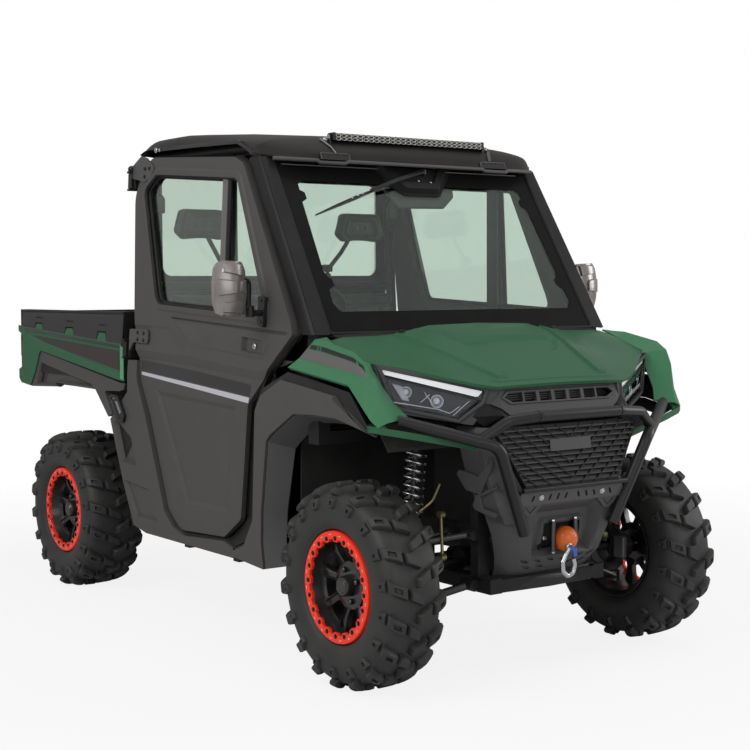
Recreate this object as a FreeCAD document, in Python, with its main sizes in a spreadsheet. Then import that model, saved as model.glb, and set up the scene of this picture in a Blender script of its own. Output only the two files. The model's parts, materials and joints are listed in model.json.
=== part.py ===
import FreeCAD, Part
import math
import os
import Sketcher
from types import SimpleNamespace
from FreeCAD import Placement, Rotation, Vector

# A two-seat side by side utility vehicle with a closed cab and a tipping cargo bed.
# Millimetres. +Z is up, the nose points to -Y, +X is the vehicle's left side.
# The origin is on the ground, midway along and across the whole vehicle.

doc = FreeCAD.newDocument("SideBySide")
sheet = doc.addObject("Spreadsheet::Sheet", "Sizes")

# Driving dimensions: name, value. Overhangs run from an axle to the end of the vehicle.
sizeTable = [
    ("wheelbase", 2150),
    ("frontOverhang", 408),
    ("rearOverhang", 561),
    ("tyreRadius", 345),
    ("rimRadius", 178),
    ("frontTyreWidth", 226),
    ("rearTyreWidth", 262),
    ("frontTrackHalf", 625),
    ("rearTrackHalf", 616),
    ("kingpinHalf", 548),
    ("steerArm", 115),
    ("spindleRadius", 16),
    ("bodyHalfWidth", 700),
    ("doorThickness", 45),
    ("glassThickness", 5),
    ("railHalf", 235),
    ("railSize", 50),
    ("railBottom", 300),
    ("upperRail", 815),
    ("upperRailSize", 40),
    ("guardTube", 20),
    ("cageTube", 22),
    ("hingePin", 6),
    ("hingeOut", 2),
    ("hingeBarrel", 60),
    ("cabTop", 1925),
    ("bedFloor", 950),
    ("bedRail", 1228),
    ("bedWall", 45),
    ("bedLength", 1100),
    ("gateThickness", 32),
    ("seatHalf", 325),
    ("seatWidth", 540),
    ("seatHeight", 810),
    ("steeringWheelRadius", 180),
    ("hitchInside", 51.2),
    ("hitchWall", 6.4),
    ("hitchPin", 8.1),
    ("runGap", 6),
    ("fitGap", 0.3),
]


class Size:
    """A length from the sheet: its value, and the formula that the document keeps."""

    def __init__(self, value, formula):
        self.value = float(value)
        self.formula = formula

    def __float__(self):
        return self.value

    def __neg__(self):
        return Size(-self.value, "-(%s)" % self.formula)

    def __add__(self, other):
        return combined(self, "+", other)

    def __radd__(self, other):
        return combined(other, "+", self)

    def __sub__(self, other):
        return combined(self, "-", other)

    def __rsub__(self, other):
        return combined(other, "-", self)

    def __mul__(self, other):
        return combined(self, "*", other)

    def __rmul__(self, other):
        return combined(other, "*", self)

    def __truediv__(self, other):
        return combined(self, "/", other)


def formulaOf(entry):
    if isinstance(entry, Size):
        return entry.formula
    return "(%.6f)" % entry


def combined(first, sign, second):
    a, b = float(first), float(second)
    value = {"+": a + b, "-": a - b, "*": a * b, "/": a / b if b else 0}[sign]
    return Size(value, "(%s %s %s)" % (formulaOf(first), sign, formulaOf(second)))


size = SimpleNamespace()
for row, (alias, value) in enumerate(sizeTable, start=1):
    sheet.set("A%d" % row, alias)
    sheet.set("B%d" % row, str(value))
    sheet.setAlias("B%d" % row, alias)
    setattr(size, alias, Size(value, "Sizes." + alias))
doc.recompute()

frontAxle = -(size.wheelbase + size.rearOverhang - size.frontOverhang) / 2
rearAxle = frontAxle + size.wheelbase
half = size.bodyHalfWidth
gap = size.fitGap
run = size.runGap
hub = size.tyreRadius
rail = size.railHalf
railInner = rail - size.railSize / 2
railOuter = rail + size.railSize / 2
railTop = size.railBottom + size.railSize
upperTop = size.upperRail + size.upperRailSize


def front(x, y, z):
    """A point given from the front axle."""
    return (x, frontAxle + y, z)


def rear(x, y, z):
    """A point given from the rear axle."""
    return (x, rearAxle + y, z)


def moved(point, x, y, z):
    return (point[0] + x, point[1] + y, point[2] + z)


# --- document objects whose sizes follow the sheet --------------------

pieces = []


def bind(item, path, entry):
    item.setExpression(path, formulaOf(entry))


def piece(label, item):
    """Names an object as a piece of the vehicle, which gets a file of its own."""
    item.Label = label
    pieces.append(item)
    return item


def box(name, low, high):
    """A block between two corners."""
    item = doc.addObject("Part::Box", name)
    for axis, edge in enumerate(("Length", "Width", "Height")):
        bind(item, edge, high[axis] - low[axis])
        bind(item, "Placement.Base." + "xyz"[axis], low[axis])
    return item


def bar(name, start, end, radius):
    """A round bar between two points."""
    first, last = Vector(*start), Vector(*end)
    item = doc.addObject("Part::Cylinder", name)
    item.Placement = Placement(first, Rotation(Vector(0, 0, 1), last - first))
    item.Height = (last - first).Length
    bind(item, "Radius", radius)
    return item


def fuse(name, items):
    item = doc.addObject("Part::MultiFuse", name)
    item.Shapes = items
    item.Refine = True
    return item


def common(name, items):
    item = doc.addObject("Part::MultiCommon", name)
    item.Shapes = items
    item.Refine = True
    return item


def cut(name, base, tool):
    item = doc.addObject("Part::Cut", name)
    item.Base = base
    item.Tool = tool if not isinstance(tool, list) else fuse(name + "_tools", tool)
    item.Refine = True
    return item


def flip(name, source):
    """The same shape on the other side of the vehicle."""
    item = doc.addObject("Part::Mirroring", name)
    item.Source = source
    item.Base = Vector(0, 0, 0)
    item.Normal = Vector(1, 0, 0)
    return item


def pair(name, sources):
    """Pieces of one side with their mirror images, as separate solids."""
    item = doc.addObject("Part::Compound", name)
    item.Links = sources + [flip("%s_right%d" % (name, i), source) for i, source in enumerate(sources)]
    return item


# The three ways to look at an outline: (axes of its two coordinates, normal, plane's role).
views = {
    "side": (Vector(0, 1, 0), Vector(0, 0, 1), Vector(1, 0, 0), "YZ_Plane", "x"),
    "front": (Vector(1, 0, 0), Vector(0, 0, 1), Vector(0, -1, 0), "XZ_Plane", "y"),
    "plan": (Vector(1, 0, 0), Vector(0, 1, 0), Vector(0, 0, 1), "XY_Plane", "z"),
}


def outlineEdges(corners, radii, closed=True):
    """Straight runs joined by tangent arcs; a radius of 0 keeps a sharp corner."""
    points = [Vector(*[float(entry) for entry in corner]) for corner in corners]
    count = len(points)
    starts, ends, arcs = [], [], []
    for i, here in enumerate(points):
        radius = radii[i] if isinstance(radii, (list, tuple)) else radii
        arc, first, last = None, here, here
        if radius > 0 and (closed or 0 < i < count - 1):
            before = (points[i - 1] - here).normalize()
            after = (points[(i + 1) % count] - here).normalize()
            turn = math.pi - before.getAngle(after)
            if turn > 0.01:
                first = here + before * (radius * math.tan(turn / 2))
                last = here + after * (radius * math.tan(turn / 2))
                bisector = (before + after).normalize()
                arc = Part.Arc(first, here + bisector * (radius / math.cos(turn / 2) - radius), last)
        starts.append(first)
        ends.append(last)
        arcs.append(arc)
    edges = []
    for i in range(count):
        if arcs[i]:
            edges.append(arcs[i])
        following = (i + 1) % count
        if following == 0 and not closed:
            break
        if (starts[following] - ends[i]).Length > 1e-6:
            edges.append(Part.LineSegment(ends[i], starts[following]))
    return edges


def drawOutline(sketch, corners, radii):
    """Draws a closed outline; a sharp corner that follows the sheet is held there by constraints."""
    edges = outlineEdges([(u, v, 0) for u, v in corners], radii)
    count = len(edges)
    sketch.addGeometry(edges, False)
    for i in range(count):
        following = (i + 1) % count
        ends = min(((a, b) for a in (1, 2) for b in (1, 2)), key=lambda pair: sketch.getPoint(
            i, pair[0]).distanceToPoint(sketch.getPoint(following, pair[1])))
        sketch.addConstraint(Sketcher.Constraint("Coincident", i, ends[0], following, ends[1]))
    if radii:
        return
    for i, corner in enumerate(corners):
        for kind, entry in zip(("DistanceX", "DistanceY"), corner):
            index = sketch.addConstraint(Sketcher.Constraint(kind, -1, 1, i, 1, float(entry)))
            if isinstance(entry, Size):
                sketch.setExpression("Constraints[%d]" % index, entry.formula)


def outlineSketch(name, view, corners, offset, radii=0):
    """A sketch of an outline, in a plane moved along the view's third axis."""
    across, up, normal, role, axis = views[view]
    sketch = doc.addObject("Sketcher::SketchObject", name + "_outline")
    sketch.Placement = Placement(Vector(), Rotation(across, up, normal, "ZXY"))
    bind(sketch, "Placement.Base." + axis, offset)
    drawOutline(sketch, corners, radii)
    return sketch


def prism(name, view, corners, low, high, radii=0):
    """An outline carried from low to high along the view's third axis."""
    item = doc.addObject("Part::Extrusion", name)
    item.Base = outlineSketch(name, view, corners, low, radii)
    item.DirMode = "Custom"
    item.Dir = Vector(*[abs(part) for part in views[view][2]])
    item.Solid = True
    bind(item, "LengthFwd", high - low)
    return item


def widened(corners, radii, distance):
    """An outline and its corner radii with every edge moved outwards."""
    points = [Vector(float(u), float(v), 0) for u, v in corners]
    edges = [(after - here).normalize() for here, after in zip(points, points[1:] + points[:1])]
    area = sum(here.x * after.y - here.y * after.x for here,
               after in zip(points, points[1:] + points[:1]))
    side = 1 if area > 0 else -1
    widePoints, wideRadii = [], []
    for i, here in enumerate(points):
        before, after = edges[i - 1], edges[i]
        turn = side * (before.x * after.y - before.y * after.x)
        scale = side * distance / (1 + before.x * after.x + before.y * after.y)
        widePoints.append((here.x + scale * (before.y + after.y),
                           here.y - scale * (before.x + after.x)))
        wideRadii.append(max(radii[i] + (distance if turn > 0 else -distance), 0) if radii[i] else 0)
    return widePoints, wideRadii


def tube(name, points, radius, bend):
    """A round bar bent along straight runs and arcs."""
    path = doc.addObject("Part::Feature", name + "_path")
    path.Shape = Part.Wire([edge.toShape() for edge in outlineEdges(points, bend, closed=False)])
    circle = doc.addObject("Part::Circle", name + "_section")
    start = Vector(*points[0])
    circle.Placement = Placement(start, Rotation(Vector(0, 0, 1), Vector(*points[1]) - start))
    bind(circle, "Radius", radius)
    item = doc.addObject("Part::Sweep", name)
    item.Sections = [circle]
    item.Spine = (path, ["Edge%d" % (i + 1) for i in range(len(path.Shape.Edges))])
    item.Solid = True
    return item


def startBody(label):
    return doc.addObject("PartDesign::Body", label)


def originPlane(body, role):
    return next(item for item in body.Origin.OriginFeatures if item.Role == role)


def bodySketch(body, view, offset):
    """A sketch in one of the body's origin planes, moved along the plane's normal."""
    sketch = body.newObject("Sketcher::SketchObject", body.Name + "_sketch")
    sketch.AttachmentSupport = (originPlane(body, views[view][3]), [""])
    sketch.MapMode = "FlatFace"
    bind(sketch, "AttachmentOffset.Base.z", offset)
    return sketch


def feature(body, kind, view, corners, low, high, radii=0):
    """A Pad or a Pocket of an outline, from low to high along the view's third axis."""
    sketch = bodySketch(body, view, low if view != "front" else -high)
    drawOutline(sketch, corners, radii)
    item = body.newObject("PartDesign::" + kind, "%s_%s" % (body.Name, kind.lower()))
    item.Profile = sketch
    item.Reversed = kind == "Pocket"
    bind(item, "Length", high - low)
    return item


def revolved(body, kind, corners, radii=0):
    """A ring about the body's X axis, from an outline (x, radius)."""
    sketch = bodySketch(body, "front", 0)
    drawOutline(sketch, corners, radii)
    item = body.newObject("PartDesign::" + kind, "%s_%s" % (body.Name, kind.lower()))
    item.Profile = sketch
    item.ReferenceAxis = (sketch, ["H_Axis"])
    item.Angle = 360
    return item


def repeatedRound(body, source, count):
    """Repeats a feature in equal steps about the body's X axis."""
    item = body.newObject("PartDesign::PolarPattern", source.Name + "_round")
    item.Originals = [source]
    item.Axis = (originAxis(body, "X_Axis"), [""])
    item.Angle = 360
    item.Occurrences = count
    body.Tip = item
    return item


def originAxis(body, role):
    return next(item for item in body.Origin.OriginFeatures if item.Role == role)


def repeatedAlong(body, source, axis, length, count):
    """Repeats a feature in equal steps along one of the body's axes."""
    item = body.newObject("PartDesign::LinearPattern", source.Name + "_row")
    item.Originals = [source]
    item.Direction = (originAxis(body, axis), [""])
    bind(item, "Length", length)
    item.Occurrences = count
    body.Tip = item
    return item


def rectangle(u0, u1, v0, v1):
    return [(u0, v0), (u1, v0), (u1, v1), (u0, v1)]


# --- the body side: one cross section that every side panel shares ----

# Each level of the side: (inset from the full half width, height).
sideLevels = [(14, 250), (8, 620), (0, 980), (6, 1100), (45, 1870)]


def sideX(z):
    """Half width of the body side at a height."""
    for (lowInset, lowZ), (highInset, highZ) in zip(sideLevels, sideLevels[1:]):
        if z <= highZ:
            share = (z - lowZ) / (highZ - lowZ)
            return half - (lowInset + (highInset - lowInset) * share)


def skin(name, outset, thickness):
    """A wall that follows the body side, from sill to roof; outset moves it outwards."""
    outer = [(half - inset + outset, z) for inset, z in sideLevels]
    inner = [(half - inset + outset - thickness, z) for inset, z in reversed(sideLevels)]
    return prism(name, "front", outer + inner, frontAxle - 700, rearAxle + 900)


# --- wheels -----------------------------------------------------------

# Each axle: name, station, half track, tyre width.
axles = [
    ("front", frontAxle, size.frontTrackHalf, size.frontTyreWidth),
    ("rear", rearAxle, size.rearTrackHalf, size.rearTyreWidth),
]
treadWall = 36
sideWall = 14
spokeWindows = 8
ringScallops = 20

for axleName, axleY, track, width in axles:
    bead = size.rimRadius
    edge = width * 0.36
    outline = [(edge, bead), (width * 0.46, bead + 35), (width * 0.5, bead + 85),
               (width * 0.46, hub - 26),
               (edge, hub)]
    hollow = [(edge - sideWall, bead), (width * 0.46 - sideWall, bead + 80),
              (width * 0.38 - sideWall, hub - treadWall)]
    outline = outline + [(-x, z) for x, z in reversed(outline)]
    hollow = [(-x, z) for x, z in hollow] + list(reversed(hollow))
    tyre = startBody("%s_left_tyre" % axleName)
    revolved(tyre, "Revolution", outline + hollow)

    rim = startBody("%s_left_rim" % axleName)
    seat = bead - gap
    barrel = [(-edge - 12, seat + 9), (-edge - 7, seat + 9), (-edge - 7, seat), (edge + 7, seat),
              (edge + 7, seat + 7), (edge + 18, seat + 7), (edge + 18, seat - 30),
              (edge - 6, seat - 30),
              (edge - 12, seat - 20), (edge - 26, seat - 20), (edge - 44, seat - 90), (edge - 40, 62),
              (edge - 8, 52),
              (edge - 4, 20), (edge - 30, 20), (edge - 30, size.spindleRadius + gap),
              (-20, size.spindleRadius + gap),
              (-20, 105), (-14, 105), (-14, 38), (edge - 60, 38), (edge - 60, 62),
              (edge - 54, seat - 86),
              (edge - 36, seat - 12), (-edge - 2, seat - 7), (-edge - 12, seat - 7)]
    revolved(rim, "Revolution", barrel)
    window = feature(rim, "Pocket", "side", [(-20, 88), (20, 88), (34, 142), (-34, 142)], edge - 70,
                     edge - 18)
    repeatedRound(rim, window, spokeWindows)
    scallop = feature(rim, "Pocket", "side", [(-12, seat - 12), (12, seat - 12), (12, seat + 20),
                                              (-12, seat + 20)],
                      edge + 13, edge + 30)
    repeatedRound(rim, scallop, ringScallops)
    for body in (tyre, rim):
        bind(body, "Placement.Base.x", track)
        bind(body, "Placement.Base.y", axleY)
        bind(body, "Placement.Base.z", hub)
        piece(body.Name, body)
        right = body.Name.replace("left", "right")
        piece(right, flip(right, body))

# --- steering and suspension ------------------------------------------

king = size.kingpinHalf
lowerBall = hub - 112
upperBall = hub + 106
upperPivot = hub + 150
lowerPivot = size.railBottom + size.railSize / 2
armTube = 14
upperArmTube = 12
pivotSleeve = 6
steerEye = front(king - 20, size.steerArm, hub + 5)
tieHeight = hub + 34
tieRadius = 9


def hubCarrier(name, x, track, point):
    """The boss that carries a wheel, and its spindle in the wheel's bore."""
    end = track - 20 - run
    return [bar(name + "_boss", point(x, 0, hub), point(end, 0, hub), 46),
            bar(name + "_spindle", point(end, 0, hub), point(end + run + 34, 0, hub),
                size.spindleRadius)]


post = bar("kingpin_post", front(king, 0, lowerBall + 34), front(king, 0, upperBall - 26), 20)
pins = bar("ball_studs", front(king, 0, lowerBall + 20 + gap), front(king, 0, upperBall - 18 - gap), 9)
steerArm = bar("steering_arm", front(king - 4, 10, hub + 5), steerEye, 11)
eye = bar("steering_arm_eye", moved(steerEye, 0, 0, -11), moved(steerEye, 0, 0, 11), 14)
knuckle = fuse("knuckle", [post, pins, steerArm, eye] + hubCarrier("front_hub", king,
                                                                   size.frontTrackHalf, front))
piece("left_knuckle", knuckle)
piece("right_knuckle", flip("right_knuckle", knuckle))

# The tie rods and the rack between them slide as one bar through the steering gear.
tieEnd = king - 20
rack = bar("rack", front(-tieEnd, size.steerArm, tieHeight), front(tieEnd, size.steerArm, tieHeight),
           tieRadius)
tieEnds = [bar("tie_rod_end%d" % sign, front(sign * (tieEnd - 16), size.steerArm, tieHeight),
               front(sign * (tieEnd + 8), size.steerArm, tieHeight), 12) for sign in (-1, 1)]
piece("tie_rods", fuse("tie_rods", [rack] + tieEnds))
gearCase = bar("gear_case", front(-150, size.steerArm, tieHeight), front(150, size.steerArm, tieHeight),
               24)
gearFeet = [box("gear_foot%d" % i, front(x, 100, tieHeight - 61),
                front(x + 40, 200 - gap, tieHeight - 8))
            for i, x in enumerate((-130, 90))]
gearBore = bar("gear_bore", front(-160, size.steerArm, tieHeight), front(160, size.steerArm, tieHeight),
               tieRadius + gap)
piece("steering_gear", cut("steering_gear", fuse("steering_gear_body", [gearCase] + gearFeet),
                           gearBore))

# Each arm: name, point function, outer joint, pivot stations, tube, boss above and below the joint.
rearKing = size.rearTrackHalf - 75
armTable = [
    ("front_lower", front, king, lowerPivot, lowerBall, (-150, 150), armTube, 20, 14),
    ("front_upper", front, king, upperPivot, upperBall, (-150, -40), upperArmTube, 12, 18),
    ("rear_lower", rear, rearKing, lowerPivot, lowerBall + 6, (-150, 150), armTube, 20, 14),
    ("rear_upper", rear, rearKing, upperPivot, upperBall - 6, (40, 150), upperArmTube, 12, 18),
]
arms = {}
for name, point, outer, pivotZ, ballZ, stations, radius, above, below in armTable:
    inner = railOuter + radius + pivotSleeve + gap
    bars = [bar(name + "_joint", point(outer, 0, ballZ - below), point(outer, 0, ballZ + above),
                radius + 8)]
    for i, station in enumerate(stations):
        bars.append(bar("%s_tube%d" % (name, i), point(inner, station, pivotZ), point(outer, 0, ballZ),
                        radius))
        bars.append(bar("%s_pivot%d" % (name, i), point(inner, station - 28, pivotZ),
                        point(inner, station + 28, pivotZ), radius + pivotSleeve))
    arms[name] = bars

# The shock stands on a cross bar between the two tubes of a lower arm.
shockFootX = 415
shockEye = 16
armReach = 150


def shockTray(name, point, outer, ballZ):
    inner = railOuter + armTube + pivotSleeve + gap
    share = (shockFootX - inner) / (outer - inner)
    z = lowerPivot + (ballZ - lowerPivot) * share
    reach = armReach * (1 - share)
    return bar(name, point(shockFootX, -reach, z), point(shockFootX, reach, z), 10), z


frontTray, frontTrayZ = shockTray("front_tray", front, king, lowerBall)
rearTray, rearTrayZ = shockTray("rear_tray", rear, rearKing, lowerBall + 6)
frontLower = fuse("front_lower_arm", arms["front_lower"] + [frontTray])
frontUpper = fuse("front_upper_arm", arms["front_upper"])
piece("front_arms", pair("front_arms", [frontLower, frontUpper]))
upright = bar("rear_upright", rear(rearKing, 0, lowerBall + 10), rear(rearKing, 0, upperBall - 10), 22)
rearCorner = fuse("rear_corner", arms["rear_lower"] + arms["rear_upper"] + [rearTray, upright]
                  + hubCarrier("rear_hub", rearKing, size.rearTrackHalf, rear))
piece("rear_arms", pair("rear_arms", [rearCorner]))

# A coil-over shock, turned about its own length: eyes, body, spring coils, preload collar, top seat.
coilCount = 7


def shock(name, foot, top):
    line = Vector(*top) - Vector(*foot)
    length = line.Length
    coilStart, coilEnd = 0.32 * length, 0.88 * length
    pitch = (coilEnd - coilStart) / coilCount
    outline = [(0, 0), (0, 15), (0.24 * length, 15), (0.24 * length, 40), (0.28 * length, 40),
               (0.28 * length, 22)]
    for i in range(coilCount):
        start = coilStart + pitch * i
        outline += [(start, 22), (start + pitch * 0.25, 37), (start + pitch * 0.5, 37),
                    (start + pitch * 0.75, 22)]
    outline += [(0.9 * length, 22), (0.9 * length, 38), (0.93 * length, 38), (0.93 * length, 12),
                (length, 12),
                (length, 0)]
    body = startBody(name)
    revolved(body, "Revolution", outline)
    body.Placement = Placement(Vector(*foot), Rotation(Vector(1, 0, 0), line))
    ends = [bar("%s_eye%d" % (name, i), moved(centre, 0, -14, 0), moved(centre, 0, 14, 0), shockEye)
            for i, centre in enumerate((foot, top))]
    return fuse(name + "_whole", [body] + ends)


shockTopX = railOuter + shockEye + gap
frontTop = front(shockTopX + 34, 150, 838)
rearTop = rear(shockTopX + 20, -110, 800)
frontShock = shock("front_shock", front(shockFootX, 30, frontTrayZ + 26 + gap), frontTop)
rearShock = shock("rear_shock", rear(shockFootX, -30, rearTrayZ + 26 + gap), rearTop)
piece("shocks", pair("shocks", [frontShock, rearShock]))

# --- drive ------------------------------------------------------------

engineHalf = 145
shaftZ = hub + 35
shaftBoot = 38


def driveShaft(name, point, outerX):
    """A half shaft from the gearcase flange to the hub, with its inner boot."""
    flange = engineHalf + gap
    return fuse(name, [bar(name + "_bar", point(flange + 1.7, 0, shaftZ), point(outerX, 0, hub + 4),
                           13),
                       bar(name + "_boot", point(flange, 0, shaftZ), point(railInner - 6, 0, shaftZ),
                           shaftBoot)])


piece("half_shafts", pair("half_shafts", [driveShaft("front_shaft", front, king - 42),
                                          driveShaft("rear_shaft", rear, rearKing - 24)]))

crossTop = railTop - 5
engine = startBody("engine_block")
feature(engine, "Pad", "side", [(rearAxle - 540, crossTop + gap), (rearAxle + 160, crossTop + gap),
                                (rearAxle + 160, 560), (rearAxle + 60, 640), (rearAxle - 120, 740),
                                (rearAxle - 540, 740)], -engineHalf, Size(engineHalf, "145"))
piece("engine_block", engine)
gearcase = startBody("front_gearcase")
feature(gearcase, "Pad", "side", [(frontAxle - 60 + gap, 318), (frontAxle + 50, 318),
                                  (frontAxle + 70, 360),
                                  (frontAxle + 60, 430), (frontAxle - 60 + gap, 430)],
        -engineHalf, Size(engineHalf, "145"))
piece("front_gearcase", gearcase)

# --- frame ------------------------------------------------------------

noseBack = -235
frameRear = 330
bedHinge = rear(0, 300, 870)
lugHalf = 13
bodyPost = -640
frameParts = []
for side, sign in (("left", 1), ("right", -1)):
    near, far = sorted((sign * railInner, sign * railOuter), key=float)
    rails = [
        ("lower_rail", front(near, noseBack + gap, size.railBottom), rear(far, frameRear, railTop)),
        ("front_upper_rail", front(near, noseBack + gap, size.upperRail), front(far, 250, upperTop)),
        ("rear_upper_rail", rear(near, bodyPost, 800), rear(far, frameRear, 840)),
        ("body_post", rear(near, bodyPost, railTop - 5), rear(far, bodyPost + 40, 805)),
        ("bed_rest", rear(near, -530, 835), rear(far, -480, 900 - gap)),
    ]
    for axleName, axleY in (("front", frontAxle), ("rear", rearAxle)):
        for station in (-armReach, armReach):
            rails.append(("%s_post%d" % (axleName, station), (near, axleY + station - 20, railTop - 5),
                          (far, axleY + station + 20, 830)))
        rails.append(("%s_pivot_rail" % axleName, (near, axleY - armReach - 20, upperPivot - 22),
                      (far, axleY + armReach + 20, upperPivot + 22)))
    for name, top, height in (("front_tower", frontTop, 855), ("rear_tower", rearTop, 840)):
        inward, outward = sorted((sign * (railOuter - 5), sign * (top[0] - shockEye - gap)), key=float)
        rails.append((name, (inward, top[1] - 30, height - 50), (outward, top[1] + 30, height)))
    for offset in (-lugHalf - 12, lugHalf + 2):
        rails.append(("bed_ear%d" % offset, rear(sign * rail + offset, 280, 835),
                      rear(sign * rail + offset + 10, 320, bedHinge[2] + 15)))
    frameParts += [box("%s_%s" % (side, name.replace("-", "m")), low, high) for name, low,
                   high in rails]
    frameParts.append(bar("%s_bed_pin" % side, rear(sign * rail - 20, 300, bedHinge[2]),
                          rear(sign * rail + 20, 300, bedHinge[2]), 8))

# Each cross member: point function, half width, station from the axle, low, high.
crossTable = [
    (front, rail, noseBack + gap, size.railBottom + 5, crossTop),
    (front, rail, noseBack + gap, 818, 852),
    (front, rail, -100, size.railBottom + 5, crossTop),
    (front, rail, 200, size.railBottom + 5, crossTop),
    (front, rail, 210, 818, 852),
    (front, rail, 700, size.railBottom + 5, crossTop),
    (front, sideX(325) - size.doorThickness - gap, 760, size.railBottom + 5, crossTop),
    (front, sideX(325) - size.doorThickness - gap, 1140, size.railBottom + 5, crossTop),
    (rear, rail, bodyPost, size.railBottom + 5, crossTop),
    (rear, rail, bodyPost, 803, 837),
    (rear, rail, -260, size.railBottom + 5, crossTop),
    (rear, rail, 290, size.railBottom + 5, 400),
    (rear, rail, 290, 803, 837),
]
for i, (point, reach, station, low, high) in enumerate(crossTable):
    frameParts.append(box("cross_member%d" % i, point(-reach, station, low),
                          point(reach, station + 40, high)))

# The receiver takes a square drawbar from behind, locked by a pin across it.
hitchHalf = size.hitchInside / 2
hitchZ = 360
hitchOuter = hitchHalf + size.hitchWall
receiver = startBody("receiver")
feature(receiver, "Pad", "front", rectangle(-hitchOuter, hitchOuter, hitchZ - hitchOuter,
                                            hitchZ + hitchOuter),
        rearAxle + 325, rearAxle + 550)
feature(receiver, "Pocket", "front", rectangle(-hitchHalf, hitchHalf, hitchZ - hitchHalf,
                                               hitchZ + hitchHalf),
        rearAxle + 340, rearAxle + 560)
pinHole = bar("hitch_pin_hole", rear(-40, 520, hitchZ), rear(40, 520, hitchZ), size.hitchPin)
piece("main_frame", fuse("main_frame", frameParts + [cut("drilled_receiver", receiver, pinHole)]))

# --- door outline -----------------------------------------------------

# The outline comes first: the panels round the door leave the running gap.
doorCorners = [
    rear(0, -760, 1846), rear(0, -625, 1715), rear(0, -650, 1236), rear(0, -690, 950),
    rear(0, -760, 818),
    rear(0, -895, 455), rear(0, -990, 378), front(0, 815, 396), front(0, 690, 478), front(0, 618, 905),
    front(0, 446, 1046), front(0, 302, 1163), front(0, 316, 1207), front(0, 668, 1775),
    front(0, 730, 1800)]
doorRadii = [80, 120, 0, 120, 60, 50, 60, 30, 30, 40, 30, 12, 20, 40, 30]


def sideOutline(points):
    return [(point[1], point[2]) for point in points]


doorOuter = half + 60
bodyInside = half - 140
doorSolid = prism("door_solid", "side", sideOutline(doorCorners), bodyInside, doorOuter,
                  doorRadii)
roomCorners, roomRadii = widened(sideOutline(doorCorners), doorRadii, float(run))
doorRoom = prism("door_room", "side", roomCorners, bodyInside, doorOuter, roomRadii)

# --- cab --------------------------------------------------------------

cabInner = half - 106
floorTop = railTop + 6
floor = prism("floor_pan", "side", sideOutline([
    front(0, 256, 1090), front(0, 398, 760), front(0, 404, railTop + gap),
    front(0, 1130, railTop + gap),
    front(0, 1130, floorTop), front(0, 410, floorTop), front(0, 404, 762), front(0, 262, 1092)]),
    -cabInner, cabInner)
piece("floor_pan", floor)

cowlZ = 1164
headerZ = 1790
cage = size.cageTube
cageY = -650
pillarSkin = prism("pillar_skin", "front", [
    (half - 32, 1150), (half - 57, 1800), (half - 105, 1800), (half - 88, 1150)],
                   frontAxle, frontAxle + 900)
pillarBand = prism("pillar_band", "side", sideOutline([
    front(0, 186, cowlZ), front(0, 571, headerZ), front(0, 655, headerZ), front(0, 282, cowlZ)]),
    bodyInside, half)
cagePath = [front(half - 90, 600, 1782), front(half - 102, 700, 1832), rear(half - 116, cageY, 1850),
            rear(half - 86, cageY, 1150),
            rear(half - 86, cageY, 800)]
cageBend = 60
hingePin = size.hingePin
hingeLean = 36
hingeLow = rear(half + size.hingeOut, -594, 1078)
hingeHigh = rear(half + size.hingeOut - hingeLean, -594, 1762)
hingeLine = (Vector(*hingeHigh) - Vector(*hingeLow)).normalize()
barrelHalf = size.hingeBarrel / 2


def alongHinge(centre, length):
    """Two points on the door's hinge line, the same way from a centre."""
    reach = hingeLine * float(length)
    return moved(centre, -reach.x, -reach.y, -reach.z), moved(centre, reach.x, reach.y, reach.z)


def doorHingeMount(name, centre, postX):
    """Two ears and a pin that hold a door's hinge barrel, on an arm from the rear post."""
    ear = barrelHalf + 10
    arm = box(name + "_arm", (postX, centre[1] - 60, centre[2] - ear),
              (half - 60, centre[1] + 12, centre[2] + ear))
    block = box(name + "_ears", (half - 64, centre[1] - 12, centre[2] - ear),
                (centre[0] + 12, centre[1] + 12, centre[2] + ear))
    room = box(name + "_room", moved(centre, -16, -20, -barrelHalf - 1),
               moved(centre, 20, 20, barrelHalf + 1))
    pin = bar(name + "_pin", *alongHinge(centre, barrelHalf + 5), hingePin)
    return [arm, cut(name + "_lugs", block, room), pin]


hoodHinge = front(300, 190, 1140)
halfParts = [
    common("front_pillar", [pillarBand, pillarSkin]),
    box("foot_post", front(half - 98, 206, 790), front(half - 52, 270, 1168)),
    box("foot_beam", front(railOuter + gap, 206, 790), front(half - 52, 258, 835)),
    tube("cage_tube", cagePath, cage, cageBend),
    box("rear_foot", rear(railOuter + gap, cageY + 10, 800), rear(half - 60, cageY + 30, 838)),
    bar("hood_pin", moved(hoodHinge, -20, 0, 0), moved(hoodHinge, 20, 0, 0), hingePin),
    box("hood_ear_in", moved(hoodHinge, -24, -12, -14), moved(hoodHinge, -16, 34, 8)),
    box("hood_ear_out", moved(hoodHinge, 16, -12, -14), moved(hoodHinge, 24, 34, 8)),
] + doorHingeMount("low_hinge", hingeLow, half - 85) + doorHingeMount("high_hinge", hingeHigh,
                                                                      half - 104)
doorPassage = common("door_passage", [doorRoom, skin("door_band", 20, size.doorThickness + 26)])
cabSide = cut("cab_side", fuse("cab_side_parts", halfParts), doorPassage)
crossBars = [
    bar("header_bar", front(102 - half, 650, 1806), front(half - 102, 650, 1806), 18),
    bar("cowl_bar", front(90 - half, 232, 1140), front(half - 90, 232, 1140), 15),
    bar("rear_header_bar", rear(110 - half, cageY, 1835), rear(half - 110, cageY, 1835), 18),
    bar("shoulder_bar", rear(84 - half, cageY, 1330), rear(half - 84, cageY, 1330), 20),
]
piece("cab_frame", fuse("cab_frame", [cabSide, flip("cab_side_right", cabSide)] + crossBars))

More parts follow.
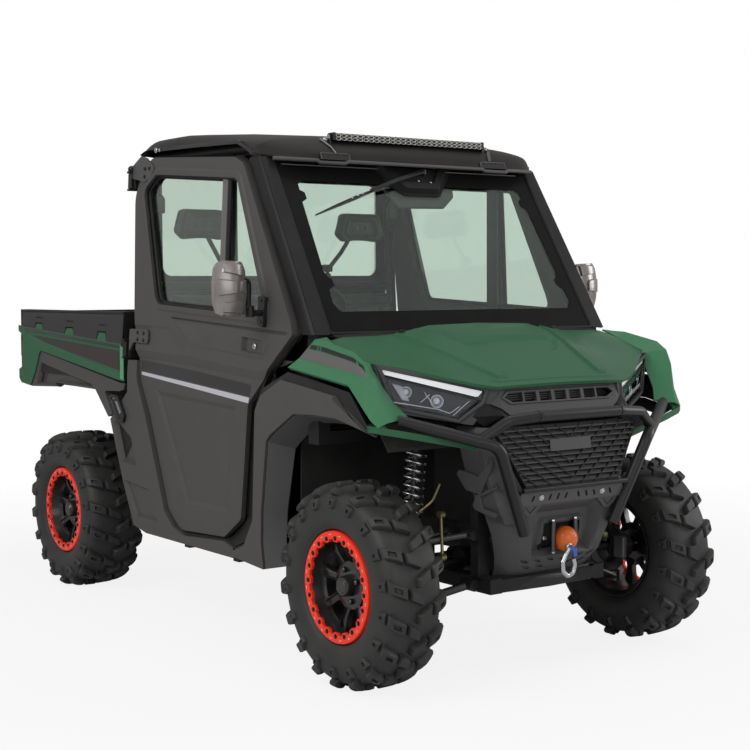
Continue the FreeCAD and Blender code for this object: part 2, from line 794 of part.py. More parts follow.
roofHalf = half - 45
roofShoulder = half - 90
roofSide = prism("roof_side", "side", sideOutline([
    front(0, 500, 1792), front(0, 512, 1820), front(0, 575, 1872), front(0, 680, 1895),
    front(0, 900, size.cabTop - 7), front(0, 1230, size.cabTop), front(0, 1400, size.cabTop - 13),
    front(0, 1520, 1874), front(0, 1520, 1856), front(0, 1440, 1879), front(0, 690, 1858.5),
    front(0, 628, 1822), front(0, 600, 1815)]), -roofHalf, roofHalf)
roofFront = prism("roof_front", "front", [
    (-roofHalf, 1785), (-roofHalf, 1862), (-roofShoulder, 1902), (-400, 1935), (400, 1935),
                                          (roofShoulder, 1902),
    (roofHalf, 1862),
    (roofHalf, 1785)], frontAxle + 400, frontAxle + 1600)
cageRoom = tube("cage_room", cagePath, cage + gap, cageBend)
roofPads = []
for i, station in enumerate((800, 1300)):
    pad = box("roof_pad%d" % i, front(half - 136, station, 1838), front(half - 96, station + 60, 1885))
    roofPads += [pad, flip("roof_pad_right%d" % i, pad)]
lightGroove = box("light_groove", front(-352, 528, 1868), front(352, 580, 1930))
roofShell = fuse("roof_shell", [common("roof_form", [roofSide, roofFront])] + roofPads)
roof = cut("roof", roofShell, [cageRoom, flip("cage_room_right", cageRoom), lightGroove])
piece("roof", roof)


def glassY(z):
    """Station of the windshield's front face at a height."""
    return 192 + (z - cowlZ) * 0.62


glass = size.glassThickness
shieldSide = prism("windshield_side", "side", sideOutline([
    front(0, glassY(cowlZ), cowlZ), front(0, glassY(1784), 1784), front(0, glassY(1784) + glass, 1784),
    front(0, glassY(cowlZ) + glass, cowlZ)]), 80 - half, half - 80)
shieldFront = prism("windshield_front", "front", [(half - 88.7, cowlZ), (half - 104.9, 1784),
                                                  (104.9 - half, 1784),
                                                  (88.7 - half, cowlZ)],
                    frontAxle, frontAxle + 800)
piece("windshield", common("windshield", [shieldSide, shieldFront]))

wallY = rearAxle + cageY + cage + gap
wallThickness = 12
windowCorners = rectangle(160 - half, half - 160, 1375, 1780)
paneCorners = rectangle(160 - half + gap, half - 160 - gap, 1375 + gap, 1780 - gap)
rearWall = startBody("rear_wall")
feature(rearWall, "Pad", "front", rectangle(-cabInner, cabInner, 841, 1832), wallY,
        wallY + wallThickness)
feature(rearWall, "Pocket", "front", windowCorners, wallY - 5, wallY + 25, 40)
piece("rear_wall", rearWall)
rearPane = startBody("rear_window")
feature(rearPane, "Pad", "front", paneCorners, wallY + 3, wallY + 3 + glass, 40)
piece("rear_window", rearPane)

wheelCentre = front(-size.seatHalf, 790, 1190)
columnLine = Vector(0, -0.8, -0.6)


def onColumn(distance):
    """A point down the steering column from the wheel's centre."""
    step = columnLine * distance
    return moved(wheelCentre, step.x, step.y, step.z)


shroud = 42
piece("steering_column", fuse("steering_column", [bar("column", onColumn(40), onColumn(330), 28),
                                                  bar("column_shroud", onColumn(120), onColumn(320),
                                                      shroud)]))
dash = startBody("dash_body")
feature(dash, "Pad", "side", sideOutline([
    front(0, 266, 1096), front(0, 270, 1150), front(0, 300, 1190), front(0, 420, 1200),
    front(0, 560, 1150),
    front(0, 590, 1060), front(0, 560, 900), front(0, 430, 860), front(0, 380, 880)]), 115 - half,
        half - 115, 15)
cowlBack = 232 + 15 + gap
dashFeet = [box("dash_foot%d" % i, front(x, cowlBack, 1128), front(x + 40, 290, 1146))
            for i, x in enumerate((-320, 280))]
dashHole = bar("dash_hole", onColumn(100), onColumn(420), shroud + gap)
gloveBox = box("open_tray", front(120, 520, 960), front(520, 640, 1080))
piece("dashboard", cut("dashboard", fuse("dash_whole", [dash] + dashFeet), [dashHole, gloveBox]))

wheelRadius = size.steeringWheelRadius
rimTorus = doc.addObject("Part::Torus", "steering_rim")
bind(rimTorus, "Radius1", wheelRadius)
rimTorus.Radius2 = 15
spokes = [box("spoke_across", (-wheelRadius, -20, -22), (wheelRadius, 20, -10)),
          box("spoke_down", (-20, -wheelRadius, -22), (20, 0, -10))]
spokeDisc = bar("spoke_limit", (0, 0, -40), (0, 0, 20), wheelRadius)
wheelBoss = bar("wheel_boss", (0, 0, -40 + gap), (0, 0, 34), 48)
steeringWheel = fuse("steering_wheel", [rimTorus, common("spokes",
                                                         [fuse("spoke_cross", spokes), spokeDisc]),
                                        wheelBoss])
steeringWheel.Placement = Placement(Vector(*wheelCentre), Rotation(Vector(0, 0, 1), -columnLine))
piece("steering_wheel", steeringWheel)

# --- seats ------------------------------------------------------------

seat = size.seatHalf
seatLeft = seat - size.seatWidth / 2
seatRight = seat + size.seatWidth / 2 - 20
cushionBase = size.seatHeight - 110
pedestal = box("seat_pedestal", front(110 - half, 820, floorTop + gap),
               rear(half - 110, -700, cushionBase))
piece("seat_pedestal", pedestal)
cushion = box("seat_cushion", front(seatLeft, 830, cushionBase + gap),
              rear(seatRight, -700, size.seatHeight))
piece("seat_cushions", pair("seat_cushions", [cushion]))
back = prism("seat_back", "side", sideOutline([
    rear(0, -712, size.seatHeight + gap), rear(0, -676, 1300), rear(0, -720, 1330), rear(0, -760, 1310),
    rear(0, -840, 900), rear(0, -845, size.seatHeight + gap)]), seatLeft, seatRight)
piece("seat_backs", pair("seat_backs", [back]))

headPad = rear(397, -724, 1587)
pad = box("headrest_pad", moved(headPad, -135, -30, -70), moved(headPad, 135, 30, 70))
stalk = tube("headrest_stalk", [rear(257, -650, 1350 + gap), rear(258, -650, 1400),
                                rear(320, -690, 1480),
                                rear(360, -710, 1560)], 9, 20)
piece("headrests", pair("headrests", [fuse("headrest", [pad, stalk])]))
beltY = -672 - gap
piece("seat_belts", pair("seat_belts", [box("seat_belt", rear(half - 134, beltY - 2, 850),
                                            rear(half - 90, beltY, 1700))]))

# --- nose -------------------------------------------------------------

# Half sections of the hood: (station, its line across the car as (x, z)).
hoodTable = [
    (-305, [(0, 1003), (230, 1000), (300, 992), (420, 1000), (half - 28, 1010)]),
    (-60, [(0, 1128), (230, 1122), (330, 1100), (430, 1085), (half - 28, 1075)]),
    (155, [(0, 1196), (230, 1192), (330, 1168), (430, 1162), (half - 28, 1140)]),
]
hoodWall = 12
hoodLoft = doc.addObject("Part::Loft", "hood_loft")
hoodLoft.Sections = [
    outlineSketch("hood_section%d" % i, "front", line + [(x, z - hoodWall) for x, z in reversed(line)],
                  frontAxle + station)
    for i, (station, line) in enumerate(hoodTable)]
hoodLoft.Solid = True
hoodLoft.Ruled = True
hoodPlan = prism("hood_plan", "plan", [(point[0], point[1]) for point in (
    front(0, -305, 0), front(293, -299, 0), front(half - 80, -61, 0), front(half - 34, 155, 0),
                                                                          front(330, 155, 0),
    front(320, 110, 0), front(0, 110, 0))], 900, Size(1300, "1300"))
hoodParts = [
    common("hood_skin", [hoodLoft, hoodPlan]),
    bar("hood_barrel", moved(hoodHinge, -14, 0, 0), moved(hoodHinge, 14, 0, 0), 11),
    box("hood_leaf", moved(hoodHinge, -14, -104, 2), moved(hoodHinge, 14, -2, 10)),
    box("hood_leaf_end", moved(hoodHinge, -14, -104, 2), moved(hoodHinge, 14, -84, 12)),
]
hoodBore = bar("hood_bore", moved(hoodHinge, -20, 0, 0), moved(hoodHinge, 20, 0, 0), hingePin + gap)
hoodSide = cut("hood_side", fuse("hood_side_parts", hoodParts), hoodBore)
piece("hood", fuse("hood", [hoodSide, flip("hood_side_right", hoodSide)]))

guard = size.guardTube
topGuard = guard - 2
guardFront = topGuard - size.frontOverhang
guardPath = [front(half - 96, -187, 897), front(338, -371, 812), front(200, -335, 512)]
guardTopPath = [front(392, -332, 829), front(300, -372, 893), front(182, guardFront, 903),
                front(-182, guardFront, 903), front(-300, -372, 893), front(-392, -332, 829)]
guardBends = [0, 60, 0]
guardTopBends = [0, 50, 60, 60, 50, 0]
guardSide = tube("guard_side", guardPath, guard, guardBends)
guardTop = tube("guard_top", guardTopPath, topGuard, guardTopBends)
bullBar = fuse("bull_bar", [guardSide, flip("guard_side_right", guardSide), guardTop])
bullBar.Refine = False
piece("bull_bar", bullBar)
guardRoom = tube("guard_room", guardPath, guard + gap, guardBends)
guardTopRoom = tube("guard_top_room", guardTopPath, topGuard + gap, guardTopBends)
guardRooms = [guardRoom, flip("guard_room_right", guardRoom), guardTopRoom]

fenderShape = prism("fender_shape", "side", sideOutline([
    front(0, 200, 1136), front(0, -61, 1058), front(0, -140, 955), front(0, -200, 878),
    front(0, -146, 884),
    front(0, -44, 995), front(0, 336, 1045)]), half - 100, doorOuter)
fenderSide = cut("fender_side", common("fender_skin", [fenderShape, skin("fender_band", -10, 12)]),
                 doorRoom)
fenderLip = prism("fender_lip", "plan", [(point[0], point[1]) for point in (
    front(half - 15, -150, 0), front(half - 24, -172, 0), front(345, -262, 0), front(345, -250, 0),
    front(half - 30, -150, 0))],
    845, Size(884, "884"))
fender = cut("fender", fuse("fender_whole", [fenderSide, fenderLip]), guardRoom)
piece("front_fenders", pair("front_fenders", [fender]))

flareShape = prism("flare_shape", "side", sideOutline([
    front(0, 488, 972), front(0, 516, 910), front(0, 565, 494), front(0, 644, 398), front(0, 720, 372),
    front(0, 720, 330), front(0, 398, 330), front(0, 430, 345), front(0, 470, 540), front(0, 437, 792),
    front(0, 254, 899), front(0, -148, 872), front(0, -48, 984), front(0, 330, 1034),
    front(0, 400, 1016)]),
    bodyInside, doorOuter)
flare = cut("flare", common("flare_skin", [flareShape, skin("flare_band", 0, 40)]), doorRoom)
piece("fender_flares", pair("fender_flares", [flare]))

linerShape = prism("liner_shape", "side", sideOutline([
    front(0, -125, 790), front(0, -125, 800), front(0, -62, 876), front(0, 190, 880),
    front(0, 388, 786),
    front(0, 384, 780), front(0, 188, 872), front(0, -58, 868), front(0, -118, 796),
    front(0, -118, 790)]),
    300, half - 102)
piece("arch_liners", pair("arch_liners", [cut("arch_liner", linerShape, floor)]))

sillTop = hingeLow[2] - barrelHalf - 13
sillShape = prism("sill_shape", "side", sideOutline([
    front(0, 720 + gap, 330), front(0, 720 + gap, 368), front(0, 800, 384), rear(0, -1040, 362),
    rear(0, -950, 388), rear(0, -885, 440), rear(0, -740, 818), rear(0, -680, 950),
                                                     rear(0, -680, sillTop), rear(0, -600, sillTop),
                                                     rear(0, -590, 900), rear(0, -420, 775),
                                                     rear(0, -520, 527), rear(0, -610, 350),
    rear(0, -720, 330)]), bodyInside, doorOuter)
sill = cut("sill", common("sill_skin", [sillShape, skin("sill_band", 0, 45)]), doorRoom)
piece("side_sills", pair("side_sills", [sill]))

bumperTop = 655
bumperPlan = prism("bumper_plan", "plan", [(point[0], point[1]) for point in (
    front(215, -358, 0), front(300, -256, 0), front(300, noseBack, 0), front(-300, noseBack, 0),
    front(-300, -256, 0), front(-215, -358, 0))], 330, bumperTop - gap)
bumperSide = prism("bumper_side", "side", sideOutline([
    front(0, noseBack, bumperTop), front(0, -358, bumperTop), front(0, -358, 604), front(0, -304, 548),
    front(0, -296, 424), front(0, -262, 340), front(0, noseBack, 330)]), -320, Size(320, "320"))
winchWindow = box("winch_window", front(-85, -400, 425), front(85, -200, 545))
piece("front_bumper", cut("front_bumper", common("bumper_block", [bumperPlan, bumperSide]),
                          [winchWindow] + guardRooms))

# The mesh leans back from the bumper; its slots run across it in straight rows.
meshShape = prism("mesh_front", "front", [(-318, 866), (318, 866), (232, bumperTop), (-232, bumperTop)],
                  frontAxle - 400, frontAxle - 300)
meshSheet = prism("mesh_side", "side", sideOutline([
    front(0, -358, bumperTop), front(0, -332, 866), front(0, -324, 866), front(0, -350, bumperTop)]),
    -330, Size(330, "330"))
meshSlots = []
for row in range(9):
    z = bumperTop + 18 + row * 21
    reach = 214 + (z - bumperTop) * 0.4
    for i, (left, right) in enumerate(((-reach, -12), (12, reach))):
        slot = box("mesh_slot%d_%d" % (row, i), front(left, -400, z), front(right, -300, z + 9))
        meshSlots.append(slot)
piece("mesh_grille", cut("mesh_grille", common("mesh_panel", [meshShape, meshSheet]),
                         meshSlots + guardRooms))

grilleBar = startBody("grille_bar")
feature(grilleBar, "Pad", "plan", [(point[0], point[1]) for point in (
    front(-300, -325, 0), front(300, -325, 0), front(330, -262, 0), front(-330, -262, 0))], 925,
        Size(972, "972"))
slot = feature(grilleBar, "Pocket", "plan", rectangle(-266, -202, frontAxle - 340, frontAxle - 300),
               938, 962)
repeatedAlong(grilleBar, slot, "X_Axis", 468, 7)
grilleFeet = [box("grille_foot%d" % i, front(x, -275, 852 + gap), front(x + 24, -205, 928))
              for i, x in enumerate((-192, 168))]
piece("upper_grille", fuse("upper_grille", [grilleBar] + grilleFeet))

lampBlock = prism("lamp_plan", "plan", [(point[0], point[1]) for point in (
    front(312, -262, 0), front(half - 75, -80, 0), front(half - 75, -30, 0), front(312, -200, 0))], 892,
                  Size(1060, "1060"))
lampTop = prism("lamp_top", "side", sideOutline([
    front(0, -400, 960), front(0, -400, 1100), front(0, 40, 1100), front(0, -30, 1062)]), 300,
                half - 60)
piece("headlights", pair("headlights", [cut("headlight", lampBlock, lampTop)]))

lightParts = [box("light_case", front(-348, 535, 1862), front(348, 572, 1890))]
lightParts += [box("light_foot%d" % i, front(x, 545, 1846), front(x + 30, 570, 1864))
               for i, x in enumerate((-265, 235))]
piece("light_bar", cut("light_bar", fuse("light_parts", lightParts), roof))

drumZ = 485
fairlead = cut("fairlead", box("fairlead_block", front(-85 + gap, -318, 425 + gap),
                               front(85 - gap, -240, 545 - gap)),
               box("fairlead_room", front(-74, -330, 437), front(74, -230, 533)))
lineStop = startBody("line_stop")
revolved(lineStop, "Revolution", [(-30, 0), (-30, 14), (-15, 30), (15, 30), (30, 14), (30, 0)])
lineStop.Placement = Placement(Vector(*front(0, -325, drumZ)),
                               Rotation(Vector(1, 0, 0), Vector(0, 1, 0)))
winchParts = [fairlead, lineStop, bar("winch_drum", front(-78, -262, drumZ), front(78, -262, drumZ),
                                      22),
              bar("winch_line", front(0, -325, drumZ), front(0, -250, drumZ), 7)]
winchParts += [bar("fairlead_roller%d" % i, front(x, -306, 436), front(x, -306, 534), 9)
               for i, x in enumerate((-51, 51))]
piece("winch", fuse("winch", winchParts))

wiperCover = prism("wiper_cover", "side", sideOutline([
    front(0, glassY(1700) - gap, 1700), front(0, glassY(1776) - gap, 1776),
    front(0, glassY(1776) - 30, 1776),
    front(0, glassY(1700) - 12, 1700)]), 40, Size(160, "160"))
wiperArm = bar("wiper_arm", front(60, glassY(1720) - 16, 1720), front(-280, glassY(1620) - 14, 1620), 5)
piece("wiper", fuse("wiper", [wiperCover, wiperArm]))

# --- doors ------------------------------------------------------------

windowHole = prism("window_hole", "side", sideOutline([
    rear(0, -812, 1775), rear(0, -712, 1718), rear(0, -845, 1262), front(0, 478, 1222),
    front(0, 500, 1290),
    front(0, 703, 1722)]), half - 160, half + 80, [50, 40, 60, 30, 30, 40])
windowBar = prism("window_bar_shape", "side", sideOutline([
    front(0, 772, 1200), front(0, 772, 1780), front(0, 842, 1780), front(0, 842, 1200)]), bodyInside,
                  doorOuter)
doorShell = cut("door_shell", common("door_skin", [doorSolid,
                                                   skin("door_wall", 0, size.doorThickness)]),
                windowHole)
windowPost = common("window_post", [windowBar, windowHole,
                                    skin("post_band", -12, size.doorThickness - 24)])
pane = cut("door_pane", common("pane_skin", [windowHole, skin("pane_band", -20, glass)]), windowBar)


def doorHinge(name, centre):
    """A barrel round the hinge pin and the plate that is bolted to the door."""
    barrel = bar(name + "_barrel", *alongHinge(centre, barrelHalf), 12)
    plate = box(name + "_plate", moved(centre, -10, -175, 4 - barrelHalf),
                moved(centre, -3, -4, barrelHalf - 4))
    bore = bar(name + "_bore", *alongHinge(centre, barrelHalf * 2), hingePin + gap)
    return cut(name, fuse(name + "_leaf", [barrel, plate]), bore)


door = fuse("left_door", [doorShell, windowPost, doorHinge("low_leaf", hingeLow),
                          doorHinge("high_leaf", hingeHigh)])
mirrorHead = box("mirror_head", front(half + 70, 430, 1225), front(half + 200, 500, 1420))
mirrorArm = tube("mirror_arm", [front(half - 6 + gap, 470, 1140), front(half + 40, 470, 1150),
                                front(half + 100, 465, 1260)], 12, 25)
mirror = fuse("left_mirror", [mirrorHead, mirrorArm])
for label, shape in (("door", door), ("door_glass", pane), ("mirror", mirror)):
    piece("left_" + label, shape)
    piece("right_" + label, flip("right_" + label, shape))

# --- cargo bed --------------------------------------------------------

bedRear = size.rearOverhang - 16.5
bedFront = bedRear - size.bedLength
bedHalf = half - 15
wall = size.bedWall
tub = startBody("tub_body")
feature(tub, "Pad", "plan", rectangle(-bedHalf, bedHalf, rearAxle + bedFront, rearAxle + bedRear), 900,
        size.bedRail)
feature(tub, "Pocket", "plan", rectangle(wall - bedHalf, bedHalf - wall, rearAxle + bedFront + wall,
                                         rearAxle + bedRear + 10), size.bedFloor, size.bedRail + 10)
for sign in (-1, 1):
    near, far = sorted((sign * (half - 62), sign * (half + 20)), key=float)
    feature(tub, "Pocket", "plan", rectangle(near, far, rearAxle + bedFront - 10,
                                             rearAxle + bedRear + 10), 890,
            size.bedFloor - 8)
tubParts = [tub]
tubBores = []
for i, x in enumerate((-rail, rail)):
    low, high = (x - lugHalf, bedHinge[1], bedHinge[2]), (x + lugHalf, bedHinge[1], bedHinge[2])
    tubParts.append(bar("bed_lug%d" % i, low, high, 16))
    tubParts.append(box("bed_lug_web%d" % i, moved(low, 0, -14, 0), moved(high, 0, 14, 35)))
    tubBores.append(bar("bed_lug_bore%d" % i, moved(low, -8, 0, 0), moved(high, 8, 0, 0), 8 + gap))
gateHinge = rear(0, bedRear + 9, size.bedFloor - 6)
gateStations = (-450, 450)
for x in gateStations:
    for offset in (-26, 16):
        tubParts.append(box("gate_ear%d_%d" % (x + 450, offset + 26),
                            moved(gateHinge, x + offset, -12, -14),
                            moved(gateHinge, x + offset + 10, 8, 6)))
    tubParts.append(bar("gate_pin%d" % (x + 450), moved(gateHinge, x - 20, 0, 0),
                        moved(gateHinge, x + 20, 0, 0), 5))
piece("cargo_tub", cut("cargo_tub", fuse("tub_parts", tubParts), tubBores))

sidePanel = prism("side_panel", "side", sideOutline([
    rear(0, bedFront, 945), rear(0, bedFront, 1091), rear(0, bedRear + 5, 1152),
    rear(0, bedRear + 5, 936)]),
    bedHalf + gap, half)
lowerPanel = prism("lower_panel", "side", sideOutline([
    rear(0, bedFront + 10, 930), rear(0, bedRear, 930), rear(0, bedRear - 20, 876), rear(0, 130, 886),
    rear(0, -280, 890), rear(0, -405, 780), rear(0, -440, 790), rear(0, -340, 905)]), half - 40,
                   half - 10)
piece("bed_sides", pair("bed_sides", [sidePanel]))
piece("bed_lower_sides", pair("bed_lower_sides", [lowerPanel]))

gateHalf = bedHalf - wall - run
gateParts = [box("gate_panel", rear(-gateHalf, bedRear - size.gateThickness, size.bedFloor + run),
                 rear(gateHalf, bedRear, size.bedRail - 8))]
gateBores = []
for x in gateStations:
    low, high = moved(gateHinge, x - 15, 0, 0), moved(gateHinge, x + 15, 0, 0)
    gateParts += [bar("gate_barrel%d" % (x + 450), low, high, 7.5),
                  box("gate_web%d" % (x + 450), moved(low, 0, -7, 0), moved(high, 0, 7, 20)),
                  box("gate_leaf%d" % (x + 450), moved(low, 0, -12, 13), moved(high, 0, 7, 60))]
    gateBores.append(bar("gate_bore%d" % (x + 450), moved(low, -15, 0, 0), moved(high, 15, 0, 0),
                         5 + gap))
piece("tailgate", cut("tailgate", fuse("gate_whole", gateParts), gateBores))
tailLight = box("tail_light", rear(bedHalf - wall + 4, bedRear + gap, 1010),
                rear(half - 20, bedRear + 8, 1110))
piece("tail_lights", pair("tail_lights", [tailLight]))

# --- write the pieces -------------------------------------------------

doc.recompute()
for item in doc.Objects:
    if "Invalid" in item.State or "Error" in item.State:
        raise SystemExit("failed object: %s, %s" % (item.Label, item.getStatusString()))
for item in pieces:
    if item.Shape.isNull() or not item.Shape.isValid() or not item.Shape.Solids:
        raise SystemExit("bad shape: " + item.Label)
os.makedirs("parts", exist_ok=True)
for item in pieces:
    item.Shape.exportStep("parts/%s.step" % item.Label)
    print("%-22s solids %d volume %.5f m3" % (item.Label, len(item.Shape.Solids),
                                              item.Shape.Volume / 1e9))
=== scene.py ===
# the looks of a side by side utility vehicle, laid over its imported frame
import json
import math
import bmesh
import bpy
import numpy as np
from mathutils import Matrix, Vector, geometry


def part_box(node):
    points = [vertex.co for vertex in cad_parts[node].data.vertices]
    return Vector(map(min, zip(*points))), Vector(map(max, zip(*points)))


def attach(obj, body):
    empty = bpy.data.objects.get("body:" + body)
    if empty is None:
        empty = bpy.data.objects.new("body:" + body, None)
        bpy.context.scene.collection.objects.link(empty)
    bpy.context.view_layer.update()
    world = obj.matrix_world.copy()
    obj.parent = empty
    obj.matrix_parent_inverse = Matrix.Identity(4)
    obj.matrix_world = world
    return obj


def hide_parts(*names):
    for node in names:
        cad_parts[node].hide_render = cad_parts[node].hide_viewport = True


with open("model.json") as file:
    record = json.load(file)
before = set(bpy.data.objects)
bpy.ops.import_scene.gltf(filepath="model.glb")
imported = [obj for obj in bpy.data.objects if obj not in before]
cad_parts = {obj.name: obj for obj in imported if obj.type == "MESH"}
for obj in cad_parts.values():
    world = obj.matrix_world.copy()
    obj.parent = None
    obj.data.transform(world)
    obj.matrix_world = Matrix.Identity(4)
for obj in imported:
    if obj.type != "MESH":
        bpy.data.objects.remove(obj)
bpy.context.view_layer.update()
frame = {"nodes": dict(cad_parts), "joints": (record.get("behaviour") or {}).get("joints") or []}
joints = {joint["name"]: joint for joint in frame["joints"]}
frontAxle = joints["front_left_roll"]["pos_m"][1]
sides = (("left", 1), ("right", -1))
print("frame loaded:", len(frame["nodes"]), "nodes")


# shapes as arrays

# Points given from the front axle, as an array in the model's frame
def fromFront(points):
    return np.array(points, float) + (0, frontAxle, 0)


# Quads between neighbouring points of a rows by columns grid
def gridFaces(rows, columns, closeRows=False, closeColumns=False):
    i, j = np.meshgrid(np.arange(rows if closeRows else rows - 1),
                       np.arange(columns if closeColumns else columns - 1), indexing="ij")
    nextI, nextJ = (i + 1) % rows, (j + 1) % columns
    quads = np.stack([i * columns + j, nextI * columns + j, nextI * columns + nextJ, i * columns + nextJ], -1)
    return quads.reshape(-1, 4).tolist()


# Several (points, faces) as one
def joinShapes(shapes):
    points, faces, count = [], [], 0
    for shapePoints, shapeFaces in shapes:
        points.append(np.asarray(shapePoints, float).reshape(-1, 3))
        faces += [[corner + count for corner in face] for face in shapeFaces]
        count += len(points[-1])
    return np.concatenate(points), faces


# One place given from the front axle
def axlePoint(place):
    return fromFront([place])[0]


# What rows of points are multiplied by so that their X direction points another way
def turnTo(direction):
    return np.array(Vector((1, 0, 0)).rotation_difference(Vector(direction)).to_matrix()).T


# the same shape on the other side: x changes its sign, and each face is read backwards, so it still points
# out
def mirrored(shape):
    points, faces = shape
    return np.asarray(points, float) * (-1, 1, 1), [list(reversed(face)) for face in faces]


# a shape and its mirror image as one
def bothSides(shape):
    return joinShapes([shape, mirrored(shape)])


# Copies of a shape under a stack of 3 by 4 placements
def repeated(shape, matrices):
    points, faces = shape
    points = np.asarray(points, float)
    placed = np.einsum("nij,kj->nki", matrices[:, :, :3], points) + matrices[:, None, :, 3]
    copies = (np.array(range(len(matrices)))[:, None] * len(points)).tolist()
    return placed.reshape(-1, 3), [[corner + step[0] for corner in face] for step in copies for face in faces]


# Placements that turn a shape in equal steps about a line along X through a centre
def turnsAboutX(count, centre, phase=0.0):
    angle = phase + np.arange(count) * 2 * math.pi / count
    c, s, o, l = np.cos(angle), np.sin(angle), np.zeros(count), np.ones(count)
    turn = np.stack([np.stack([l, o, o], -1), np.stack([o, c, -s], -1), np.stack([o, s, c], -1)], 1)
    return np.concatenate([turn, np.tile(np.array(centre, float)[None, :, None], (count, 1, 1))], 2)


# At each point of a path, two directions square to the way it runs there: across it and over it
def frames(path, closed=False, up=(0, 0, 1)):
    path = np.asarray(path, float)
    ahead = np.roll(path, -1, 0) - path
    behind = path - np.roll(path, 1, 0)
    ahead /= np.linalg.norm(ahead, axis=1)[:, None] + 1e-12
    behind /= np.linalg.norm(behind, axis=1)[:, None] + 1e-12
    if not closed:
        ahead[-1], behind[0] = behind[-1], ahead[0]
    run = ahead + behind
    run /= np.linalg.norm(run, axis=1)[:, None] + 1e-12
    across = np.cross(run, np.array(up, float))
    across /= np.linalg.norm(across, axis=1)[:, None] + 1e-12
    return across, np.cross(across, run)


# A closed section (across, over) carried along a path, with flat ends on an open path
def sweep(path, section, closed=False, scale=None, up=(0, 0, 1)):
    path, section = np.asarray(path, float), np.asarray(section, float)
    across, over = frames(path, closed, up)
    size = np.ones(len(path)) if scale is None else np.asarray(scale, float)
    points = path[:, None] + size[:, None, None] * (
        section[None, :, :1] * across[:, None] + section[None, :, 1:] * over[:, None])
    count = len(section)
    faces = gridFaces(len(path), count, closed, True)
    if not closed:
        faces += [list(range(count)), list(range((len(path) - 1) * count, len(path) * count))[::-1]]
    return points.reshape(-1, 3), faces


# a round section: the radius times the cosine and sine of equal steps of a full turn
def circle(radius, count=16):
    angle = np.arange(count) * 2 * math.pi / count
    return np.stack([radius * np.cos(angle), radius * np.sin(angle)], -1)


# a straight round bar: a circle swept between two ends
def rod(start, end, radius, count=20):
    path = np.linspace(np.array(start, float), np.array(end, float), 2)
    along = path[1] - path[0]
    return sweep(path, circle(radius, count),
                 up=(0, 1, 0) if abs(along[2]) > np.abs(along[:2]).max() else (0, 0, 1))


# A line of straight runs whose corners are arcs: each arc is worked out from its corner's half angle
def rounded(points, radius, steps=6, closed=False):
    points = [np.array(point, float) for point in points]
    radii = radius if isinstance(radius, (list, tuple)) else [radius] * len(points)
    line, count = [], len(points)
    for i, here in enumerate(points):
        if radii[i] <= 0 or (not closed and i in (0, count - 1)):
            line.append(here[None])
            continue
        before, after = points[i - 1] - here, points[(i + 1) % count] - here
        before, after = before / np.linalg.norm(before), after / np.linalg.norm(after)
        halfAngle = math.acos(max(-1, min(1, float(before @ after)))) / 2
        bisector = (before + after) / (np.linalg.norm(before + after) + 1e-12)
        centre = here + bisector * radii[i] / math.sin(halfAngle)
        first = here + before * radii[i] / math.tan(halfAngle) - centre
        last = here + after * radii[i] / math.tan(halfAngle) - centre
        share = np.linspace(0, 1, steps + 1)[:, None]
        sweepAngle = math.pi - 2 * halfAngle
        line.append(centre + (np.sin((1 - share) * sweepAngle) * first + np.sin(share * sweepAngle) * last)
                    / max(math.sin(sweepAngle), 1e-9))
    return np.concatenate(line)


# a bent round tube: a circle swept along straight runs whose corners are arcs
def tubeAlong(points, radius, bend, count=20, steps=8):
    return sweep(rounded(points, bend, steps), circle(radius, count))


# A closed outline (along X, radius) turned about a line along X
def turned(profile, count, centre, sign=1):
    profile = np.asarray(profile, float)
    angle = np.arange(count) * 2 * math.pi / count
    x = np.broadcast_to(sign * profile[:, 0], (count, len(profile)))
    y = np.cos(angle)[:, None] * profile[:, 1]
    z = np.sin(angle)[:, None] * profile[:, 1]
    points = np.stack([x, y, z], -1) + np.array(centre, float)
    faces = gridFaces(count, len(profile), True, True)
    return points.reshape(-1, 3), faces


# A block between two corners
def block(low, high):
    low, high = np.array(low, float), np.array(high, float)
    pick = np.array([(0, 0, 0), (1, 0, 0), (1, 1, 0), (0, 1, 0), (0, 0, 1), (1, 0, 1), (1, 1, 1), (0, 1, 1)])
    faces = [[0, 3, 2, 1], [4, 5, 6, 7], [0, 1, 5, 4], [1, 2, 6, 5], [2, 3, 7, 6], [3, 0, 4, 7]]
    return low + pick * (high - low), faces


# A block between two corners given from the front axle
def axleBlock(low, high):
    return block(axlePoint(low), axlePoint(high))


# A flat outline of points in space, made thick along a direction
def slab(outline, normal, thickness):
    outline = np.asarray(outline, float)
    count = len(outline)
    points = np.concatenate([outline, outline + np.array(normal, float) * thickness])
    faces = [[i, (i + 1) % count, count + (i + 1) % count, count + i] for i in range(count)]
    return points, faces + [list(range(count))[::-1], list(range(count, 2 * count))]


# Which 2-D points lie inside a closed loop: an odd number of its edges lies beyond each
def inLoop(points, loop):
    u, v = points[:, :1], points[:, 1:2]
    first, last = loop, np.roll(loop, -1, 0)
    crosses = (first[:, 1] > v) != (last[:, 1] > v)
    rise = last[:, 1] - first[:, 1]
    at = first[:, 0] + (v - first[:, 1]) / np.where(rise == 0, 1, rise) * (last[:, 0] - first[:, 0])
    return (crosses & (u < at)).sum(1) % 2 == 1


# How far 2-D points are from the nearest edge of a loop
def loopDistance(points, loop):
    first = loop
    along = np.roll(loop, -1, 0) - first
    reach = ((points[:, None] - first) * along).sum(2) / ((along ** 2).sum(1) + 1e-15)
    nearest = first + np.clip(reach, 0, 1)[..., None] * along
    return np.linalg.norm(points[:, None] - nearest, axis=2).min(1)


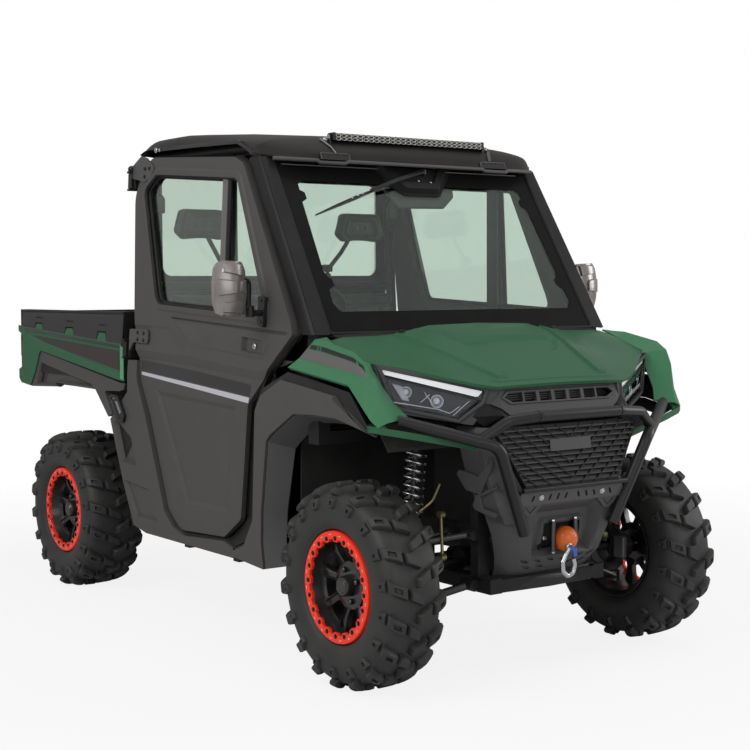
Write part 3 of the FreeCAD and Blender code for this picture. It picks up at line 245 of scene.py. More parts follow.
# A loop with each edge moved inwards and neighbouring edges carried on until they meet
def insetLoop(loop, distance):
    loop = np.asarray(loop, float)
    along = np.roll(loop, -1, 0) - loop
    along /= np.linalg.norm(along, axis=1)[:, None]
    area = (loop[:, 0] * np.roll(loop[:, 1], -1) - loop[:, 1] * np.roll(loop[:, 0], -1)).sum()
    inward = np.stack([-along[:, 1], along[:, 0]], -1) * (1 if area > 0 else -1)
    before, after = np.roll(inward, 1, 0), inward
    return loop + (before + after) * distance / (1 + (before * after).sum(1))[:, None]


# Height over a loop's inside, reached over a ramp along its edge
def raisedBy(points, loop, height, ramp):
    inside = inLoop(points, loop)
    return np.where(inside, np.clip(loopDistance(points, loop) / ramp, 0, 1), 0) * height


# A flat sheet cut from an outline. Reliefs (loop, height, ramp) rise from it; place(u, v, height) puts it
# in space.
def panel(outline, place, holes=(), creases=(), reliefs=()):
    loops = [np.asarray(outline, float)] + [np.asarray(hole, float) for hole in holes]
    reliefs = [(np.asarray(loop, float), height, ramp) for loop, height, ramp in reliefs]
    for loop, height, ramp in reliefs:
        loops += [loop, insetLoop(loop, ramp)]
    points, edges = [], []
    for loop in loops:
        start = len(points)
        points += loop.tolist()
        edges += [(start + i, start + (i + 1) % len(loop)) for i in range(len(loop))]
    for crease in creases:
        start = len(points)
        points += [list(point) for point in crease]
        edges += [(start + i, start + i + 1) for i in range(len(crease) - 1)]
    made = geometry.delaunay_2d_cdt([Vector(point) for point in points], edges, [], 0, 1e-6)
    flat = np.array([point[:] for point in made[0]])
    triangles = np.array([face for face in made[2] if len(face) == 3])
    centres = flat[triangles].mean(1)
    keep = inLoop(centres, loops[0])
    for hole in loops[1:1 + len(holes)]:
        keep &= ~inLoop(centres, hole)
    triangles = triangles[keep]
    used, triangles = np.unique(triangles, return_inverse=True)
    flat = flat[used]
    height = sum((raisedBy(flat, loop, rise, ramp) for loop, rise, ramp in reliefs), np.zeros(len(flat)))
    return place(flat[:, 0], flat[:, 1], height), triangles.reshape(-1, 3).tolist()


# Puts a shape into the scene as a piece of the vehicle that rides on a body
def makePiece(name, shape, material, body, bevel=0.0, wall=0.0, smooth=35, slot=None, replaces=(),
              flatten=False):
    points, faces = shape
    mesh = bpy.data.meshes.new(name)
    mesh.from_pydata(np.asarray(points, float).reshape(-1, 3).tolist(), [], [list(face) for face in faces])
    work = bmesh.new()
    work.from_mesh(mesh)
    bmesh.ops.remove_doubles(work, verts=work.verts, dist=1e-5)
    bmesh.ops.recalc_face_normals(work, faces=work.faces)
    if flatten:
        bmesh.ops.dissolve_limit(work, angle_limit=0.012, verts=work.verts, edges=work.edges)
    work.to_mesh(mesh)
    work.free()
    piece = bpy.data.objects.new(name, mesh)
    bpy.context.scene.collection.objects.link(piece)
    if wall:
        solid = piece.modifiers.new("wall", "SOLIDIFY")
        solid.thickness, solid.offset, solid.use_even_offset = abs(wall), -1 if wall > 0 else 1, True
        graph = bpy.context.evaluated_depsgraph_get()
        piece.data = bpy.data.meshes.new_from_object(piece.evaluated_get(graph))
        piece.modifiers.clear()
        bpy.data.meshes.remove(mesh)
        mesh = piece.data
        mesh.name = name
    mesh.materials.append(materials[material])
    mesh.shade_smooth()
    mesh.set_sharp_from_angle(angle=math.radians(smooth))
    if bevel:
        edge = piece.modifiers.new("edge", "BEVEL")
        edge.width, edge.segments, edge.limit_method = bevel, 2, "ANGLE"
        edge.angle_limit, edge.harden_normals, edge.use_clamp_overlap = math.radians(28), True, True
    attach(piece, body)
    for node in replaces:
        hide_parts(node)
    return piece


# The open sheet with its faces turned towards a direction
def facing(shape, direction):
    points, faces = shape
    points = np.asarray(points, float)
    total = np.zeros(3)
    for face in faces[:200]:
        corners = points[list(face)[:3]]
        total += np.cross(corners[1] - corners[0], corners[2] - corners[0])
    return shape if total @ np.array(direction, float) > 0 else (points, [list(face)[::-1] for face in faces])


# finishes

# A screen colour (0 to 255) as the linear values that a shader takes
def linear(red, green, blue):
    share = np.array([red, green, blue]) / 255
    low = share / 12.92
    high = ((share + 0.055) / 1.055) ** 2.4
    return (*np.where(share <= 0.04045, low, high).tolist(), 1.0)


# An empty shader node group with named sockets
def newGroup(name, inputs, outputs):
    tree = bpy.data.node_groups.new(name, "ShaderNodeTree")
    for label, kind, value in inputs:
        socket = tree.interface.new_socket(label, in_out="INPUT", socket_type="NodeSocket" + kind)
        socket.default_value = value
    for label, kind in outputs:
        tree.interface.new_socket(label, in_out="OUTPUT", socket_type="NodeSocket" + kind)
    return tree, tree.nodes.new("NodeGroupInput"), tree.nodes.new("NodeGroupOutput")


# A node with its settings; links are (input, what feeds it or its value)
def node(tree, kind, links=(), **settings):
    made = tree.nodes.new("ShaderNode" + kind)
    for key, value in settings.items():
        setattr(made, key, value)
    for socket, source in links:
        if isinstance(source, bpy.types.NodeSocket):
            tree.links.new(source, made.inputs[socket])
        else:
            made.inputs[socket].default_value = source
    return made


# one Math node of two inputs
def calc(tree, operation, first, second=0.0, clamp=False):
    return node(tree, "Math", ((0, first), (1, second)), operation=operation, use_clamp=clamp).outputs[0]


# two colours blended by a factor
def mixColor(tree, factor, first, second):
    made = node(tree, "Mix", data_type="RGBA")
    for index, source in ((0, factor), (6, first), (7, second)):
        if isinstance(source, bpy.types.NodeSocket):
            tree.links.new(source, made.inputs[index])
        else:
            made.inputs[index].default_value = source
    return made.outputs[2]


# Moulded or cast grain: fine cells over slow unevenness. Gives a height and a change of shade.
def buildGrain():
    tree, given, result = newGroup("grainGroup", (("Scale", "Float", 900.0), ("Evenness", "Float", 0.5)),
                                   (("Height", "Float"), ("Shade", "Float")))
    place = node(tree, "TexCoord").outputs["Object"]
    cells = node(tree, "TexVoronoi", (("Vector", place), ("Scale", given.outputs["Scale"])),
                 feature="SMOOTH_F1")
    slow = node(tree, "TexNoise", (("Vector", place), ("Scale", 7.0), ("Detail", 4.0)))
    fine = node(tree, "TexNoise", (("Vector", place),
                                   ("Scale", calc(tree, "MULTIPLY", given.outputs["Scale"], 0.5)),
                                   ("Detail", 3.0)))
    height = calc(tree, "ADD", calc(tree, "MULTIPLY", cells.outputs["Distance"], 0.6), fine.outputs["Fac"])
    shade = calc(tree, "MULTIPLY_ADD", slow.outputs["Fac"], given.outputs["Evenness"])
    tree.links.new(height, result.inputs["Height"])
    tree.links.new(calc(tree, "ADD", shade, calc(tree, "MULTIPLY", fine.outputs["Fac"], 0.12)),
                   result.inputs["Shade"])
    return tree


# Thin dust: more of it on what faces up. Gives a colour and a roughness.
def buildDust():
    tree, given, result = newGroup("dustGroup", (
        ("Color", "Color", (0.1, 0.1, 0.1, 1)), ("Dust Color", "Color", (0.3, 0.29, 0.27, 1)),
        ("Amount", "Float", 0.1), ("Roughness", "Float", 0.5)), (("Color", "Color"), ("Roughness", "Float")))
    place = node(tree, "TexCoord").outputs["Object"]
    cloud = node(tree, "TexNoise", (("Vector", place), ("Scale", 11.0), ("Detail", 6.0), ("Roughness", 0.62)))
    normal = node(tree, "NewGeometry").outputs["Normal"]
    up = node(tree, "SeparateXYZ", ((0, normal),)).outputs["Z"]
    upShare = calc(tree, "MULTIPLY_ADD", up, 0.45)
    upShare.node.inputs[2].default_value = 0.55
    patchy = calc(tree, "MULTIPLY", cloud.outputs["Fac"], upShare)
    share = calc(tree, "MULTIPLY", patchy, given.outputs["Amount"], clamp=True)
    tree.links.new(mixColor(tree, share, given.outputs["Color"], given.outputs["Dust Color"]),
                   result.inputs["Color"])
    rough = calc(tree, "MULTIPLY_ADD", share, 0.5)
    tree.links.new(given.outputs["Roughness"], rough.node.inputs[2])
    tree.links.new(rough, result.inputs["Roughness"])
    return tree


# Metallic flake under clear lacquer: each flake has its own shade
def buildFlake():
    tree, given, result = newGroup("flakeGroup",
            (("Color", "Color", (0.05, 0.2, 0.1, 1)), ("Depth", "Float", 0.2), ("Scale", "Float", 1400.0)),
                                   (("Color", "Color"), ("Height", "Float")))
    place = node(tree, "TexCoord").outputs["Object"]
    flake = node(tree, "TexVoronoi", (("Vector", place), ("Scale", given.outputs["Scale"])))
    value = node(tree, "SeparateColor", ((0, flake.outputs["Color"]),)).outputs[0]
    slow = node(tree, "TexNoise", (("Vector", place), ("Scale", 3.0), ("Detail", 2.0)))
    shade = calc(tree, "MULTIPLY", calc(tree, "SUBTRACT", value, 0.5), given.outputs["Depth"])
    shade = calc(tree, "ADD", shade, calc(tree, "MULTIPLY", slow.outputs["Fac"], 0.02))
    brighter = mixColor(tree, calc(tree, "ADD", shade, 0.01, clamp=True), given.outputs["Color"],
                        (0.75, 0.9, 0.8, 1))
    tree.links.new(brighter, result.inputs["Color"])
    peel = node(tree, "TexNoise", (("Vector", place), ("Scale", 160.0), ("Detail", 1.0)))
    tree.links.new(peel.outputs["Fac"], result.inputs["Height"])
    return tree


# Fine scratches along one axis of worked metal. Gives a height and a mask.
def buildBrush():
    tree, given, result = newGroup("brushGroup",
                                   (("Stretch", "Vector", (20.0, 400.0, 400.0)), ("Depth", "Float", 0.3)),
                                   (("Height", "Float"), ("Mask", "Float")))
    place = node(tree, "TexCoord").outputs["Object"]
    drawn = node(tree, "VectorMath", ((0, place), (1, given.outputs["Stretch"])),
                 operation="MULTIPLY").outputs[0]
    lines = node(tree, "TexNoise", (("Vector", drawn), ("Scale", 1.0), ("Detail", 5.0)))
    tree.links.new(calc(tree, "MULTIPLY", lines.outputs["Fac"], given.outputs["Depth"]),
                   result.inputs["Height"])
    tree.links.new(lines.outputs["Fac"], result.inputs["Mask"])
    return tree


# Twill webbing: two sets of threads at right angles, worked out from sine waves
def buildWeave():
    tree, given, result = newGroup("weaveGroup", (("Scale", "Float", 1200.0),),
                                   (("Height", "Float"), ("Shade", "Float")))
    place = node(tree, "TexCoord").outputs["Object"]
    parts = node(tree, "SeparateXYZ", ((0, place),))
    first = calc(tree, "SINE", calc(tree, "MULTIPLY",
                                    calc(tree, "ADD", parts.outputs["X"], parts.outputs["Z"]),
                                    given.outputs["Scale"]))
    second = calc(tree, "SINE", calc(tree, "MULTIPLY", calc(tree, "SUBTRACT", parts.outputs["Z"],
                                                               parts.outputs["X"]), given.outputs["Scale"]))
    weave = calc(tree, "MULTIPLY", first, second)
    tree.links.new(weave, result.inputs["Height"])
    shade = calc(tree, "MULTIPLY_ADD", weave, 0.25)
    shade.node.inputs[2].default_value = 0.5
    tree.links.new(shade, result.inputs["Shade"])
    return tree


groups = {"grain": buildGrain(), "dust": buildDust(), "flake": buildFlake(), "brush": buildBrush(),
          "weave": buildWeave()}
materials = {}


# one of the shared groups with its own values; an underscore stands for a space
def placeGroup(tree, name, **values):
    made = tree.nodes.new("ShaderNodeGroup")
    made.node_tree = groups[name]
    for key, value in values.items():
        made.inputs[key.replace("_", " ")].default_value = value
    return made


dustColor = (0.3, 0.29, 0.27, 1)


# A painted, moulded or metal finish: grain or flake, a change of shade, and dust
def finish(name, color, roughness, grain, bump, shade, dust, metallic=0.0, coat=0.0, coatRoughness=0.1,
           specular=0.5, surface="grain", glow=None, glowStrength=0.0):
    material = bpy.data.materials.new(name)
    material.use_nodes = True
    tree = material.node_tree
    shader = tree.nodes["Principled BSDF"]
    for socket, value in (("Metallic", metallic), ("Coat Weight", coat), ("Coat Roughness", coatRoughness),
                          ("Specular IOR Level", specular)):
        shader.inputs[socket].default_value = value
    if glow:
        shader.inputs["Emission Color"].default_value = glow
        shader.inputs["Emission Strength"].default_value = glowStrength
    color = linear(*color)
    if surface == "flake":
        base = placeGroup(tree, "flake", Color=color, Depth=shade, Scale=grain)
        tinted, height = base.outputs["Color"], base.outputs["Height"]
    else:
        if surface == "brush":
            base = placeGroup(tree, "brush", Stretch=grain, Depth=1.0)
            amount, height = base.outputs["Mask"], base.outputs["Height"]
        elif surface == "weave":
            base = placeGroup(tree, "weave", Scale=grain)
            amount, height = base.outputs["Shade"], base.outputs["Height"]
        else:
            base = placeGroup(tree, "grain", Scale=grain)
            amount, height = base.outputs["Shade"], base.outputs["Height"]
        dark = tuple(part * (1 - shade) for part in color[:3]) + (1,)
        light = tuple(min(1, part * (1 + shade)) for part in color[:3]) + (1,)
        tinted = mixColor(tree, amount, dark, light)
    dusty = placeGroup(tree, "dust", Dust_Color=dustColor, Amount=dust, Roughness=roughness)
    tree.links.new(tinted, dusty.inputs["Color"])
    tree.links.new(dusty.outputs["Color"], shader.inputs["Base Color"])
    tree.links.new(dusty.outputs["Roughness"], shader.inputs["Roughness"])
    if bump:
        relief = node(tree, "Bump", (("Height", height), ("Strength", bump), ("Distance", 0.0008)))
        tree.links.new(relief.outputs["Normal"], shader.inputs["Normal"])
    materials[name] = material


# Tinted glass, with faint smears in its roughness
def glassFinish(name, color):
    material = bpy.data.materials.new(name)
    material.use_nodes = True
    tree = material.node_tree
    shader = tree.nodes["Principled BSDF"]
    shader.inputs["Transmission Weight"].default_value = 1.0
    shader.inputs["IOR"].default_value = 1.45
    place = node(tree, "TexCoord").outputs["Object"]
    smear = node(tree, "TexNoise", (("Vector", place), ("Scale", 9.0), ("Detail", 5.0)))
    rough = node(tree, "MapRange", (("Value", smear.outputs["Fac"]), ("From Min", 0.4), ("From Max", 0.8),
                                    ("To Min", 0.0), ("To Max", 0.03)))
    tint = linear(*color)
    tree.links.new(mixColor(tree, smear.outputs["Fac"], tuple(part * 0.985 for part in tint[:3]) + (1,),
                            tint), shader.inputs["Base Color"])
    tree.links.new(rough.outputs[0], shader.inputs["Roughness"])
    materials[name] = material


# A lit or lightable lens, with a fine grain
def lampFinish(name, color, strength, grain=300.0):
    finish(name, color, 0.15, grain, 0.25, 0.05, 0.02, coat=0.8, glow=linear(*color), glowStrength=strength)


# each finish: colour (0 to 255), roughness, grain or its stretch, bump, change of shade, dust, and its
# other values
finishTable = {
    # a lighter copy of the green paint, used on the fenders: painted light
    "paintSide": ((62, 126, 86), 0.42, 1500.0, 0.03, 0.05, 0.01,
        dict(coat=0.1, coatRoughness=0.12, specular=0.2, surface="flake")),
    "paintGreen": ((32, 94, 58), 0.42, 1500.0, 0.03, 0.06, 0.03,
        dict(coat=0.1, coatRoughness=0.12, specular=0.2, surface="flake")),
    # a still lighter copy of the green paint, for the bed side's rounded front edge: painted highlight
    "paintLight": ((96, 160, 118), 0.42, 1500.0, 0.03, 0.05, 0.03,
        dict(coat=0.15, coatRoughness=0.12, specular=0.25, surface="flake")),
    "wedgeBrown": ((58, 51, 50), 0.4, 900.0, 0.03, 0.06, 0.04, dict(specular=0.25)),
    "mouldedRail": ((48, 46, 46), 0.5, 1300.0, 0.16, 0.09, 0.1, dict(specular=0.3)),
    "mouldedGrey": ((74, 72, 71), 0.52, 1300.0, 0.16, 0.09, 0.12, dict(specular=0.35)),
    "mouldedDark": ((72, 71, 72), 0.5, 1300.0, 0.16, 0.09, 0.1, dict(specular=0.35)),
    "mouldedBlack": ((24, 23, 24), 0.46, 1200.0, 0.16, 0.1, 0.08, dict(specular=0.22)),
    "roofBlack": ((33, 30, 29), 0.46, 1300.0, 0.12, 0.1, 0.05, dict(specular=0.22)),
    "fritBlack": ((20, 20, 20), 0.35, 900.0, 0.01, 0.05, 0.03, dict(specular=0.08)),
    "mirrorShell": ((150, 144, 141), 0.26, 1400.0, 0.05, 0.08, 0.05,
        dict(metallic=0.55, coat=0.3, coatRoughness=0.12)),
    "satinBlack": ((24, 24, 25), 0.36, 500.0, 0.06, 0.12, 0.07,
        dict(specular=0.3, coat=0.15, coatRoughness=0.3)),
    "frameBlack": ((20, 20, 21), 0.42, 420.0, 0.08, 0.15, 0.14, dict(specular=0.2)),
    "wheelBlack": ((16, 16, 17), 0.27, 600.0, 0.03, 0.12, 0.1, dict(coat=0.5, coatRoughness=0.15)),
    # the orange bead rings glow a little, though they are no lamp: painted light
    "ringOrange": ((250, 46, 4), 0.36, 700.0, 0.04, 0.05, 0.05,
        dict(specular=0.3, coat=0.4, coatRoughness=0.15, glow=(0.8, 0.035, 0.006, 1), glowStrength=0.12)),
    "tyreRubber": ((33, 33, 33), 0.5, 700.0, 0.22, 0.16, 0.16, dict(specular=0.45)),
    "sealRubber": ((17, 17, 17), 0.55, 900.0, 0.1, 0.1, 0.08, dict(specular=0.25)),
    "gripRubber": ((22, 22, 22), 0.6, 500.0, 0.5, 0.12, 0.06, dict()),
    "brightSteel": ((196, 197, 200), 0.24, (40.0, 500.0, 500.0), 0.06, 0.14, 0.08,
        dict(metallic=1.0, surface="brush")),
    "darkSteel": ((88, 88, 90), 0.34, (60.0, 60.0, 700.0), 0.06, 0.2, 0.15,
        dict(metallic=1.0, surface="brush")),
    "castMetal": ((96, 97, 98), 0.55, 260.0, 0.35, 0.2, 0.25, dict(metallic=0.7)),
    "brassTube": ((150, 138, 96), 0.38, 300.0, 0.05, 0.15, 0.1, dict(metallic=0.9)),
    "collarOrange": ((226, 104, 20), 0.36, 800.0, 0.05, 0.07, 0.06, dict(coat=0.3)),
    "latchBlue": ((28, 92, 190), 0.34, 800.0, 0.05, 0.07, 0.03, dict(coat=0.4)),
    "markerRed": ((170, 26, 18), 0.25, 300.0, 0.15, 0.1, 0.03, dict(coat=0.7)),
    "stripeSilver": ((222, 221, 228), 0.35, 900.0, 0.03, 0.05, 0.04, dict(metallic=0.35)),
    "postGrey": ((104, 102, 101), 0.4, 1200.0, 0.05, 0.06, 0.06, dict()),
    "bandGrey": ((48, 46, 47), 0.36, 1200.0, 0.05, 0.06, 0.06, dict(specular=0.4)),
    "plateGrey": ((72, 72, 72), 0.45, 900.0, 0.08, 0.08, 0.08, dict()),
    "stripeBlack": ((16, 16, 17), 0.3, 900.0, 0.03, 0.08, 0.05, dict(coat=0.3)),
    "seatVinyl": ((36, 36, 37), 0.48, 420.0, 0.4, 0.12, 0.06, dict()),
    "headrestVinyl": ((62, 66, 63), 0.5, 420.0, 0.3, 0.1, 0.05, dict()),
    "beltWeb": ((34, 34, 34), 0.7, 1500.0, 0.5, 0.2, 0.05, dict(surface="weave")),
    "linerBlack": ((26, 26, 26), 0.7, 380.0, 0.3, 0.2, 0.2, dict(specular=0.25)),
    "bezelBlack": ((20, 20, 21), 0.3, 900.0, 0.02, 0.08, 0.03, dict(coat=0.15, coatRoughness=0.1)),
    "reflector": ((205, 206, 210), 0.12, (300.0, 300.0, 30.0), 0.03, 0.08, 0.0,
        dict(metallic=1.0, surface="brush")),
    "lensRed": ((150, 14, 12), 0.16, 260.0, 0.3, 0.1, 0.02, dict(coat=0.8))}
for name, (color, roughness, grain, bump, shade, dust, others) in finishTable.items():
    finish(name, color, roughness, grain, bump, shade, dust, **others)
lampFinish("ledWhite", (236, 238, 240), 0.32)
lampFinish("barCells", (222, 220, 214), 0.22, grain=220.0)
lampFinish("ledChips", (222, 224, 226), 0.15, grain=200.0)
glassFinish("glassTint", (216, 228, 219))
glassFinish("glassShield", (218, 230, 222))
glassFinish("lensClear", (226, 228, 232))
print("finishes ready:", len(materials))

cadFinish = {
    "tyreRubber": ("tyre",),
    "frameBlack": ("main_frame", "rear_arms", "left_knuckle", "right_knuckle", "half_shafts", "tie_rods",
        "steering_gear"),
    "wheelBlack": ("rim", "front_arms"),
    "satinBlack": ("bull_bar", "winch", "light_bar", "steering_column", "wiper"),
    "darkSteel": ("shocks",),
    "mouldedBlack": ("cab_frame", "rear_wall", "dashboard", "seat_pedestal", "headrests", "front_bumper",
        "roof", "mesh_grille", "upper_grille", "left_mirror", "right_mirror", "cargo_tub", "tailgate"),
    "mouldedGrey": ("left_door", "right_door", "fender_flares", "side_sills", "bed_lower_sides"),
    "linerBlack": ("floor_pan", "arch_liners"),
    "castMetal": ("engine_block", "front_gearcase"),
    "paintGreen": ("hood", "front_fenders", "bed_sides"),
    "seatVinyl": ("seat_cushions", "seat_backs"),
    "beltWeb": ("seat_belts",),
    "glassShield": ("windshield",),
    "glassTint": ("rear_window", "left_door_glass", "right_door_glass"),
    "gripRubber": ("steering_wheel",),
    "bezelBlack": ("headlights",),
    "lensRed": ("tail_lights",)}
for finishName, nodeNames in cadFinish.items():
    for label, cadNode in frame["nodes"].items():
        if label in nodeNames or label.split("_")[-1] in nodeNames:
            cadNode.data.materials.clear()
            cadNode.data.materials.append(materials[finishName])


# wheels

wheelLook = {"lugs": 18, "lugHeight": 0.021, "lugHalfWidth": 0.018, "lead": 0.17, "ringBolts": 20,
             "spokes": 8, "ringOuter": 0.1855, "ringInner": 0.149, "ringNotch": 0.158, "nutCircle": 0.054}


# Corner cutting: each run is replaced by its quarter and three-quarter points; the two ends stay
def smoothLine(line):
    line = np.asarray(line, float)
    for cutRound in range(2):
        cut = np.stack([line[:-1] * 0.75 + line[1:] * 0.25, line[:-1] * 0.25 + line[1:] * 0.75],
                       1).reshape(-1, 2)
        line = np.concatenate([line[:1], cut, line[-1:]])
    return line


# The carcass is a smooth outline turned about the axle. Each lug is a low bar on it: its centre line runs
# from crown to side wall, its section has chamfered sides, and its top has a pit.
def tyreShape(width, centre):
    half = smoothLine([(0, 0.3235), (0.22 * width, 0.3225), (0.36 * width, 0.318), (0.43 * width, 0.306),
                       (0.478 * width, 0.282), (0.492 * width, 0.25), (0.482 * width, 0.222),
                       (0.45 * width, 0.203), (0.435 * width, 0.2), (0.425 * width, 0.194),
                       (0.4 * width, 0.19), (0.375 * width, 0.1865), (0.36 * width, 0.18)])
    outline = np.concatenate([half[::-1] * (-1, 1), half[1:],
                              [(0.33 * width, 0.176), (-0.33 * width, 0.176)]])
    shapes = [turned(outline, 112, centre)]
    step = np.linalg.norm(np.diff(half, axis=0), axis=1)
    reach = np.concatenate([[0], np.cumsum(step)])
    tangent = np.gradient(half, reach, axis=0)
    normal = np.stack([-tangent[:, 1], tangent[:, 0]], -1)
    normal /= np.linalg.norm(normal, axis=1)[:, None]
    edge = np.interp(0.302, half[::-1, 1], reach[::-1])
    share = np.array([0, 0.07, 0.14, 0.36, 0.42, 0.64, 0.7, 0.86, 0.93, 1.0])
    across = np.array([-1.22, -1.0, -0.84, -0.42, -0.36, 0.36, 0.42, 0.84, 1.0, 1.22])
    crown = np.array([-0.25, 0.8, 1, 1, 1, 1, 1, 1, 0.8, -0.25])
    pit = np.array([0, 0, 0, 0, 1, 1, 0, 0, 0, 0])
    ends = np.array([-0.25, 0.75, 1, 1, 1, 1, 1, 1, 0.75, -0.25])
    # each block of a lug: from, to (share of the half tread), half width at both ends, height, pit depth
    blocks = ((-0.1, 0.42, 0.74, 0.98, 1.0, 0.0), (0.46, 1.02, 1.05, 1.0, 1.0, 0.42),
              (1.06, 1.42, 1.0, 0.55, 0.5, 0.3))
    count, lead = wheelLook["lugs"], wheelLook["lead"]
    for flip in (1, -1):
        turn = (np.arange(count) + (0.5 if flip < 0 else 0)) * 2 * math.pi / count
        for start, end, wideIn, wideOut, high, deep in blocks:
            at = (start + (end - start) * share) * edge
            bend = lead * np.clip(1 - at / edge, 0, 1.2) ** 0.8 if start >= 0 else lead * (1 - at / edge)
            wide = wheelLook["lugHalfWidth"] * (wideIn + (wideOut - wideIn) * share)
            top = np.minimum(crown[None, :], ends[:, None]) * high
            top = top - deep * pit[None, :] * np.array([0, 0, 0, 0, 1, 1, 0, 0, 0, 0])[:, None]
            lift = top * wheelLook["lugHeight"]
            base = np.stack([np.interp(np.abs(at), reach, half[:, 0]) * np.sign(at + 1e-9),
                             np.interp(np.abs(at), reach, half[:, 1])], -1)
            out = np.stack([np.interp(np.abs(at), reach, normal[:, 0]) * np.sign(at + 1e-9),
                            np.interp(np.abs(at), reach, normal[:, 1])], -1)
            x = flip * (base[:, None, 0] + out[:, None, 0] * lift)
            r = np.minimum(base[:, None, 1] + out[:, None, 1] * lift, 0.3445)
            angle = (turn[:, None, None] + bend[None, :, None] * -1
                     + (wide[:, None] * across[None, :] / base[:, None, 1])[None])
            points = np.stack([np.broadcast_to(x, angle.shape), -r * np.cos(angle), r * np.sin(angle)], -1)
            rows, columns = len(share), len(across)
            one = gridFaces(rows, columns, False, True)
            one += [list(range(columns)), list(range((rows - 1) * columns, rows * columns))]
            faces = [[corner + k * rows * columns for corner in face] for k in range(count) for face in one]
            shapes.append((points.reshape(-1, 3) + np.array(centre), faces))
    return joinShapes(shapes)


# Barrel and hub are turned outlines; the ring's inner edge is a wave of lobes, one for each bolt
def rimShapes(width, centre, sign):
    edge = 0.36 * width
    face = edge + 0.018
    barrel = [(-edge - 0.012, 0.187), (-edge - 0.007, 0.187), (-edge - 0.005, 0.176), (edge, 0.176),
              (edge + 0.006, 0.1795), (face - 0.006, 0.1795), (face - 0.006, 0.166), (face - 0.018, 0.16),
              (edge - 0.03, 0.157), (edge - 0.046, 0.148), (edge - 0.052, 0.15), (-edge, 0.166),
              (-edge - 0.01, 0.178)]
    hub = [(edge - 0.062, 0.03), (edge - 0.062, 0.082), (edge - 0.04, 0.08), (edge - 0.036, 0.07),
           (edge - 0.04, 0.036), (edge - 0.012, 0.034), (edge - 0.006, 0.029), (edge - 0.006, 0.0005),
           (edge - 0.03, 0.0005)]
    shapes = [turned(barrel, 96, centre, sign), turned(hub, 48, centre, sign)]
    # a spoke runs from hub to barrel: its section is a ridge with two raised edges
    reach = np.linspace(0.06, 0.156, 7)
    half = np.interp(reach, (0.06, 0.1, 0.156), (0.017, 0.013, 0.021))
    rise = np.interp(reach, (0.06, 0.13, 0.156), (edge - 0.043, edge - 0.026, edge - 0.03))
    acrossSpoke = np.array([-1, -1, -0.62, -0.5, 0.5, 0.62, 1, 1])
    heightSpoke = np.array([-0.026, -0.003, 0, -0.007, -0.007, 0, -0.003, -0.026])
    x = sign * (rise[:, None] + heightSpoke[None, :])
    y = half[:, None] * acrossSpoke[None, :]
    z = np.broadcast_to(reach[:, None], y.shape)
    faces = gridFaces(7, 8, False, True) + [list(range(8)), list(range(48, 56))]
    shapes.append(repeated((np.stack([x, y, z], -1).reshape(-1, 3), faces),
                           turnsAboutX(wheelLook["spokes"], centre, 0.2)))
    count = wheelLook["ringBolts"]
    angle = np.arange(count * 16) * 2 * math.pi / (count * 16)
    wave = np.clip(0.5 + 1.5 * np.cos(angle * count), 0, 1)
    inner = wheelLook["ringNotch"] + (wheelLook["ringInner"] - wheelLook["ringNotch"]) * wave
    outer, level = wheelLook["ringOuter"], np.zeros(len(angle))
    rows = ((inner + 0.001, -0.012), (inner, -0.002), (inner + 0.0015, 0.0), (level + 0.176, 0.0),
            (level + outer - 0.002, -0.001), (level + outer, -0.004), (level + outer, -0.012))
    radius = np.stack([row[0] for row in rows], 1)
    x = np.broadcast_to(sign * (face + np.array([row[1] for row in rows])), radius.shape)
    points = np.stack([x, radius * np.cos(angle)[:, None], radius * np.sin(angle)[:, None]],
                      -1).reshape(-1, 3)
    ring = (points + np.array(centre), gridFaces(len(angle), len(rows), True, True))
    bolt = joinShapes([turned([(0, 0.0002), (0, 0.0062), (0.0035, 0.0058), (0.0042, 0.003), (0.0042, 0.0002)],
                              6, (0, 0, 0)), turned([(0, 0.0062), (0, 0.0085), (0.0012, 0.0083),
            (0.0012, 0.0062)], 14, (0, 0, 0))])
    bolt = (bolt[0] * (sign, 1, 1) + (sign * face, 0, 0.1615), bolt[1])
    bolts = repeated(bolt, turnsAboutX(count, centre))
    # small silver bars in the ring's slots, one between each pair of bolts: painted highlights
    slitHighlight = block((0, -0.0055, 0.1725), (sign * 0.0008, 0.0055, 0.1745))
    slitHighlights = repeated((slitHighlight[0] + (sign * face, 0, 0), slitHighlight[1]), turnsAboutX(count, centre, math.pi / count))
    nut = turned([(0, 0.0002), (0, 0.0105), (0.012, 0.0105), (0.016, 0.008), (0.0175, 0.004),
                  (0.0175, 0.0002)], 6, (0, 0, 0))
    nut = (nut[0] * (sign, 1, 1) + (sign * (edge - 0.04), 0, wheelLook["nutCircle"]), nut[1])
    nuts = repeated(nut, turnsAboutX(4, centre, -0.35))
    cap = turned([(0, 0.0002), (0, 0.024), (0.003, 0.022), (0.004, 0.0002)], 32,
                 np.array(centre) + (sign * (edge - 0.006), 0, 0), sign)
    valve = rod(np.array(centre) + (sign * (edge - 0.03), -0.148, 0.02), np.array(centre)
                + (sign * (edge + 0.006), -0.146, 0.02), 0.0032, 10)
    return joinShapes(shapes), ring, bolts, slitHighlights, joinShapes([nuts, cap]), valve


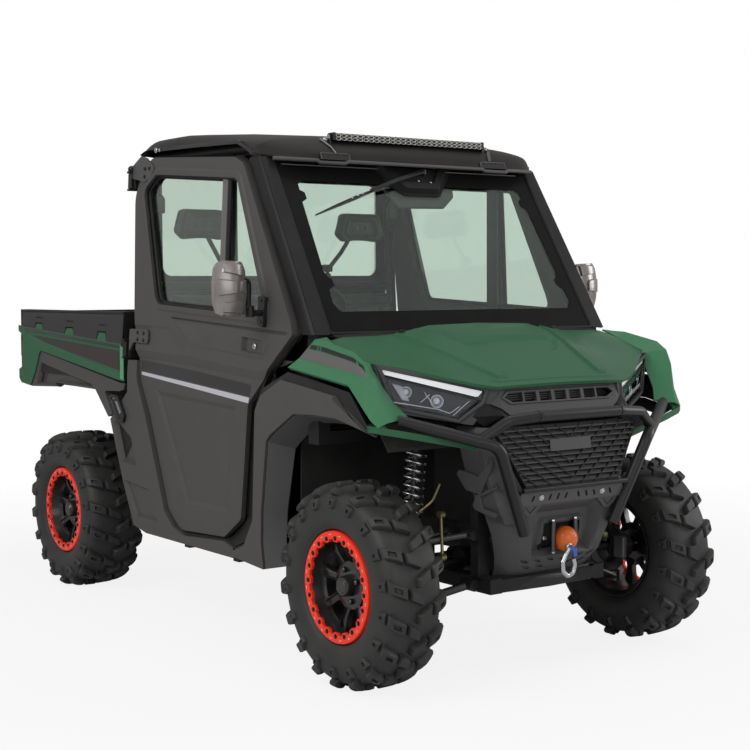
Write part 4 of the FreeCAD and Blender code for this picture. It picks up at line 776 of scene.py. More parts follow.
for axleName in ("front", "rear"):
    for side, sign in sides:
        wheel = "%s_%s" % (axleName, side)
        centre = joints[wheel + "_roll"]["pos_m"]
        low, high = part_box(wheel + "_tyre")
        width = high[0] - low[0]
        body = wheel + "_wheel"
        makePiece(wheel + "TreadTyre", tyreShape(width, centre), "tyreRubber", body, slot="tyre",
                  replaces=[wheel + "_tyre"], smooth=38)
        rimShape, ring, bolts, slitHighlights, nuts, valve = rimShapes(width, centre, sign)
        makePiece(wheel + "SpokeRim", rimShape, "wheelBlack", body, slot="wheel_black",
                  replaces=[wheel + "_rim"], smooth=40)
        # the orange ring's finish glows a little: painted light
        makePiece(wheel + "BeadRing", ring, "ringOrange", body, slot="wheel_black", smooth=40)
        makePiece(wheel + "RingBolts", bolts, "satinBlack", body, slot="wheel_black", smooth=40)
        # silver bars in the ring's slots: painted highlights
        makePiece(wheel + "RingSlits", slitHighlights, "stripeSilver", body, slot="wheel_black")
        makePiece(wheel + "WheelNuts", nuts, "darkSteel", body, slot="wheel_black", smooth=40)
        makePiece(wheel + "Valve", valve, "brassTube", body, slot="wheel_black")
print("wheels ready")


# the body side: half width less an inset that changes with height
sideLevels = np.array([(0.014, 0.25), (0.008, 0.62), (0.0, 0.98), (0.006, 1.1), (0.045, 1.87)])
halfWidth = 0.7
sideBends = [[(-0.5, z), (3.2, z)] for z in (0.62, 0.98, 1.1)]


def sideX(z):
    return halfWidth - np.interp(z, sideLevels[:, 1], sideLevels[:, 0])


def onSide(lift=0.0):
    # the left body side: u runs back from the front axle, v is height, height stands out from the side
    return lambda u, v, height: np.stack([sideX(v) + lift + height, u + frontAxle, v], -1)


# points (station, height) on the left body side, moved out by the lift
def sidePath(points, lift=0.0):
    points = np.asarray(points, float)
    return np.stack([sideX(points[:, 1]) + lift, points[:, 0] + frontAxle, points[:, 1]], -1)


def loftRows(rows, closed=False):
    # a surface between lines of equal count: one row of points for each line
    rows = np.asarray(rows, float)
    return rows.reshape(-1, 3), gridFaces(rows.shape[0], rows.shape[1], False, closed)


def flatRows(rows):
    # rows of (station, height, offset from the side) placed on the left side
    rows = np.asarray(rows, float)
    return np.stack([sideX(rows[..., 1]) + rows[..., 2], rows[..., 0] + frontAxle, rows[..., 1]], -1)


def bothPieces(name, shape, material, bodies="chassis", replaces=(), leftReplaces=(), **options):
    # one piece for each side; %s in a body or a replaced node is where the side's name goes
    for side, sign in sides:
        nodes = list(replaces) + (list(leftReplaces) if sign > 0 else [])
        makePiece(side + name, shape if sign > 0 else mirrored(shape), material, bodies.replace("%s", side),
                  replaces=[node.replace("%s", side) for node in nodes], **options)


def boltHead(place, direction, radius=0.008, height=0.005, washer=True):
    # a six-sided head with a dished washer under it, turned outlines about the bolt's line
    parts = [turned([(0, 0.0), (height, 0.0), (height, radius * 0.72), (height * 0.8, radius * 0.86),
                     (0, radius * 0.86)], 6, (0, 0, 0))]
    if washer:
        parts.append(turned([(0, 0.0), (0.0016, 0.0), (0.0016, radius * 1.1), (0, radius * 1.25)], 20,
                            (0, 0, 0)))
    points, faces = joinShapes(parts)
    return points @ turnTo(direction) + np.array(place, float), faces


# doors

doorLook = {
    "outline": [(1.39, 1.846), (1.525, 1.715), (1.5, 1.236), (1.46, 0.95), (1.39, 0.818), (1.255, 0.455),
                (1.16, 0.378), (0.815, 0.396), (0.69, 0.478), (0.618, 0.905), (0.446, 1.046), (0.302, 1.163),
                (0.316, 1.207), (0.668, 1.775), (0.73, 1.8)],
    "radii": [0.08, 0.12, 0, 0.12, 0.06, 0.05, 0.06, 0.03, 0.03, 0.04, 0.03, 0.012, 0.02, 0.04, 0.03],
    "window": [(1.338, 1.775), (1.438, 1.718), (1.305, 1.262), (0.478, 1.222), (0.5, 1.29), (0.703, 1.722)],
    "windowRadii": [0.05, 0.04, 0.06, 0.03, 0.03, 0.04],
    "wall": 0.042, "shelfDrop": 0.017, "panelDrop": 0.009}
doorLoop = rounded(doorLook["outline"], doorLook["radii"], 5, True)
windowLoop = rounded(doorLook["window"], doorLook["windowRadii"], 6, True)
lowerSkin = [(1.6, 1.08), (1.049, 1.064), (0.523, 1.028), (0.425, 1.045), (0.3, 1.0), (0.6, 0.3), (1.6, 0.3)]
lowerPanel = [(1.34, 0.93), (1.287, 0.915), (0.705, 0.892), (0.788, 0.492), (1.108, 0.49)]
handlePanel = [(1.171, 1.2), (1.01, 1.104), (0.493, 1.07), (0.44, 1.13), (0.5, 1.155)]
hingePanel = [(1.56, 1.178), (1.354, 1.176), (1.19, 1.172), (1.02, 1.086), (1.56, 1.098)]
beltGroove = [(1.185, 1.213), (0.33, 1.171), (0.345, 1.16), (1.172, 1.205)]
lockPocket = [(0.63, 1.15), (0.492, 1.139), (0.487, 1.087), (0.635, 1.096)]
rimLoop = insetLoop(windowLoop[::3], -0.03)

doorSkin = panel(doorLoop, onSide(), holes=[windowLoop], creases=sideBends, reliefs=[
    (lowerSkin, -doorLook["shelfDrop"], 0.034), (lowerPanel, -doorLook["panelDrop"], 0.016),
    (handlePanel, 0.0045, 0.01), (hingePanel, -0.0035, 0.008), (beltGroove, -0.007, 0.003),
    (lockPocket, -0.016, 0.007), (rimLoop, 0.006, 0.009)])
bothPieces("DoorSkin", facing(doorSkin, (1, 0, 0)), "mouldedGrey", "%s_door", wall=doorLook["wall"],
           smooth=24, slot="moulded_grey", replaces=["%s_door"])

gasket = circle(0.0075, 10)
sealPath = sidePath(windowLoop, -0.004)
bothPieces("WindowSeal", sweep(sealPath, gasket, True, up=(1, 0, 0)), "sealRubber", "%s_door", smooth=60)
innerSeal = sweep(sidePath(insetLoop(windowLoop, 0.006), -0.018), circle(0.009, 8), True, up=(1, 0, 0))
bothPieces("WindowChannel", innerSeal, "sealRubber", "%s_door", smooth=60)
postSection = np.array([(-0.02, -0.004), (-0.018, 0.003), (-0.01, 0.006), (0.01, 0.006), (0.018, 0.003),
                        (0.02, -0.004), (0.02, -0.016), (-0.02, -0.016)])
postLine = sidePath([(0.806, 1.236), (0.804, 1.5), (0.802, 1.742)], -0.008)
bothPieces("WindowPost", sweep(postLine, postSection, up=(1, 0, 0)), "postGrey", "%s_door", bevel=0.0012)
channelLine = sidePath([(0.776, 1.234), (0.774, 1.5), (0.772, 1.738)], -0.013)
innerPost = joinShapes([block((sideX(1.5) - 0.052, frontAxle + 0.772, 1.225),
                              (sideX(1.5) - 0.044, frontAxle + 0.838, 1.775))])
bothPieces("PostInner", innerPost, "bandGrey", "%s_door", bevel=0.002)
bothPieces("PostChannel", sweep(channelLine, circle(0.01, 10), up=(1, 0, 0)), "sealRubber", "%s_door",
           smooth=60)

# the rubber that fills the gap round the door
edgeSeal = sweep(sidePath(insetLoop(doorLoop, -0.001), -0.034), circle(0.0055, 8), True, up=(1, 0, 0))
bothPieces("DoorSeal", edgeSeal, "sealRubber", "%s_door", smooth=60)

# the stripe lies on the dropped skin: one silver band that tapers, over one dark band that is painted shadow
# under the shelf
onSkin = onSide(-doorLook["shelfDrop"] + 0.0006)
band = panel([(1.448, 1.035), (1.0, 1.008), (0.59, 0.976), (0.604, 0.934), (1.0, 0.964), (1.448, 0.992)],
             onSkin, creases=sideBends)
bothPieces("DarkBand", facing(band, (1, 0, 0)), "bandGrey", "%s_door")
stripe = panel([(1.448, 0.988), (1.0, 0.958), (0.606, 0.93), (0.6125, 0.909), (1.0, 0.94), (1.448, 0.975)],
               onSide(-doorLook["shelfDrop"] + 0.001), creases=sideBends)
bothPieces("SilverStripe", facing(stripe, (1, 0, 0)), "stripeSilver", "%s_door")

# pull handle cup with its key
flap = panel(rounded([(0.6, 1.146), (0.496, 1.137), (0.492, 1.09), (0.603, 1.097)], 0.006, 4, True),
             onSide(-0.004), creases=sideBends)
bothPieces("HandleFlap", facing(flap, (1, 0, 0)), "mouldedDark", "%s_door", wall=0.006, bevel=0.0015)
lock = joinShapes([turned([(0, 0), (0.006, 0), (0.006, 0.009), (0.0045, 0.011), (0, 0.0115)], 24,
                          sidePath([(0.548, 1.116)], -0.003)[0])])
bothPieces("DoorLock", lock, "brightSteel", "%s_door", smooth=30)

# hinges: lower plate with four bolts, upper plate with three and a ball on its pin
lowHinge, highHinge = axlePoint((0.702, 1.556, 1.078)), axlePoint((0.666, 1.556, 1.762))
lean = (highHinge - lowHinge) / np.linalg.norm(highHinge - lowHinge)
barrels = joinShapes([rod(lowHinge - lean * 0.03, lowHinge + lean * 0.03, 0.0118, 24),
                      rod(highHinge - lean * 0.03, highHinge + lean * 0.03, 0.0118, 24)])
bothPieces("HingeBarrels", barrels, "satinBlack", "%s_door", bevel=0.001, smooth=40)
plateLow = panel(rounded([(1.526, 1.112), (1.524, 1.16), (1.372, 1.16), (1.362, 1.148), (1.362, 1.116),
                          (1.372, 1.104), (1.49, 1.106), (1.526, 1.066)],
                         [0, 0.01, 0.012, 0.006, 0.006, 0.012, 0.01, 0.004], 4, True), onSide(0.0065),
                 creases=sideBends)
bothPieces("LowHingePlate", facing(plateLow, (1, 0, 0)), "plateGrey", "%s_door", wall=0.006, bevel=0.0012)
plateHigh = panel(rounded([(1.548, 1.822), (1.47, 1.858), (1.425, 1.846), (1.366, 1.812), (1.362, 1.796),
                           (1.392, 1.766), (1.44, 1.752), (1.548, 1.772)],
                          [0, 0.03, 0.02, 0.012, 0.008, 0.012, 0.014, 0], 4, True), onSide(0.0045),
                  creases=sideBends)
bothPieces("HighHingePlate", facing(plateHigh, (1, 0, 0)), "plateGrey", "%s_door", wall=0.006, bevel=0.0012)
hingeBolts = [boltHead(sidePath([at], 0.0065)[0], (1, 0, 0), 0.0075) for at in (
    (1.452, 1.146), (1.4, 1.144), (1.452, 1.118), (1.4, 1.116))]
hingeBolts += [boltHead(sidePath([at], 0.0045)[0], (1, 0, 0), 0.0075) for at in (
    (1.436, 1.804), (1.398, 1.803), (1.438, 1.772))]
bothPieces("HingeBolts", joinShapes(hingeBolts), "satinBlack", "%s_door", smooth=40)
pinTop = highHinge + lean * 0.04
ball = [(x, math.sqrt(max(0.0, 0.0145 ** 2 - x * x))) for x in np.linspace(-0.0145, 0.0145, 13)]
ballPoints, ballFaces = turned(np.array(ball) + (0, 0.00001), 24, (0, 0, 0))
hardware = joinShapes([(ballPoints + pinTop + lean * 0.008, ballFaces),
                       rod(pinTop - lean * 0.01, pinTop + lean * 0.004, 0.008, 18)])
bothPieces("HingeBall", hardware, "satinBlack", "chassis", smooth=60)
print("doors ready")

# flares, sills and jambs

flareTop = [(-0.15, 0.874, -0.004), (-0.048, 0.986, -0.003), (0.12, 1.01, -0.003), (0.325, 1.036, -0.003),
            (0.488, 0.972, -0.004), (0.516, 0.91, -0.006), (0.565, 0.494, -0.006), (0.644, 0.398, -0.006),
            (0.722, 0.37, -0.006)]
flareShoulder = [(-0.11, 0.88, 0.008), (0.008, 0.972, 0.011), (0.128, 0.986, 0.012), (0.33, 1.009, 0.012),
                 (0.466, 0.948, 0.009), (0.511, 0.896, 0.003), (0.556, 0.494, 0.0), (0.628, 0.39, -0.001),
                 (0.722, 0.356, -0.002)]
flareCrease = [(-0.148, 0.872, 0.002), (0.006, 0.964, 0.012), (0.13, 0.95, 0.014), (0.3, 0.932, 0.014),
               (0.455, 0.912, 0.013), (0.509, 0.88, 0.008), (0.545, 0.494, 0.004), (0.606, 0.38, 0.003),
               (0.722, 0.34, 0.0)]
flareArch = [(-0.146, 0.869, 0.0), (0.0, 0.9, 0.01), (0.13, 0.902, 0.012), (0.254, 0.897, 0.012),
             (0.405, 0.815, 0.012), (0.437, 0.79, 0.01), (0.489, 0.539, 0.006), (0.5, 0.42, 0.003),
             (0.492, 0.326, 0.0)]
flareInner = [(-0.138, 0.85, -0.04), (0.004, 0.876, -0.06), (0.122, 0.876, -0.07), (0.236, 0.868, -0.072),
              (0.366, 0.79, -0.072), (0.398, 0.764, -0.07), (0.444, 0.536, -0.06), (0.438, 0.424, -0.05),
              (0.4, 0.346, -0.045)]
flareUnder = [(-0.138, 0.852, -0.046), (0.004, 0.884, -0.068), (0.122, 0.884, -0.078), (0.24, 0.876, -0.08),
              (0.38, 0.796, -0.08), (0.41, 0.77, -0.078), (0.452, 0.536, -0.068), (0.446, 0.424, -0.058),
              (0.41, 0.35, -0.053)]
flareShelf = loftRows(flatRows([flareTop, flareShoulder]))
bothPieces("FlareShelf", facing(flareShelf, (1, 0, 0)), "mouldedBlack", wall=0.01, bevel=0.0015, smooth=25)
flare = loftRows(flatRows([flareShoulder, flareCrease, flareArch]))
bothPieces("FlareFace", facing(flare, (1, 0, 0)), "mouldedGrey", wall=0.012, bevel=0.0025, smooth=25,
           slot="moulded_grey", leftReplaces=["fender_flares"])
archLip = loftRows(flatRows([flareArch, flareInner, flareUnder]))
bothPieces("FlareLip", facing(archLip, (1, 0, -0.5)), "mouldedDark", wall=0.006, bevel=0.002, smooth=25)

sillLoop = [(0.724, 0.33), (0.724, 0.367), (0.8, 0.384), (1.11, 0.362), (1.2, 0.388), (1.265, 0.44),
            (1.41, 0.818), (1.47, 0.95), (1.47, 1.032), (1.55, 1.032), (1.56, 0.9), (1.73, 0.775),
            (1.63, 0.527), (1.54, 0.35), (1.43, 0.33)]
sill = panel(sillLoop, onSide(-0.003), creases=sideBends, reliefs=[
    ([(1.702, 0.772), (1.642, 0.602), (1.5, 0.6), (1.54, 0.712), (1.64, 0.764)], -0.022, 0.012),
    ([(1.616, 0.53), (1.395, 0.512), (1.33, 0.392), (1.52, 0.39)], -0.012, 0.007)])
bothPieces("SillSkin", facing(sill, (1, 0, 0)), "mouldedGrey", wall=0.036, smooth=25, slot="moulded_grey",
           leftReplaces=["side_sills"])
wedge = panel([(1.69, 0.764), (1.64, 0.612), (1.556, 0.7), (1.57, 0.742), (1.64, 0.76)], onSide(-0.0225),
              creases=sideBends)
bothPieces("SillWedge", facing(wedge, (1, 0, 0)), "mouldedBlack")
trim = sweep(sidePath([(0.7225, 0.372), (0.7225, 0.334)], -0.001), circle(0.0012, 6), up=(1, 0, 0))
bothPieces("SillSeam", trim, "sealRubber")

# the jamb is a wall that falls from the flare's edge to behind the door's edge
jambOuter = [(0.3, 1.14, -0.012), (0.402, 1.086, -0.012), (0.47, 1.016, -0.012), (0.51, 0.962, -0.013),
             (0.524, 0.905, -0.014), (0.572, 0.494, -0.014), (0.65, 0.404, -0.014), (0.728, 0.373, -0.014),
             (0.806, 0.384, -0.014), (1.106, 0.364, -0.014), (1.196, 0.392, -0.014), (1.262, 0.448, -0.014)]
jambInner = [(0.318, 1.176, -0.048), (0.44, 1.092, -0.05), (0.56, 1.0, -0.05), (0.612, 0.95, -0.05),
             (0.632, 0.905, -0.05), (0.704, 0.49, -0.05), (0.768, 0.44, -0.05), (0.822, 0.412, -0.05),
             (0.86, 0.408, -0.05), (1.12, 0.394, -0.05), (1.19, 0.43, -0.05), (1.23, 0.48, -0.05)]
jamb = loftRows(flatRows([jambOuter, jambInner]))
bothPieces("DoorJamb", facing(jamb, (1, 0, 0)), "sealRubber", wall=0.003, smooth=50)
print("side panels ready")


# hood

def patch(tables, stations, u, v):
    # height over a sheet: across, each station has its own line of (width, value); between stations the
    # lines blend
    lines = np.stack([np.interp(u, [width for width, value in table], [value for width, value in table])
                      for table in tables])
    place = np.interp(v, stations, np.arange(len(stations)))
    low = np.clip(place.astype(int), 0, len(stations) - 2)
    share, column = place - low, np.arange(len(u))
    return lines[low, column] * (1 - share) + lines[low + 1, column] * share


def netLines(low, high, step):
    # straight creases both ways over a rectangle, so that a bent sheet is cut finely enough to follow its
    # bend
    across = np.arange(low[0], high[0] + 1e-9, step)
    along = np.arange(low[1], high[1] + 1e-9, step)
    return [[(x, low[1]), (x, high[1])] for x in across] + [[(low[0], y), (high[0], y)] for y in along]


def mirrorLoop(half):
    # a loop given on the left half, from the middle of its rear to the middle of its front, completed on
    # the right
    half = [tuple(point) for point in half]
    return half + [(-x, y) for x, y in half[::-1] if abs(x) > 1e-6]


hoodLook = {
    "stations": [-0.305, -0.06, 0.07, 0.155],
    "heights": [[(0, 1.003), (0.235, 1.0), (0.325, 0.996), (0.43, 1.0), (0.672, 1.01)],
                [(0, 1.128), (0.235, 1.122), (0.325, 1.1), (0.43, 1.085), (0.56, 1.083), (0.672, 1.072)],
                [(0, 1.178), (0.235, 1.173), (0.325, 1.148), (0.43, 1.134), (0.59, 1.136), (0.672, 1.117)],
                [(0, 1.196), (0.235, 1.191), (0.325, 1.168), (0.43, 1.16), (0.6, 1.158), (0.672, 1.138)]],
    "edge": [(0, 0.148), (0.637, 0.148), (0.646, 0.09), (0.637, -0.045), (0.619, -0.064), (0.6, -0.084),
             (0.426, -0.223), (0.354, -0.273), (0.282, -0.303), (0, -0.303)],
    "ridge": [(0.385, 0.14), (0.29, -0.18), (0.246, -0.262), (0.208, -0.258), (0.225, -0.09), (0.262, 0.097),
              (0.284, 0.14)],
    "ridgeHeight": 0.009, "pocketDepth": 0.012, "wall": 0.011}


def onHood(lift=0.0):
    # plan (x, y) to the hood's surface: the blended table plus what stands on it
    return lambda u, v, height: np.stack([u, v + frontAxle,
            patch(hoodLook["heights"], hoodLook["stations"], np.abs(u), v) + height + lift], -1)


ridge = np.array(hoodLook["ridge"])
pocket = [(-0.205, 0.012), (0.205, 0.012), (0.238, -0.025), (0.15, -0.11), (-0.15, -0.11), (-0.238, -0.025)]
hoodSkin = panel(mirrorLoop(hoodLook["edge"]), onHood(),
                 creases=netLines((-0.68, -0.31), (0.68, 0.15), 0.046),
                 reliefs=[(ridge, hoodLook["ridgeHeight"], 0.007),
                          (ridge[::-1] * (-1, 1), hoodLook["ridgeHeight"], 0.007),
                          (pocket, -hoodLook["pocketDepth"], 0.02),
                          ([(-0.255, -0.282), (-0.3, -0.262), (0.3, -0.262), (0.255, -0.282)], 0.003, 0.004)])
makePiece("HoodSkin", facing(hoodSkin, (0, 0, 1)), "paintGreen", "hood", wall=hoodLook["wall"], smooth=16,
          slot="body_green", replaces=["hood"])
hoodEdge = np.array(mirrorLoop(hoodLook["edge"]))
hoodInner = panel(insetLoop(hoodEdge, 0.035), onHood(-0.016),
                  creases=netLines((-0.68, -0.31), (0.68, 0.15), 0.092))
makePiece("HoodLiner", facing(hoodInner, (0, 0, -1)), "linerBlack", "hood", wall=0.004, smooth=30)
cowl = loftRows([[(-0.6, 0.153, 1.156), (-0.43, 0.153, 1.158), (0.43, 0.153, 1.158), (0.6, 0.153, 1.156)],
                 [(-0.604, 0.19, 1.164), (-0.43, 0.19, 1.168), (0.43, 0.19, 1.168), (0.604, 0.19, 1.164)]])
makePiece("CowlStrip", (fromFront(cowl[0]), cowl[1]), "mouldedBlack", "chassis", wall=0.006)
clip = joinShapes([block((-0.017, -0.01, 0), (0.017, 0.01, 0.006)),
                   block((-0.01, -0.016, 0.002), (0.01, -0.006, 0.011))])
clips = joinShapes([(clip[0] + axlePoint((sign * 0.35, 0.14, 1.166)), clip[1]) for sign in (-1, 1)])
makePiece("HoodClips", clips, "satinBlack", "hood", bevel=0.0015)
print("hood ready")

# front fenders

fenderInner = [(0.64, 0.165, 1.158), (0.65, 0.09, 1.128), (0.64, -0.045, 1.083), (0.622, -0.062, 1.076),
               (0.606, -0.105, 1.005), (0.592, -0.15, 0.95), (0.56, -0.185, 0.906)]
fenderRidge = [(0.692, 0.16, 1.151), (0.694, 0.098, 1.149), (0.694, -0.07, 1.117), (0.69, -0.122, 1.087),
               (0.684, -0.15, 1.04), (0.662, -0.18, 0.955), (0.655, -0.205, 0.896)]
fenderMiddle = [(0.6915, 0.259, 1.085), (0.6925, 0.14, 1.0715), (0.6945, -0.06, 1.0485),
                (0.695, -0.112, 1.0425), (0.688, -0.149, 1.03), (0.672, -0.178, 0.95), (0.662, -0.203, 0.893)]
fenderLow = [(0.7, 0.318, 1.052), (0.7035, 0.15, 1.033), (0.7045, -0.049, 1.01), (0.7035, -0.085, 0.978),
             (0.702, -0.13, 0.936), (0.7, -0.167, 0.903), (0.69, -0.195, 0.88)]
fenderUnder = [(0.69, 0.314, 1.043), (0.694, 0.15, 1.024), (0.695, -0.05, 1.001), (0.693, -0.087, 0.968),
               (0.692, -0.132, 0.926), (0.69, -0.167, 0.893), (0.68, -0.193, 0.872)]
fenderTuck = [(0.66, 0.312, 1.04), (0.66, 0.15, 1.022), (0.66, -0.052, 0.999), (0.66, -0.088, 0.964),
              (0.66, -0.132, 0.922), (0.658, -0.165, 0.889), (0.65, -0.19, 0.87)]
fender = loftRows(fromFront([fenderInner, fenderRidge, fenderMiddle, fenderLow, fenderUnder, fenderTuck]))
# the fenders take the lighter copy of the green paint: painted light
bothPieces("FenderSkin", facing(fender, (1, 0, 0.5)), "paintSide", wall=0.007, bevel=0.0016, smooth=22,
           slot="body_green", leftReplaces=["front_fenders"])


def onFender(lift):
    # u counts along the fender's lines, v runs from its ridge (0) to its middle line (1)
    top, low = fromFront(fenderRidge), fromFront(fenderMiddle)
    count = np.arange(len(top))

    def place(u, v, height):
        first = np.stack([np.interp(u, count, top[:, axis]) for axis in range(3)], -1)
        last = np.stack([np.interp(u, count, low[:, axis]) for axis in range(3)], -1)
        return first + (last - first) * v[:, None] + np.array([lift, 0, lift * 0.15])
    return place


marks = [[(index, 0), (index, 1)] for index in (1, 2, 3)]
decal = panel([(0.05, 0.5), (3.05, 0.5), (3.6, 0.56), (3.95, 0.97), (0.04, 0.985)], onFender(0.0012),
              creases=marks)
bothPieces("FenderBand", facing(decal, (1, 0, 0)), "postGrey")
for index, (first, last) in enumerate(((0.1, 0.62), (0.72, 0.82), (0.92, 3.0))):
    strip = panel([(first, 0.27), (last, 0.27), (last + (0.04 if index < 2 else 0.45), 0.46),
                   (first + 0.04, 0.46)], onFender(0.0012), creases=marks)
    bothPieces("FenderStrip%d" % (index + 1), facing(strip, (1, 0, 0)), "stripeBlack")
lip = sweep(fromFront([(0.692, -0.12, 0.874), (0.69, -0.188, 0.872), (0.662, -0.206, 0.866),
                       (0.57, -0.232, 0.848), (0.345, -0.27, 0.802)]),
            [(-0.004, -0.011), (0.004, -0.011), (0.004, 0.011), (-0.004, 0.011)])
bothPieces("FenderLip", lip, "paintGreen", bevel=0.002, smooth=40)
print("fenders ready")

# headlights

lampLook = {"outer": [(0.366, 1.079), (-0.035, 0.993), (-0.052, 0.984), (0.036, 0.872), (0.284, 0.915),
                      (0.302, 0.93)],
            "inner": [(0.337, 1.061), (-0.004, 0.986), (0.009, 0.95), (0.085, 0.894), (0.292, 0.94),
                      (0.323, 1.03)], "bar": [(0.333, 1.057), (0.003, 0.983), (0.02, 0.964), (0.325, 1.041)],
            "projectors": [(0.254, 0.983, 0.017), (0.153, 0.952, 0.02)], "depth": 0.034}
lampOut = np.array([0.503, -0.865, 0.0])


def onLamp(lift=0.0):
    # u runs outwards along the lamp, v is height, height stands out of its face
    return lambda u, v, height: np.stack([0.312 + 0.865 * u + 0.503 * (lift + height),
                                          frontAxle - 0.262 + 0.503 * u - 0.865 * (lift + height), v], -1)


# points (along the lamp, height) on its face, moved out by the lift
def lampPath(points, lift):
    points = np.array(points, float)
    return onLamp(lift)(points[:, 0], points[:, 1], np.zeros(len(points)))


outerLoop = rounded(lampLook["outer"], 0.008, 4, True)
innerLoop = rounded(lampLook["inner"], 0.006, 4, True)
bezel = panel(outerLoop, onLamp(), holes=[innerLoop],
              reliefs=[(insetLoop(np.array(lampLook["inner"]), -0.016), 0.006, 0.006)])
bothPieces("LampBezel", facing(bezel, lampOut), "mouldedDark", wall=0.016, smooth=30,
           leftReplaces=["headlights"])
bowl = joinShapes([loftRows([lampPath(innerLoop, 0.004),
                             lampPath(insetLoop(innerLoop, 0.006), -lampLook["depth"])], True),
                   panel(insetLoop(innerLoop, 0.006), onLamp(-lampLook["depth"]))])
bothPieces("LampBowl", bowl, "bezelBlack", smooth=30)
back = panel(insetLoop(np.array(lampLook["outer"]), 0.004), onLamp(-lampLook["depth"] - 0.004))
bothPieces("LampHousing", facing(back, lampOut), "linerBlack", wall=0.02)
lightBar = panel(rounded(lampLook["bar"], 0.002, 3, True), onLamp(-0.004), reliefs=[
    (insetLoop(np.array(lampLook["bar"]), 0.003), 0.002, 0.003)])
bothPieces("LampLightBar", facing(lightBar, lampOut), "ledWhite", wall=0.006)
divider = sweep(lampPath([(0.326, 1.031), (0.012, 0.956)], -0.008),
                [(-0.004, -0.004), (0.004, -0.004), (0.004, 0.006), (-0.004, 0.006)], up=lampOut)
bothPieces("LampDivider", divider, "bezelBlack", bevel=0.001)
lampTurn = turnTo(lampOut)
rings, domes = [], []
for u, v, radius in lampLook["projectors"]:
    ring = turned([(-0.028, radius * 0.55), (-0.008, radius * 0.94), (-0.005, radius), (-0.005, radius * 1.1),
                   (-0.01, radius * 1.12), (-0.03, radius * 0.62)], 32, (0, 0, 0))
    dome = turned([(-0.022, 0.0001), (-0.022, radius * 0.62), (-0.012, radius * 0.52), (-0.007, radius * 0.3),
                   (-0.0055, 0.0001)], 28, (0, 0, 0))
    spot = lampPath([(u, v)], 0.0)[0]
    rings.append((ring[0] @ lampTurn + spot, ring[1]))
    domes.append((dome[0] @ lampTurn + spot, dome[1]))
bothPieces("LampRings", joinShapes(rings), "reflector", smooth=40)
bothPieces("LampDomes", joinShapes(domes), "ledChips", smooth=60)
brightLines = [[(0.148, 0.926), (0.11, 0.912), (0.077, 0.935)], [(0.102, 0.903), (0.047, 0.951)],
               [(0.194, 0.982), (0.164, 0.94)], [(0.205, 0.95), (0.176, 0.975)],
               [(0.3, 0.952), (0.148, 0.926)]]
brightLines += [[(0.297 - step * 0.006, 1.011 - step * 0.0015), (0.265 - step * 0.005, 0.958 - step * 0.001)]
                for step in range(5)]
thin = [(-0.0012, -0.002), (0.0012, -0.002), (0.0012, 0.002), (-0.0012, 0.002)]
bothPieces("LampLines", joinShapes([sweep(lampPath(line, -0.009), thin, up=lampOut) for line in brightLines]),
           "reflector")
cover = panel([(0.322, 1.029), (0.016, 0.953), (0.088, 0.897), (0.29, 0.942)], onLamp(0.0))
bothPieces("LampCover", facing(cover, lampOut), "lensClear", wall=0.0015)
print("headlights ready")

# grille and mesh

grilleLook = {"windows": [-0.134, -0.067, 0.0, 0.067, 0.134], "half": 0.026, "low": 0.945, "high": 0.976}


def onFascia(lift=0.0):
    # the panel under the hood's lip: it leans back as it rises, and its ends fold back
    return lambda u, v, height: np.stack([u, frontAxle - 0.286 + (v - 0.96) * 0.25 - lift - height
                                          + 0.55 * np.clip(np.abs(u) - 0.262, 0, 1), v], -1)


windows = [[(x - grilleLook["half"], grilleLook["low"]), (x + grilleLook["half"], grilleLook["low"]),
            (x + grilleLook["half"], grilleLook["high"]), (x - grilleLook["half"], grilleLook["high"])]
           for x in grilleLook["windows"]]
windows += [[(sign * 0.168, grilleLook["low"]), (sign * 0.214, grilleLook["low"]), (sign * 0.246, 0.961),
             (sign * 0.226, grilleLook["high"]), (sign * 0.168, grilleLook["high"])] for sign in (-1, 1)]
surround = mirrorLoop([(0, 0.984), (0.234, 0.984), (0.264, 0.961), (0.224, 0.936), (0, 0.936)])
fasciaEdge = mirrorLoop([(0, 0.995), (0.288, 0.992), (0.345, 0.984), (0.322, 0.955), (0.262, 0.926),
                         (0.225, 0.9), (0, 0.9)])
fascia = panel(fasciaEdge, onFascia(), holes=windows,
               creases=[[(sign * 0.262, 0.88), (sign * 0.262, 1.0)] for sign in (-1, 1)],
               reliefs=[(surround, 0.0045, 0.004)])
makePiece("GrilleFascia", facing(fascia, (0, -1, 0)), "mouldedDark", "chassis", wall=0.012, smooth=28,
          replaces=["upper_grille"])
slats = [slab(fromFront([(x - 0.03, -0.281 + (z - 0.96) * 0.25, z - 0.0012),
                         (x + 0.03, -0.281 + (z - 0.96) * 0.25, z - 0.0012), (x + 0.03, -0.262, z + 0.002),
                         (x - 0.03, -0.262, z + 0.002)]), (0, 0, 1), 0.0022)
         for x in (-0.201, -0.134, -0.067, 0.0, 0.067) for z in (0.9515, 0.9585, 0.9655, 0.9725)]
makePiece("GrilleSlats", joinShapes(slats), "mouldedDark", "chassis")
